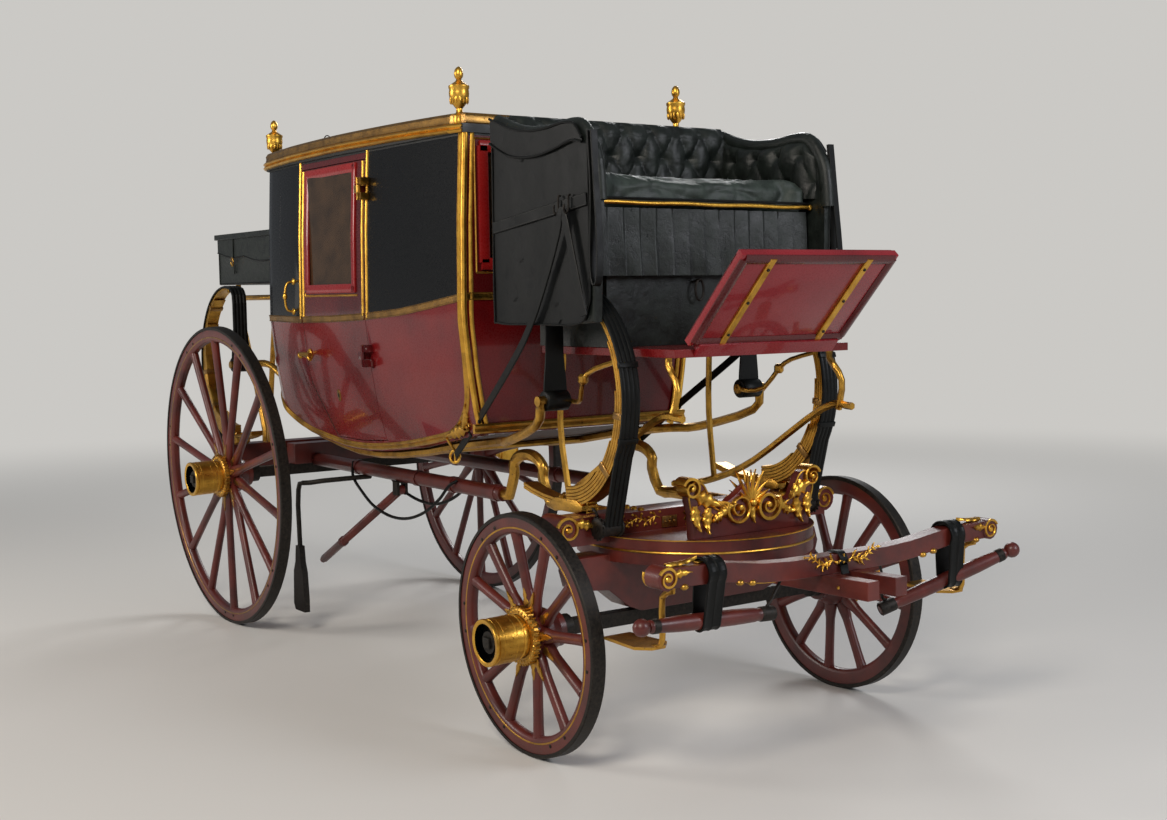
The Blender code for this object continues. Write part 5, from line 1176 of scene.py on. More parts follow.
def front_bars(section, *ends):
    """Bars on the front wall, each from one (y, z) to another."""
    return joined(*[strand([at(FRONT_X, y, z) for y, z in zip(span(y0, y1, 6), span(z0, z1, 6))], section, side=AHEAD)
                    for y0, z0, y1, z1 in ends])


wide_bar = [(-0.002, -0.024), (0.008, -0.024), (0.011, -0.019), (0.011, 0.019), (0.008, 0.024), (-0.002, 0.024)]
red_bars = front_bars(wide_bar, (-0.505, 1.835, 0.505, 1.835), (-0.505, 2.318, 0.505, 2.318),
                      (-0.490, 1.84, -0.490, 2.32), (0.490, 1.84, 0.490, 2.32))
piece("front_window_frame", red_bars, frame_red)
lines = front_bars(ridge_section(0.005, 0.009, 1), (-0.530, 1.800, 0.530, 1.800), (-0.528, 1.80, -0.528, 2.345),
                   (0.528, 1.80, 0.528, 2.345), (-0.530, 2.350, 0.530, 2.350))
piece("front_gilt_lines", joined(lines, front_bars(BELT_SECTION, (-0.585, 1.702, 0.585, 1.702))), old_gold)
sill = [(-0.004, -0.020), (0.012, -0.020), (0.018, -0.012), (0.010, 0.0), (0.016, 0.012), (0.010, 0.020),
        (-0.004, 0.020)]
piece("front_sill", front_bars(sill, (-0.560, 1.150, 0.560, 1.150)), old_gold)
print("front wall trimmed")

# %% Curtain
CURTAIN_X, CURTAIN_TOP, CURTAIN_LOW = 2.088, 2.318, 1.815


def curtain(y0, y1, folds, phase):
    """One width of wool, gathered on the rod: folds are tight at the top and open below."""
    def place(u, v):
        sway = noise.noise(Vector((u * 3.0, v * 1.5, phase))) * 0.5
        deep = 0.011 + 0.006 * (1 - v)
        fold = sin(2 * pi * (folds * u + 0.25 * sway * (1 - v)) + phase)
        return at(CURTAIN_X + deep * fold, y0 + (y1 - y0) * u + 0.006 * cos(2 * pi * folds * u),
                  CURTAIN_LOW + (CURTAIN_TOP - CURTAIN_LOW) * v)

    return skinned(folds * 8, 14, place, 0.0016)


for side, hand in SIDES:
    made = piece(f"curtain_{side}", curtain(hand * 0.455, hand * 0.10, 8, 0.7 * hand), curtain_wool)
rod = strand([at(CURTAIN_X, y, 2.326) for y in (-0.520, 0.520)], disc_section(0.006, 10))
piece("curtain_rod", rod, bright_gold)
print("curtain hung, two widths of", round(CURTAIN_TOP - CURTAIN_LOW, 3), "m")

# %% Urns, handles and lock
URN = ((0.0, -0.08), (0.62, -0.08), (0.66, -0.04), (0.60, 0.0), (0.64, 0.06), (0.50, 0.09), (0.35, 0.13),
       (0.33, 0.20), (0.52, 0.24), (0.88, 0.33), (1.03, 0.44), (1.05, 0.50), (1.0, 0.56), (1.08, 0.59),
       (1.08, 0.63), (0.88, 0.65), (0.58, 0.69), (0.34, 0.72), (0.27, 0.755), (0.44, 0.80), (0.48, 0.85),
       (0.44, 0.90), (0.38, 0.94), (0.22, 0.975), (0.0, 1.0))
URN_WIDE, URN_TALL = 0.040, 0.215


def gadroon():
    bead = ball((URN_WIDE * 0.90, 0, URN_TALL * 0.37), 0.009, (0.55, 0.62, 2.2), 8)
    return around(bead, 14)


for side, hand in SIDES:
    for end, x, y in (("front", 2.110, 0.5704), ("rear", 0.0535, 0.4836)):
        place = Matrix.Translation(at(x, hand * y, 2.428))
        urn = turned([(URN_WIDE * u, URN_TALL * v) for u, v in URN], facets=28)
        piece(f"urn_{end}_{side}", shifted(joined(urn, gadroon()), place), bright_gold)

    # A grab handle stands behind the door, the door's own handle and keyhole are on the door.
    low, out = skin(0.492, 1.640, hand)
    high, _ = skin(0.492, 1.790, hand)
    grip = flowing([low, low + out * 0.034 + UP * 0.012, (low + high) / 2 + out * 0.044,
                    high + out * 0.034 - UP * 0.012, high], 6)
    bulb = ball((low + high) / 2 + out * 0.044, 0.0115, (1, 1, 1.8), 12)
    plates = [shifted(turned([(0, 0), (0.018, 0), (0.016, 0.004), (0.009, 0.006), (0.006, 0.010), (0, 0.010)],
                             facets=16), facing(end_place, out)) for end_place in (low, high)]
    piece(f"grab_handle_{side}", joined(strand(grip, disc_section(0.0062, 10), side=out), bulb, *plates), bright_gold)
    door_body = body_of_node(f"door_{side}")
    root, out = skin(0.644, 1.430, hand)
    rose = shifted(turned([(0, 0), (0.026, 0), (0.027, 0.004), (0.018, 0.007), (0.014, 0.014), (0, 0.016)],
                          facets=20), facing(root, out))
    lever_root = root + out * 0.046
    lever_path = [lever_root + Vector((u, 0, w)) for u, w in ((0, 0), (0.03, 0.005), (0.07, -0.004), (0.098, -0.020))]
    lever = strand(flowing(lever_path, 5), disc_section(0.011, 10), side=UP,
                   sizes=[1.0, 1.05, 1.15, 1.2, 1.25, 1.25, 1.25, 1.2, 1.2, 1.15, 1.15, 1.1, 1.1, 1.05, 1.0, 0.8])
    knob = ball(lever_root + out * 0.006, 0.0165, facets=12)
    piece(f"door_handle_{side}", joined(rose, lever, knob), bright_gold, body=door_body)
    spot, out = skin(0.905, 1.235, hand)
    shield = plank(oval(0.030, 0.019, 20), facing(spot - out * 0.001, out, UP), 0.004, 0.002)
    # The keyhole is not cut: a thin black oval on the plate is painted shade for the dark of the hole.
    hole = plank(oval(0.012, 0.007, 12), facing(spot + out * 0.0029, out, UP), 0.0012)
    piece(f"keyhole_plate_{side}", shield, brown_gold, body=door_body)
    piece(f"keyhole_{side}", hole, japanned_black_and_hole_shade, body=door_body, slot="gilding")
print("body trim made")

# %% [markdown]
# ## The driving seat: leather that has been sat on
#
# The coachman's seat is a tub of black leather over a frame: two arms with broad flaps, a buttoned back, a
# long cushion and a pleated valance. The cushions are blown up by a cloth simulation, so that their creases
# come from real slack. `puffed` copies a padded solid, remeshes it evenly, simulates pressure, and keeps the
# result. A cap on how far a point may move keeps the cushion the size of the solid it stands for.

# %% Cushions by simulation
CLOTH_FRAMES = 20


def creased(mesh):
    """Narrow creases where old leather has folded: valleys along the zero lines of a noise."""
    bm = bmesh.new()
    bm.from_mesh(mesh)
    bm.normal_update()
    for vert in bm.verts:
        x, y, z = vert.co
        broad = abs(noise.noise(Vector((x * 7, y * 4.5, z * 11 + 3))))
        fine = abs(noise.noise(Vector((x * 17 + 5, y * 12, z * 15))))
        depth = 0.0080 * max(0.0, 1 - broad * 5) + 0.0045 * max(0.0, 1 - fine * 4)
        vert.co -= vert.normal * (depth + 0.004 * noise.noise(Vector((x * 5, y * 5, 9))))
    bmesh.ops.smooth_vert(bm, verts=bm.verts, factor=0.35, use_axis_x=True, use_axis_y=True, use_axis_z=True)
    bm.to_mesh(mesh)
    bm.free()


def puffed(name, node, finish, shrink, voxel, cap, pressure=4.0, corner=0.02):
    """Blow a padded solid up in cloth; `cap` is the farthest that any point may move."""
    low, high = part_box(node)
    low, high = low + Vector(shrink), high - Vector(shrink)
    bm = block(low, high, corner, 3)
    made = piece(name, bm, finish, (node,), body_of_node(node), slot_of_node(node))
    modifier = made.modifiers.new("even_mesh", "REMESH")
    modifier.mode = "VOXEL"
    modifier.voxel_size = voxel
    bpy.context.view_layer.objects.active = made
    bpy.context.view_layer.update()
    even_mesh = bpy.data.meshes.new_from_object(made.evaluated_get(bpy.context.evaluated_depsgraph_get()))
    made.modifiers.clear()
    made.data = even_mesh
    start = [vert.co.copy() for vert in even_mesh.vertices]
    cloth = made.modifiers.new("cloth", "CLOTH")
    cloth.settings.use_pressure = True
    cloth.settings.uniform_pressure_force = pressure
    cloth.settings.shrink_min = -0.12
    cloth.settings.tension_stiffness = 8
    cloth.settings.compression_stiffness = 8
    cloth.settings.bending_stiffness = 0.4
    cloth.settings.effector_weights.gravity = 0
    cloth.point_cache.frame_start = 1
    cloth.point_cache.frame_end = CLOTH_FRAMES
    for moment in range(1, CLOTH_FRAMES + 1):
        bpy.context.scene.frame_set(moment)
    blown = bpy.data.meshes.new_from_object(made.evaluated_get(bpy.context.evaluated_depsgraph_get()))
    made.modifiers.clear()
    for vert, before in zip(blown.vertices, start):
        move = vert.co - before
        if move.length > cap:
            vert.co = before + move * (cap / move.length)
    made.data = blown
    bpy.context.scene.frame_set(1)
    creased(made.data)
    made.data.materials.clear()
    made.data.materials.append(finish)
    made.data.shade_smooth()
    return made


seat = puffed("seat_cushion_leather", "seat_cushion", cushion_leather, (0.010, 0.012, 0.010), 0.010, 0.024, 7.0, 0.028)
puffed("bench_cushion_cloth", "bench_cushion", cushion_leather, (0.012, 0.014, 0.008), 0.016, 0.012)
print("seat cushion:", len(seat.data.polygons), "faces")

# %% [markdown]
# ## Arms and flaps of the seat
#
# Each arm is a board padded to a soft edge. Over it hang two layers of thick leather: a short collar with a
# rolled hem, and the long flap below. A stitched band crosses the flap and carries two iron hooks, and a
# stirrup of strap hangs at the front. The sheets are grids cut to shape, with a little sway.

# %% Lines of arm, flap and straps
ARM_TOP = ((2.402, 2.392), (2.460, 2.372), (2.520, 2.350), (2.610, 2.328), (2.705, 2.318), (2.800, 2.318),
           (2.882, 2.326), (2.940, 2.326), (2.984, 2.314), (3.030, 2.262))
COLLAR_LOW = ((2.402, 2.300), (2.457, 2.272), (2.540, 2.240), (2.640, 2.226), (2.745, 2.226), (2.850, 2.240),
              (2.963, 2.262), (3.030, 2.250))
FLAP_LOW = ((2.402, 1.600), (2.438, 1.592), (2.560, 1.590), (2.900, 1.592), (3.000, 1.598), (3.040, 1.640),
            (3.062, 1.720))
FLAP_EDGE = ((2.408, 0.602, 2.30), (2.406, 0.602, 2.0), (2.406, 0.603, 1.64), (2.440, 0.604, 1.594),
             (2.700, 0.604, 1.591), (2.980, 0.604, 1.594), (3.044, 0.604, 1.650), (3.060, 0.603, 1.760),
             (3.058, 0.603, 2.240))
STIRRUP = ((3.062, 0.596, 2.290), (3.082, 0.600, 2.060), (3.078, 0.603, 1.860), (3.084, 0.606, 1.770),
           (3.100, 0.606, 1.735), (3.118, 0.604, 1.765), (3.114, 0.598, 1.900), (3.096, 0.594, 2.080),
           (3.076, 0.590, 2.290))
HOOK = ((0.606, 2.066), (0.616, 2.060), (0.617, 2.015), (0.628, 1.998), (0.637, 2.012), (0.635, 2.030))
BAND_BACK, BAND_LONG, BAND_LOW, BAND_RISE = 2.410, 0.640, 1.968, 0.078
STITCHES, STITCH_EVERY = 46, 0.0136


print("arm profile from", ARM_TOP[0], "to", ARM_TOP[-1])

# %% The two arms


def sheet_of(x0, x1, top, low, y, hand, sway, seed, across=30, down=34, thick=0.004):
    """A sheet of leather on the outside of the arm, between two curves, a little wavy."""
    def place(u, v):
        x = x0 + (x1 - x0) * u
        high, base = top(x), low(x)
        z = base + (high - base) * v
        free = (1 - v) ** 1.3
        wave = noise.noise(Vector((x * 5.0, z * 2.2, seed))) + 0.4 * noise.noise(Vector((x * 13.0, z * 6.0, seed)))
        return at(x, hand * (y + sway * (0.35 + 0.65 * free) * wave), z)

    return skinned(across, down, place, thick)


for side, hand in SIDES:
    outline = [*ARM_TOP, (3.066, 2.180), (3.082, 2.040), (3.080, 1.900), (3.066, 1.760), (3.058, 1.600),
               (2.960, 1.594), (2.700, 1.598), (2.420, 1.602), (2.402, 1.620)]
    arm = plank(outline, upended(at(0, hand * 0.550, 0), hand), 0.040, 0.014, 4)
    over = [at(x, hand * 0.568, z - 0.006) for x, z in ARM_TOP]
    roll_path = flowing(over + places(((3.066, 0.568, 2.180), (3.080, 0.568, 2.040)), hand), 3)
    roll = strand(roll_path, disc_section(0.026, 12, 1.15), side=ACROSS)
    piece(f"seat_arm_{side}", joined(arm, roll), seat_leather, ("seat_tub",))
    flap = sheet_of(2.404, 3.060, lambda x: between(ARM_TOP, x) - 0.010, lambda x: between(FLAP_LOW, x),
                    0.5985, hand, 0.0045, 3.1 + hand)
    collar = sheet_of(2.402, 3.028, lambda x: between(ARM_TOP, x) + 0.004, lambda x: between(COLLAR_LOW, x),
                      0.6065, hand, 0.0015, 7.7 + hand, down=10, thick=0.005)
    made = piece(f"seat_flap_{side}", flap, strap_leather)
    made = piece(f"seat_collar_{side}", collar, strap_leather)
    hems = []
    for table, y, radius in ((COLLAR_LOW, 0.610, 0.0048), (ARM_TOP, 0.609, 0.0052)):
        path = flowing([at(x, hand * y, z + (0.004 if table is ARM_TOP else 0)) for x, z in table], 3)
        hems.append(strand(path, disc_section(radius, 8), side=ACROSS))
    edge = flowing(places(FLAP_EDGE, hand), 5)
    hems.append(strand(edge, disc_section(0.0040, 8), side=ACROSS))
    piece(f"seat_piping_{side}", joined(*hems), strap_leather)
    band_path = [at(BAND_BACK + BAND_LONG * i / 12, hand * (0.603 + 0.0012 * sin(i * 1.7)),
                    BAND_LOW + BAND_RISE * i / 12) for i in range(13)]
    band = strand(band_path, band_section(0.004, 0.046, 0.0015), side=ACROSS * hand)
    stitches = []
    for edge_up in (0.019, -0.019):
        for i in range(STITCHES):
            x = 2.420 + STITCH_EVERY * i
            z = BAND_LOW + BAND_RISE * (x - BAND_BACK) / BAND_LONG + edge_up
            stitches.append(block(at(x, hand * 0.6072 - 0.0007, z - 0.0006),
                                  at(x + 0.007, hand * 0.6072 + 0.0007, z + 0.0008)))
    piece(f"seat_band_{side}", band, strap_leather)
    piece(f"seat_stitches_{side}", joined(*stitches), thread)
    hooks = [strand(flowing([at(x, hand * y, z) for y, z in HOOK], 4), disc_section(0.0042, 8), side=AHEAD)
             for x in (2.885, 2.950)]
    piece(f"seat_hooks_{side}", joined(*hooks), iron)
    stirrup = flowing(places(STIRRUP, hand), 5)
    piece(f"seat_stirrup_{side}", strand(stirrup, band_section(0.005, 0.030, 0.0015), side=AHEAD), strap_leather)
print("arms made, each with", len(stitches), "stitches")

# %% [markdown]
# ## The buttoned back, the valance and the rail
#
# The back is quilted: buttons pull the leather down in a lattice, and the stuffing rises between them. The
# valance is one long strip laid in box pleats and nailed under the deck. A gilt rail hides the nails.

# %% Buttoned back
BACK_LOW, BACK_HIGH, BACK_HALF = 2.100, 2.398, 0.545
BUTTON_ACROSS, BUTTON_UP = 0.136, 0.118
FIRST_ROW = BACK_LOW + 0.045
buttons = [((column + 0.5 * (row % 2)) * BUTTON_ACROSS, FIRST_ROW + row * BUTTON_UP)
           for row in range(-1, 4) for column in range(-6, 7)]


def quilted(y, z):
    """Height of the stuffing: 0 at a button, 1 between them, with creases along the lattice."""
    u, w = y / BUTTON_ACROSS, (z - FIRST_ROW) / BUTTON_UP
    wander = 0.10 * noise.noise(Vector((y * 7, z * 7, 9.0)))
    puff = (abs(sin(pi * (u + w / 2 + wander))) * abs(sin(pi * (u - w / 2 - wander)))) ** 0.38
    near = min(hypot(u - by / BUTTON_ACROSS, w - (bz - FIRST_ROW) / BUTTON_UP) for by, bz in buttons)
    return (0.45 + 0.55 * puff) * min(1.0, near * 3.2) ** 0.6


def back_cushion():
    def place(u, v):
        y = (u - 0.5) * 2 * BACK_HALF
        z = BACK_LOW - 0.03 + (BACK_HIGH - BACK_LOW + 0.03) * v
        edge = min(1.0, (1 - v) * 7.0) ** 0.5
        rumple = 0.006 * noise.noise(Vector((y * 16, z * 20, 2.0))) + 0.003 * noise.noise(Vector((y * 45, z * 38, 5.0)))
        return at(2.452 + 0.044 * quilted(y, z) * edge + rumple, y, z)

    return skinned(110, 34, place, -0.012)


back_board = block(at(2.402, -0.566, 1.984), at(2.446, 0.566, 2.392), 0.010)
deck_board = block(at(2.444, -0.566, 1.981), at(2.978, 0.566, 2.018), 0.006)
top_roll = strand([at(2.438 + 0.004 * noise.noise(Vector((i * 0.7, 0, 0))), -0.560 + 1.12 * i / 24,
                      2.374 + 0.006 * noise.noise(Vector((i * 0.5, 3, 0)))) for i in range(25)],
                  disc_section(0.030, 14), side=UP)
piece("seat_back_frame", joined(back_board, deck_board, top_roll), seat_leather, ("seat_tub",))
made = piece("seat_back_buttoned", back_cushion(), seat_leather, smooth=radians(60))
studs = [ball(at(2.456, y, z), 0.0085, (0.55, 1, 1), 10) for y, z in buttons
         if abs(y) < BACK_HALF - 0.02 and BACK_LOW < z < BACK_HIGH - 0.05]
piece("seat_back_buttons", joined(*studs), strap_leather)
print("back made with", len(studs), "buttons")

# %% Buttoned pads inside the arms
PAD_LOW, PAD_BACK, PAD_FRONT, PAD_MIDDLE = 2.085, 2.470, 3.036, 2.752


def arm_pad(hand):
    def place(u, v):
        x = PAD_BACK + (PAD_FRONT - PAD_BACK) * u
        z = PAD_LOW + (between(ARM_TOP, x) - 0.016 - PAD_LOW) * v
        edge = min(1.0, (1 - v) * 6.0, 0.2 + u * 8.0, (1 - u) * 8.0) ** 0.5
        rumple = 0.005 * noise.noise(Vector((x * 16, z * 20, 4.0 + hand)))
        return at(x, hand * (0.549 - 0.036 * quilted(x - PAD_MIDDLE, z) * edge - rumple), z)

    return skinned(64, 30, place, 0.010)


for side, hand in SIDES:
    made = piece(f"seat_arm_pad_{side}", arm_pad(hand), seat_leather, smooth=radians(60))
    studs = [ball(at(x + PAD_MIDDLE, hand * 0.545, z), 0.0085, (1, 0.55, 1), 10) for x, z in buttons
             if abs(x) < 0.26 and PAD_LOW < z < between(ARM_TOP, x + PAD_MIDDLE) - 0.05]
    piece(f"seat_arm_buttons_{side}", joined(*studs), strap_leather)
print("arm pads made")

# %% Valance, rail and seat box
PLEAT, VALANCE_HALF, VALANCE_LOW, VALANCE_TOP = 0.0775, 0.537, 1.771, 2.022


def valance():
    """Box pleats: each fold opens toward the hem, and no two hang quite alike."""
    def place(u, v):
        y = (u - 0.5) * 2 * VALANCE_HALF
        z = VALANCE_LOW + (VALANCE_TOP - VALANCE_LOW) * v
        share = (y / PLEAT) % 1.0
        fold = min(share * 1.15, 1.0) if share < 0.87 else 1.0 - (share - 0.87) / 0.13
        open_out = 0.55 + 0.45 * (1 - v)
        drift = 0.010 * (1 - v) * noise.noise(Vector((y * 4, 0, 1.0)))
        return at(2.980 + 0.024 * fold * open_out + 0.005 * noise.noise(Vector((y * 9, z * 7, 4))), y + drift, z)

    return skinned(196, 16, place, 0.0022)


made = piece("seat_valance_pleated", valance(), seat_leather, ("seat_valance",), smooth=radians(55))
rail = strand([at(3.004, -0.540 + 1.08 * i / 20, 2.040 + 0.0015 * sin(i)) for i in range(21)], disc_section(0.0085, 12))
ends = [ball(at(3.004, hand * 0.542, 2.040), 0.013, facets=12) for _, hand in SIDES]
welt = strand([at(3.000, y, 2.056) for y in span(-0.536, 0.536, 20)], disc_section(0.005, 8))
piece("seat_rail", joined(rail, *ends), bright_gold)
piece("seat_welt", welt, strap_leather)


def draped_box():
    """The box under the seat is covered with loose leather that hangs in soft folds."""
    low, high = at(2.480, -0.440, 1.501), at(2.940, 0.440, 1.979)
    bm = block(low, high)
    bmesh.ops.subdivide_edges(bm, edges=bm.edges[:], cuts=22, use_grid_fill=True)
    for vert in bm.verts:
        v = (vert.co.z - low.z) / (high.z - low.z)
        fold = 0.006 * noise.noise(Vector((vert.co.y * 7, vert.co.x * 7, v * 1.2))) - 0.004
        if abs(vert.co.x - high.x) < 1e-4:
            vert.co.x += fold * 1.6
        if abs(abs(vert.co.y) - high.y) < 1e-4:
            vert.co.y += (1 if vert.co.y > 0 else -1) * fold
    return bm


print("valance made with", round(2 * VALANCE_HALF / PLEAT), "pleats")
piece("seat_box_leather", draped_box(), seat_leather, ("seat_box",), smooth=radians(50))
ring = strand([at(2.966, -0.011 + y, 1.712 + z) for y, z in oval(0.020, 0.040, 28)], disc_section(0.0048, 8),
              side=AHEAD, loop=True)
staple = strand(flowing(places(((2.934, -0.020, 1.744), (2.968, -0.018, 1.752), (2.968, -0.004, 1.752),
                                (2.934, -0.002, 1.744))), 4), disc_section(0.0045, 8))
piece("seat_grab_ring", joined(ring, staple), iron)
print("driving seat made")

# %% [markdown]
# ## The footboard
#
# The coachman's feet brace against a lacquered board with a raised moulding round it. Two gilt straps with
# nail slots run down its face. The board leans back over the toe floor on its hooks.

# %% Footboard
FOOT_LOW, FOOT_HIGH, FOOT_HALF = (3.345, 1.512), (3.640, 1.825), 0.380


def board_place():
    lean = Vector((FOOT_HIGH[0] - FOOT_LOW[0], 0, FOOT_HIGH[1] - FOOT_LOW[1]))
    along = lean.normalized()
    turn = Matrix((ACROSS, along, ACROSS.cross(along))).transposed().to_4x4()
    return Matrix.Translation(at(FOOT_LOW[0], 0, FOOT_LOW[1])) @ turn, lean.length


board_matrix, board_length = board_place()
out_axis = (board_matrix.to_3x3() @ UP).normalized()
print("footboard faces", [round(v, 2) for v in out_axis], "length", round(board_length, 3))

# %% [markdown]
# ## Footboard trim
#
# The frame of the board is a moulding mitred at its corners; the straps are flat brass with a round end.

# %% Footboard moulding and straps
board_stock = plank([(-FOOT_HALF, 0.0), (FOOT_HALF, 0.0), (FOOT_HALF, board_length), (-FOOT_HALF, board_length)],
                    board_matrix @ Matrix.Translation((0, 0, -0.030)), 0.030, 0.004)
hook_outline = [(3.3303, 1.470), (3.366, 1.512), (3.345, 1.533), (3.3303, 1.515)]
hook_board = plank(hook_outline, upended(at(0, 0.342, 0), RIGHT), 0.684, 0.002)
piece("footboard_panel", joined(board_stock, hook_board), footboard_red, ("footboard",))


def on_board(u, v, out):
    return board_matrix @ Vector((u, v, out))


bars = []
section = ridge_section(0.009, 0.040, 1)
top_v = board_length - 0.020
for u0, v0, u1, v1 in ((-0.362, 0.018, 0.362, 0.018), (-0.362, top_v, 0.362, top_v), (-0.360, 0.020, -0.360, top_v),
                       (0.360, 0.020, 0.360, top_v)):
    for out, direction in ((-0.0295, -1), (-0.0005, 1)):
        path = [on_board(u, v, out) for u, v in zip(span(u0, u1, 4), span(v0, v1, 4))]
        bars.append(strand(path, section, side=out_axis * direction))
piece("footboard_moulding", joined(*bars), dark_crimson)
straps, slots = [], []
for u in (-0.235, 0.235):
    for out, direction in ((-0.0290, -1), (-0.0010, 1)):
        path = [on_board(u, 0.010 + (board_length - 0.022) * i / 6, out) for i in range(7)]
        straps.append(strand(path, band_section(0.011, 0.030, 0.003), side=out_axis * direction))
    for v in (0.06, 0.215, 0.370):
        for out in (-0.0400, 0.0100):
            slots.append(ball(on_board(u, v, out), 0.0065, (1, 1, 1), 10))
piece("footboard_straps", joined(*straps), bright_gold)
piece("footboard_studs", joined(*slots), iron)
print("footboard trimmed with", len(straps), "straps")

# %% [markdown]
# ## C-springs in leaves
#
# A C-spring is a pack of steel leaves bent round the same centre, each shorter than the one outside it, so
# that the spring is strongest at its foot. Here every leaf is its own strand, ends thinned as a smith
# draws them out. Iron clips hold the pack, and a cast block carries it on its bed.

# %% Spring leaves
SPRING_RX, SPRING_RZ, LEAF = 0.370, 0.420, 0.013
LEAF_ENDS = (96, 62, 34, 6, -24, -52)
SPRINGS = (("front", 2.785, 0.500, 1.312, 1, 0.8733), ("rear", -0.410, 0.565, 1.350, -1, 0.905))


def on_spring(x, y, z, ahead_sign, turn, inset):
    """A place on the curve of a spring, so far inside its back."""
    return at(x + ahead_sign * (SPRING_RX - inset) * cos(turn), y, z + (SPRING_RZ - inset) * sin(turn))


def leaf_of(x, y, z, ahead_sign, number):
    """One leaf of the pack; the two outer ones run back along the block first."""
    inset = LEAF * (number + 0.5)
    last = LEAF_ENDS[number]
    path, sides = [], []
    if number < 2:
        for back, rise in ((0.300, 0.040), (0.240, 0.024), (0.160, 0.009), (0.080, 0.001)):
            path.append(at(x - ahead_sign * back, y, z - SPRING_RZ + rise + inset))
            sides.append(-UP)
    for degrees in span(-90, last, max(10, (last + 90) // 4)):
        turn = radians(degrees)
        path.append(on_spring(x, y, z, ahead_sign, turn, inset))
        sides.append(in_side_view(turn, ahead_sign))
    section = [(-0.0060, -0.031), (-0.0048, -0.033), (0.0048, -0.033), (0.0062, -0.030), (0.0062, 0.030),
               (0.0048, 0.033), (-0.0048, 0.033), (-0.0060, 0.031)]
    sizes = [(1.0, 1.0)] * len(path)
    for back, thin in ((1, 0.35), (2, 0.7), (3, 0.9)):
        sizes[-back] = (thin, 1.0)
    return strand(path, section, side=sides, sizes=sizes)


def round_spring(made, x, y, z, ahead_sign, turn, inset):
    """Lay a clip across the pack: its x points out of the spring and its z along it."""
    along = Vector((-ahead_sign * sin(turn), 0, cos(turn)))
    return shifted(made, facing(on_spring(x, y, z, ahead_sign, turn, inset), along, in_side_view(turn, ahead_sign)))


def clip_of(x, y, z, ahead_sign, degrees, leaves):
    """An iron clip round the pack at one angle."""
    turn = radians(degrees)
    half = LEAF * leaves / 2
    made = block((-half - 0.004, -0.0375, -0.013), (half + 0.0045, 0.0375, 0.013), 0.003)
    return round_spring(made, x, y, z, ahead_sign, turn, half)


for end, x, y, z, ahead_sign, foot in SPRINGS:
    for side, hand in SIDES:
        leaves = [leaf_of(x, hand * y, z, ahead_sign, number) for number in range(len(LEAF_ENDS))]
        piece(f"{end}_spring_leaves_{side}", joined(*leaves), old_gold, (f"{end}_spring_{side}",), smooth=radians(30))
        bottom = z - SPRING_RZ
        outline = [(-0.074, foot), (0.074, foot), (0.110, bottom - 0.0065), (0.110, bottom + 0.012),
                   (0.070, bottom + 0.030), (-0.070, bottom + 0.030), (-0.110, bottom + 0.012),
                   (-0.110, bottom - 0.0065)]
        foot_block = plank(outline, upended(at(x, hand * y + 0.038, 0), RIGHT), 0.076, 0.004)
        tip = on_spring(x, hand * y, z, ahead_sign, radians(LEAF_ENDS[0]), LEAF)
        curl = turned([(0, -0.036), (0.008, -0.036), (0.0115, -0.032), (0.0115, 0.032), (0.008, 0.036), (0, 0.036)],
                      facing(tip, ACROSS, UP), 16)
        bolts = [shifted(turned([(0, 0), (0.011, 0), (0.011, 0.006), (0.008, 0.009), (0, 0.010)], facets=6),
                         Matrix.Translation(at(x + u, hand * y + v, bottom + 0.030))) for u in (-0.045, 0.045)
                 for v in (-0.024, 0.024)]
        piece(f"{end}_spring_block_{side}", joined(foot_block, curl, *bolts), old_gold, (f"{end}_spring_{side}",))
        clips = [clip_of(x, hand * y, z, ahead_sign, *spot) for spot in ((50, 2), (-8, 4), (-42, 5))]
        piece(f"{end}_spring_clips_{side}", joined(*clips), brown_gold)
print("springs made of", len(LEAF_ENDS), "leaves each")

# %% [markdown]
# ## Leather braces
#
# The body hangs in leather: a thick strap runs from a ratchet drum at the foot of each spring, round its
# back, over the top, and down to a roller on the body's iron. It is four thicknesses stitched in rows,
# which shows as ribs, and it widens where it takes the roller.

# %% Braces, drums and rollers
BRACES = {"front": (1.292, 3.0063, 0.833, -34), "rear": (1.350, -0.5013, 0.851, -52)}
# The strap lies this far outside the spring's back, and falls this far behind the spring's middle.
BRACE_OUT, FALL_BACK = 0.0066, 0.115
# Four ribs: the end of one and the start of the next are one point, so each but the first starts a step later.
RIBBED = [(-0.006, -0.040)]
for rib in range(4):
    for step in range(1 if rib else 0, 5):
        RIBBED.append((0.0020 + 0.0040 * sin(pi * step / 4) ** 0.8, -0.040 + 0.020 * (rib + step / 4)))
RIBBED.append((-0.006, 0.040))


def brace_of(x, y, z, ahead_sign, roller_z, drum_x, drum_z, meets):
    path = [at(drum_x + ahead_sign * 0.036, y, drum_z + 0.011)]
    sides = [AHEAD * ahead_sign]
    for degrees in range(meets + 4, 97, 5):
        turn = radians(degrees)
        path.append(on_spring(x, y, z, ahead_sign, turn, -BRACE_OUT))
        sides.append(in_side_view(turn, ahead_sign))
    fall = x - ahead_sign * FALL_BACK
    crown = z + SPRING_RZ
    for u, v, lean in ((0.040, -0.004, 70), (0.022, -0.018, 50), (0.006, -0.040, 25), (0.0, -0.085, 5)):
        path.append(at(fall + ahead_sign * u, y, crown + v))
        sides.append(in_side_view(radians(lean), -ahead_sign))
    for height in span(crown - 0.085, roller_z + 0.030, 8)[1:]:
        path.append(at(fall, y, height))
        sides.append(AHEAD * -ahead_sign)
    sizes = [(1.0, 1.0)] * (len(path) - 4) + [(1.0, 1.08), (1.0, 1.18), (1.0, 1.28), (1.0, 1.34)]
    return strand(path, RIBBED, side=sides, sizes=sizes), fall


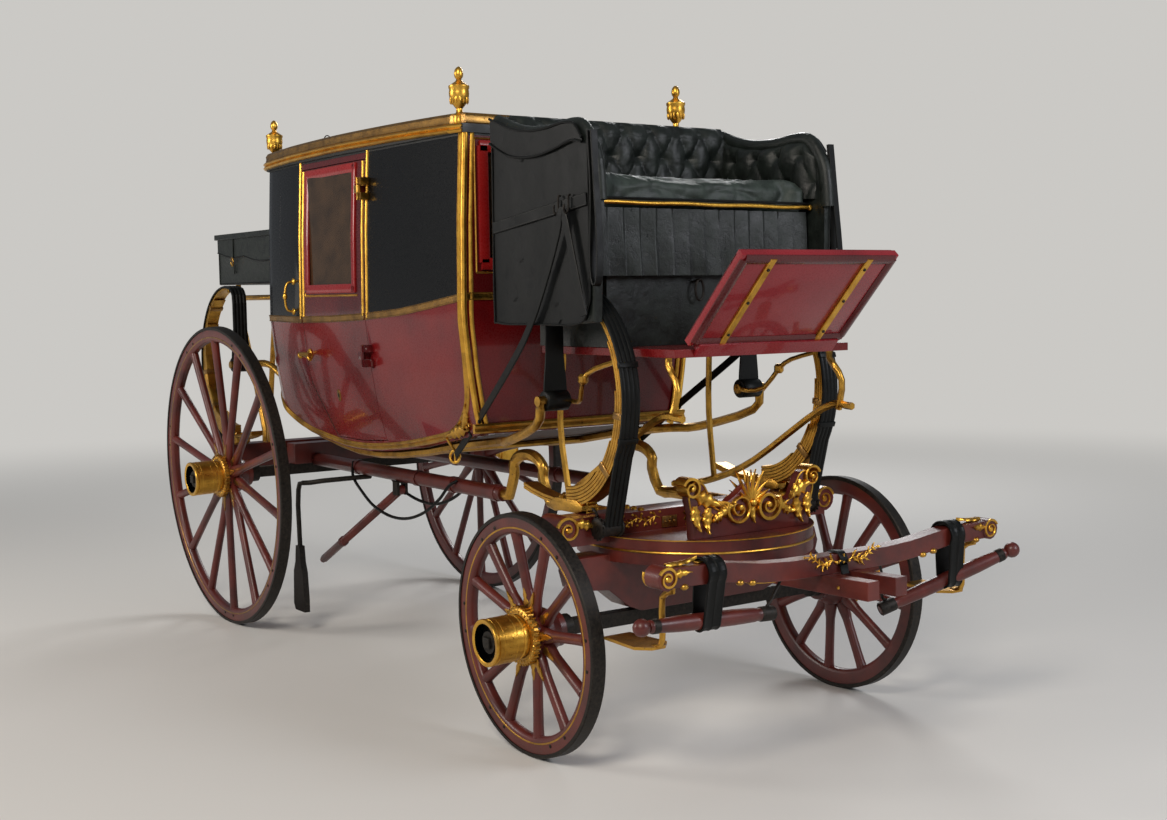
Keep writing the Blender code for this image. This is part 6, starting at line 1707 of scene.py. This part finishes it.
for end, x, y, z, ahead_sign, _ in SPRINGS:
    roller_z, drum_x, drum_z, meets = BRACES[end]
    for side, hand in SIDES:
        strap, fall = brace_of(x, hand * y, z, ahead_sign, roller_z, drum_x, drum_z, meets)
        eye = turned([(0.0215, -0.053), (0.036, -0.053), (0.040, -0.049), (0.040, 0.049), (0.036, 0.053),
                      (0.0215, 0.053)], facing(at(fall, hand * y, roller_z), ACROSS, UP), 32, ring=True)
        piece(f"{end}_brace_strap_{side}", joined(strap, eye), strap_leather,
              (f"{end}_brace_{side}",), smooth=radians(50))
        drum_place = at(drum_x, hand * y, drum_z)
        drum = turned([(0, -0.058), (0.012, -0.058), (0.012, -0.054), (0.034, -0.054), (0.040, -0.050), (0.040, -0.042),
                       (0.033, -0.040), (0.033, 0.040), (0.040, 0.042), (0.040, 0.050), (0.034, 0.054),
                       (0.012, 0.054), (0.012, 0.058), (0, 0.058)],
                      facing(drum_place, ACROSS, UP), 28)
        tooth = block((0.036, -0.005, 0.043), (0.0455, 0.004, 0.049), 0.001)
        ratchet = shifted(around(tooth, 14), facing(drum_place, ACROSS * hand, UP))
        pawl = strand([at(drum_x - ahead_sign * 0.03, hand * (y + 0.046), drum_z + 0.075),
                       at(drum_x, hand * (y + 0.046), drum_z + 0.047)], disc_section(0.006, 8), side=ACROSS)
        piece(f"{end}_brace_drum_{side}", joined(drum, ratchet, pawl), iron, (f"{end}_brace_{side}",))
        keepers = [round_spring(block((-0.0085, -0.043, -0.011), (0.0085, 0.043, 0.011), 0.003),
                                x, hand * y, z, ahead_sign, radians(degrees), -0.007) for degrees in (18, -20)]
        piece(f"{end}_brace_keepers_{side}", joined(*keepers), strap_leather)
print("braces laid over the springs")

# %% [markdown]
# ## Carving
#
# Carved ornament is built from three things laid over a sawn board: leaves, scrolls and sprays of small
# leaves along a stem. `laid` gives the frame in which such a thing lies on a face: its length runs one way
# and its back points out of the wood.

# %% Laying carved work on a face


def laid(place, along, out):
    """A frame whose x runs along and whose z points out of the face."""
    x = Vector(along).normalized()
    z = (Vector(out) - x * x.dot(Vector(out))).normalized()
    return Matrix.Translation(place) @ Matrix((x, z.cross(x), z)).transposed().to_4x4()


def leaf_at(place, along, out, length, width, curl=0.25, lobes=4):
    return shifted(acanthus(length, width, curl, lobes), laid(place, along, out))


def scroll_at(place, along, out, radius, thick, wide, turns=1.5):
    return volute(radius, thick, wide, turns, laid(place, along, out))


def spray(path, out, size):
    """Small leaves on both sides of a stem."""
    parts = [strand(path, disc_section(0.0022, 6), side=out)]
    for i in range(1, len(path) - 1):
        along = (path[i + 1] - path[i - 1]).normalized()
        across = along.cross(out).normalized()
        for turn in (1, -1):
            shrink = 1.0 - 0.45 * i / len(path)
            lean = along * 0.8 + across * turn
            parts.append(leaf_at(path[i] + Vector(out) * 0.001, lean, out, size * shrink, size * 0.42 * shrink, 0.2, 2))
    return parts + [leaf_at(path[-1], path[-1] - path[-2], out, size * 0.7, size * 0.35, 0.2, 2)]


BEHIND = -AHEAD
print("carving helpers ready")

# %% [markdown]
# ## The carved bracket of the front bed
#
# The ornament over the turning plate is a red board with gilt carving: a palmette between two great scrolls,
# leaves running out to a smaller scroll at each end, and a hanging leaf below. Both faces are carved.

# %% Carved bracket
BOARD_X, BOARD_LOW, BOARD_TALL, BOARD_HALF = 3.235, 0.7933, 0.2267, 0.297
BOARD_SHARES = ((0.98, 0.0), (1.0, 0.40), (1.05, 0.62), (1.06, 0.84), (0.97, 0.97), (0.84, 0.93), (0.76, 0.78),
                (0.68, 0.55), (0.50, 0.42), (0.42, 0.56), (0.28, 0.66), (0.13, 0.80), (0.0, 0.84))
outline = [(-BOARD_HALF * u, BOARD_LOW + BOARD_TALL * v) for u, v in BOARD_SHARES]
outline += [(BOARD_HALF * u, BOARD_LOW + BOARD_TALL * v) for u, v in reversed(BOARD_SHARES[:-1])]
face_ahead = Matrix(((0, 0, 1), (1, 0, 0), (0, 1, 0))).to_4x4()
board = plank(outline, Matrix.Translation(at(BOARD_X - 0.018, 0, 0)) @ face_ahead, 0.036, 0.004)
piece("bracket_board", board, brick_red, ("carved_bracket",))
CARVED_OUT = 0.019
carving = []
for hand in (RIGHT, LEFT):
    outer = at(BOARD_X, hand * BOARD_HALF * 1.02, BOARD_LOW + BOARD_TALL * 0.84)
    inner = at(BOARD_X, hand * BOARD_HALF * 0.24, BOARD_LOW + BOARD_TALL * 0.44)
    carving.append(scroll_at(outer, (0, hand, 0.4), AHEAD * hand, 0.042, 0.011, 0.066, 1.6))
    carving.append(scroll_at(inner, (0, hand, 0.5), AHEAD * -hand, 0.062, 0.013, 0.070, 1.8))
    for out in (AHEAD, BEHIND):
        front = BOARD_X + CARVED_OUT * out.x
        swag = [(0.95, 0.74, -0.85, -0.38, 0.135, 0.070), (0.56, 0.34, -0.75, 0.50, 0.085, 0.056),
                (0.74, 0.50, 0.15, -0.98, 0.100, 0.062), (0.96, 0.56, -0.12, -1.0, 0.100, 0.056),
                (0.50, 0.36, 0.90, -0.30, 0.070, 0.046)]
        for u, v, y, z, length, width in swag:
            carving.append(leaf_at(at(front, hand * BOARD_HALF * u, BOARD_LOW + BOARD_TALL * v), (0, hand * y, z), out,
                                   length, width, 0.16, 4))
    edge = [at(BOARD_X + CARVED_OUT, hand * BOARD_HALF * u * 0.985, BOARD_LOW + BOARD_TALL * (v - 0.03))
            for u, v in BOARD_SHARES[1:9]]
    carving.append(strand(flowing(edge, 3), disc_section(0.0035, 6), side=AHEAD))
for out in (AHEAD, BEHIND):
    front = BOARD_X + 0.017 * out.x
    root = at(front, 0, BOARD_LOW + BOARD_TALL * 0.50)
    for i in range(-4, 5):
        turn = radians(19 * i)
        long = 0.135 * (1 - 0.035 * i * i)
        carving.append(leaf_at(root, (0, sin(turn), cos(turn)), out, long, 0.026, 0.14, 1))
    carving.append(ball(root + out * 0.008, 0.016, (0.6, 1, 1), 12))
    carving.append(leaf_at(root - UP * 0.004, (0, 0, -1), out, 0.075, 0.046, 0.12, 3))
piece("bracket_carving", joined(*carving), bright_gold, ("carved_bracket",))
print("bracket carved")

# %% Front bed: gilding of plate and bed
FRONT_AXLE_AT, BED_FACE = 2.905, 0.066
plate_low = turned([(0.4695, 0.742), (0.4735, 0.7435), (0.4750, 0.7465), (0.4735, 0.7495), (0.4695, 0.751)],
                   Matrix.Translation(at(FRONT_AXLE_AT, 0, 0)), 96, ring=True)
plate_top = turned([(0.4685, 0.7895), (0.4720, 0.7905), (0.4720, 0.7935), (0.4685, 0.7945)],
                   Matrix.Translation(at(FRONT_AXLE_AT, 0, 0)), 96, ring=True)
piece("turning_plate_lines", joined(plate_low, plate_top), bright_gold)
bed_work, plates = [], []
for hand in (RIGHT, LEFT):
    for out in (AHEAD, BEHIND):
        face_x = FRONT_AXLE_AT + BED_FACE * out.x
        bed_work.append(scroll_at(at(face_x, hand * 0.655, 0.833), (0, hand, 0.3), out * hand,
                                  0.050, 0.010, 0.012, 1.6))
        bed_work.append(leaf_at(at(face_x, hand * 0.620, 0.858), (0, -hand, -0.25), out, 0.105, 0.045, 0.10, 4))
        stem = [at(face_x, hand * (0.225 + 0.022 * i), 0.840 + 0.009 * sin(i * 1.6)) for i in range(10)]
        bed_work += spray(stem, out, 0.030)
        bed_work += [ball(at(face_x, hand * (0.225 + 0.022 * i), 0.862 - 0.043 * (i % 2)), 0.0055, facets=8)
                     for i in range(10)]
    for x in (-0.045, 0.0, 0.045):
        bed_work.append(shifted(turned([(0, 0), (0.012, 0), (0.012, 0.008), (0.007, 0.012), (0, 0.012)], facets=12),
                                Matrix.Translation(at(FRONT_AXLE_AT + x, hand * 0.300, 0.8725))))
    buckle = plank(oblong(0.036, 0.022), laid(at(2.970, hand * 0.180, 0.822), ACROSS, AHEAD), 0.006, 0.003)
    studs = [ball(at(2.977, hand * 0.180 + u, 0.822), 0.005, facets=8) for u in (-0.022, 0.0, 0.022)]
    plates += [buckle, *studs]
piece("front_bed_gilding", joined(*bed_work), bright_gold)
piece("front_bed_plates", joined(*plates), brown_gold)
print("front bed carved")

# %% [markdown]
# ## The splinter bar and its swingletrees
#
# The horses pull on two swingletrees. Each is a turned bar with a ball at the outer end and black ferrules,
# and it hangs from the splinter bar in a broad leather loop, so that it can swing. The loop is one strap
# carried round both bars and joined to itself. The bar keeps its packed form; its ends and middle are gilded.

# %% Swingletrees in their loops
SPLINTER_X, SPLINTER_Z, SWING_Y, DROP = 3.690, 0.7404, 0.590, 0.165
# How far the loop's leather lies from the middle of the splinter bar, and from the middle of the swingletree.
ROUND_BAR, ROUND_TREE = 0.0492, 0.0285
RISES = ((0.0, 0.0), (0.2268, 0.0), (0.3645, 0.008), (0.567, 0.034), (0.810, 0.040))


def bar_height(y):
    return SPLINTER_Z + between(RISES, abs(y))


FORE = body_of_node("splinter_bar")
for side, hand, forward, aim in (("right", RIGHT, -0.06, (0.0, -1.0, 0.05)), ("left", LEFT, 0.06, (0.375, 0.86, 0.35))):
    node = f"swingletree_{side}"
    low_x, high_z = SPLINTER_X + DROP * forward, bar_height(SWING_Y)
    low_z = high_z - DROP
    direction = Vector(aim).normalized()
    start = at(low_x, hand * SWING_Y, low_z) - direction * 0.300
    profile = [(0.0, 0.002), (0.014, 0.0), (0.023, 0.008), (0.0235, 0.064), (0.021, 0.070), (0.0245, 0.090),
               (0.0275, 0.180), (0.0285, 0.300), (0.0275, 0.420), (0.0235, 0.500), (0.0205, 0.528), (0.0225, 0.532),
               (0.0225, 0.538), (0.018, 0.544)]
    profile += [(0.030 * sin(pi * (0.14 + 0.86 * i / 8)), 0.5725 - 0.030 * cos(pi * (0.14 + 0.86 * i / 8)))
                for i in range(9)]
    on_tree = facing(start, direction, UP)
    bar = turned(profile, on_tree, 28)
    piece(f"{node}_bar", bar, brick_red, (node,), body=FORE)
    ferrules = [turned(section, on_tree, 24, ring=True) for section in (
        [(0.0215, 0.505), (0.0250, 0.507), (0.0250, 0.530), (0.0215, 0.534)],
        [(0.0215, 0.0), (0.0262, 0.004), (0.0262, 0.060), (0.0225, 0.066)])]
    piece(f"{node}_ferrules", joined(*ferrules), iron, body=FORE)
    lean = atan2(low_x - SPLINTER_X, DROP)
    # The loop runs round the splinter bar, then round the swingletree, in steps of 15 degrees.
    path, sides = [], []
    for x, z, radius, turns in ((SPLINTER_X, high_z, ROUND_BAR, range(-2, 17)),
                            (low_x, low_z, ROUND_TREE, range(14, 23))):
        for i in turns:
            sides.append(in_side_view(lean + radians(15 * i)))
            path.append(at(x, hand * SWING_Y, z) + sides[-1] * radius)
    strap = [(0.0, -0.038), (0.0058, -0.038), (0.0075, -0.0345), (0.0050, -0.030), (0.0050, -0.0015), (0.0068, 0.0),
             (0.0050, 0.0015), (0.0050, 0.030), (0.0075, 0.0345), (0.0058, 0.038), (0.0, 0.038)]
    loop = strand(path, strap, side=sides, loop=True)
    piece(f"{node}_loop", loop, strap_leather, (node,), body=FORE, smooth=radians(50))
    inner_end = start + direction * 0.030
    up_to = at(SPLINTER_X - 0.02, hand * 0.245, bar_height(0.245) - 0.034)
    tie = strand(flowing([inner_end + UP * 0.024, inner_end + UP * 0.045 - direction * 0.02,
                          (inner_end + up_to) / 2 + UP * 0.006, up_to - UP * 0.004, up_to + UP * 0.008], 5),
                 disc_section(0.0055, 8))
    piece(f"{node}_tie", tie, iron, body=FORE)

print("swingletrees hung", DROP, "m below the bar")

# %% Gilding of the splinter bar
SPLINTER_FACE = 0.040
gilt, nails = [], []
for hand in (RIGHT, LEFT):
    end = at(SPLINTER_X, hand * 0.790, SPLINTER_Z + 0.040)
    for out in (AHEAD, BEHIND):
        face_x = SPLINTER_X + SPLINTER_FACE * out.x
        gilt.append(scroll_at(at(face_x, hand * 0.790, SPLINTER_Z + 0.040), (0, hand, 0.5), out * hand, 0.038, 0.009,
                              0.010, 1.7))
        gilt.append(leaf_at(at(face_x - 0.006 * out.x, hand * 0.760, SPLINTER_Z + 0.050), (0, -hand, 0.06), out,
                            0.070, 0.034, 0.08, 3))
    gilt.append(leaf_at(at(SPLINTER_X, hand * 0.770, bar_height(0.77) + 0.037), (0, -hand, 0.02), UP,
                        0.135, 0.040, 0.06, 4))
    gilt.append(strand([at(SPLINTER_X, hand * (0.640 - 0.002 * i), bar_height(0.64) + 0.036) for i in range(0, 12, 2)],
                       band_section(0.004, 0.024, 0.001), side=UP))
    for y in (0.715, 0.475, 0.420):
        nails.append(ball(at(SPLINTER_X + 0.030, hand * y, bar_height(y) - 0.033), 0.014, (1, 1.1, 0.8), 12))
    stem = [at(SPLINTER_X + 0.034, hand * (0.030 + 0.020 * i),
               SPLINTER_Z + 0.006 + 0.010 * sin(i * 1.3) + 0.0006 * i * i) for i in range(8)]
    gilt += spray(stem, AHEAD, 0.034)
    gilt += [ball(point + AHEAD * 0.003, 0.007, facets=8) for point in stem[::3]]
    rail_path = [at(SPLINTER_X, hand * (0.30 + 0.02 * i), bar_height(0.30 + 0.02 * i) - 0.035) for i in range(7)]
    gilt.append(strand(rail_path, band_section(0.004, 0.030, 0.001), side=-UP))
    nails.append(ball(at(3.9365, hand * 0.068, 0.683), 0.006, (0.5, 1, 1), 8))
    nails.append(ball(at(3.800, hand * 0.0965, 0.676), 0.007, (1, 0.5, 1), 8))
gilt.append(leaf_at(at(SPLINTER_X + 0.034, 0, SPLINTER_Z - 0.012), (0, 0, 1), AHEAD, 0.048, 0.040, 0.1, 3))
piece("splinter_gilding", joined(*gilt), bright_gold, body=FORE)
piece("splinter_nails", joined(*nails), old_gold, body=FORE)
over_bar = ((-0.020, 0.036), (0.022, 0.038), (0.041, 0.020), (0.043, -0.012), (0.050, -0.036))
tab = strand(flowing([at(SPLINTER_X + u, -0.002, SPLINTER_Z + v) for u, v in over_bar], 4),
             band_section(0.005, 0.036, 0.0015), side=UP)
piece("splinter_tab", tab, strap_leather, body=FORE)
print("splinter bar gilded")

# %% [markdown]
# ## Straps, rings and hanging loops
#
# Leather keeps a sprung body from swinging too far: a check strap runs from a ring under the body up to the
# driver's seat. Two spare straps hang in loops under the cabin. A strap that hangs is a cord with a real
# length, so its line comes first and its length is measured on it.

# %% Check straps with their ring buckles
CHECK_WAY = ((1.902, 0.500, 1.018), (2.150, 0.530, 1.190), (2.524, 0.592, 1.448), (2.690, 0.618, 1.590),
             (2.800, 0.622, 1.755), (2.892, 0.624, 1.930), (2.912, 0.626, 1.998), (2.936, 0.624, 1.990),
             (2.985, 0.622, 1.830), (3.045, 0.618, 1.625))
for side, hand in SIDES:
    ring_place = at(1.891, hand * 0.500, 1.010)
    ring = turned([(0.026 + u, v) for u, v in oval(0.006, 0.006, 8)],
                  facing(ring_place, (0.35, hand * 0.90, 0.1), UP), 32, ring=True)
    bar = strand([ring_place - UP * 0.026, ring_place + UP * 0.026], disc_section(0.0045, 8))
    hanger = strand(flowing([ring_place + UP * 0.026, ring_place + Vector((0.004, hand * 0.02, 0.050)),
                             ring_place + Vector((0.02, hand * 0.05, 0.085))], 5), disc_section(0.006, 8))
    piece(f"check_ring_{side}", joined(ring, bar, hanger), bright_gold)
    strap = strand(flowing(places(CHECK_WAY, hand), 8), band_section(0.006, 0.034, 0.002), side=(0, hand, 0))
    half = Vector((0.004, 0, 0.003))
    keepers = [strand([place - half, place + half], band_section(0.011, 0.040, 0.002), side=(0, hand, 0))
               for place in places(((2.062, 0.5185, 1.128), (2.150, 0.530, 1.190)), hand)]
    piece(f"check_strap_{side}", joined(strap, *keepers), strap_leather)
print("check straps buckled")

# %% Loops that hang under the cabin
SIDE_OF_PERCH, INNER_OF_PERCH = -0.345, -0.232
LOOPS = (
    ("outer", SIDE_OF_PERCH, ((0.532, 0.860), (0.590, 0.790), (0.700, 0.715), (0.819, 0.662), (0.990, 0.632),
                              (1.162, 0.641), (1.330, 0.690), (1.470, 0.765), (1.560, 0.835), (1.590, 0.862))),
    ("inner", INNER_OF_PERCH, ((0.700, 0.850), (0.760, 0.805), (0.890, 0.748), (1.050, 0.712), (1.200, 0.705),
                               (1.330, 0.728), (1.450, 0.775), (1.530, 0.830), (1.545, 0.850))),
)
for name, y, points in LOOPS:
    middle_y = y + (0.030 if y < -0.29 else -0.030)
    route = [at(points[0][0], middle_y, points[0][1])]
    route += [at(x, y, z) for x, z in points[1:-1]]
    route += [at(points[-1][0], middle_y, points[-1][1])]
    route = flowing(route, 6)
    made = piece(f"hanging_loop_{name}", strand(route, disc_section(0.0075, 12)), strap_leather)
    long = sum((b - a).length for a, b in zip(route, route[1:]))
    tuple(route[0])
    [list(point) for point in route]
    print("hanging loop", name, "is", round(long, 3), "m long")

# %% [markdown]
# ## Leaves at the corners of the body, buckles and small iron
#
# The last small things: a leaf where the lower moulding turns up, buckles on the braces, a wire ring on the
# roof, and the rumble seat's leather skirt with its piping and buckled strap.

# %% Corner leaves, buckles and roof ring
for side, hand in SIDES:
    out = Vector((0.15, hand, -0.1))
    corner = [leaf_at(at(2.058, hand * (half_width(2.058, 1.144) + 0.012), 1.146), (-1, 0, -0.28), out,
                      0.170, 0.062, 0.06, 5),
              leaf_at(at(2.050, hand * (half_width(2.05, 1.15) + 0.016), 1.150), (0.35, 0, 1), out,
                      0.110, 0.046, 0.06, 4),
              scroll_at(at(2.060, hand * (half_width(2.06, 1.144) + 0.010), 1.150), (1, 0, 0.2), ACROSS * hand,
                        0.026, 0.007, 0.012, 1.4)]
    piece(f"corner_leaves_{side}", joined(*corner), old_gold)
    buckle_place = at(2.990, hand * 0.560, 0.912)
    frame_of_buckle = strand([buckle_place + Vector((0, y, z)) for y, z in oblong(0.022, 0.018)],
                             disc_section(0.0035, 8), loop=True)
    tongue = strand([buckle_place + Vector((0, -0.022, 0)), buckle_place + Vector((0.003, 0.020, 0))],
                    disc_section(0.0022, 6))
    piece(f"brace_buckle_{side}", joined(frame_of_buckle, tongue), bright_gold)
hoop = [at(0.320, -0.300, 2.500) + Vector((0.050 * cos(turn), -0.010 * sin(turn), 0.046 * sin(turn)))
        for turn in [radians(-50 + 10 * i) for i in range(26)]]
piece("roof_ring", strand(hoop, disc_section(0.0028, 8)), iron)
print("corners, buckles and ring made")

# %% Rumble seat: skirt, piping and strap
skirts, pipes = [], []
box_low, box_high, LID_LOW = at(-0.880, -0.440, 1.790), at(-0.120, 0.440, 2.065), 2.050
long, STRAP_SHARE = box_high.x - box_low.x, 0.30


def skirt_drop(share):
    """Shallow scallops, deeper toward the body."""
    return 0.075 + 0.055 * share + 0.016 * abs(sin(share * pi * 2))


for side, hand in SIDES:
    face_y = (box_low.y if hand < 0 else box_high.y) + hand * 0.001
    under = LID_LOW + 0.002
    edge = [(box_low.x + long * share, under - skirt_drop(share)) for share in span(0, 1, 28)]
    outline = [(box_low.x, under), *edge, (box_high.x, under)]
    inner_y = face_y - (0.007 if hand == RIGHT else 0.0)
    skirts.append(plank(outline, upended((0, inner_y, 0), LEFT), 0.007, 0.002))
    pipes.append(strand([(x, face_y + hand * 0.006, z) for x, z in edge], disc_section(0.0045, 8)))
    foot_z = box_low.z + 0.006
    pipes.append(strand([(box_low.x + 0.004, face_y, foot_z), (box_high.x - 0.004, face_y, foot_z)],
                        disc_section(0.0045, 8)))
    for x in (box_low.x + 0.003, box_high.x - 0.003):
        pipes.append(strand([(x, face_y, box_low.z + 0.004), (x, face_y, under)], disc_section(0.004, 8)))
    strap_x = box_low.x + long * STRAP_SHARE
    skirts.append(strand([(strap_x, face_y + hand * 0.008, under), (strap_x, face_y + hand * 0.010, under - 0.100),
                          (strap_x + 0.004, face_y + hand * 0.006, under - 0.200)],
                         band_section(0.005, 0.026, 0.0015), side=(0, hand, 0)))
piece("rumble_skirt", joined(*skirts), seat_leather)
piece("rumble_piping", joined(*pipes), strap_leather)
hoop = [(box_low.x + long * STRAP_SHARE + u, box_low.y - 0.014, LID_LOW - 0.130 + v) for u, v in oval(0.016, 0.024, 18)]
piece("rumble_buckle", strand(hoop, disc_section(0.0035, 8), loop=True), old_gold)
print("rumble seat skirted")
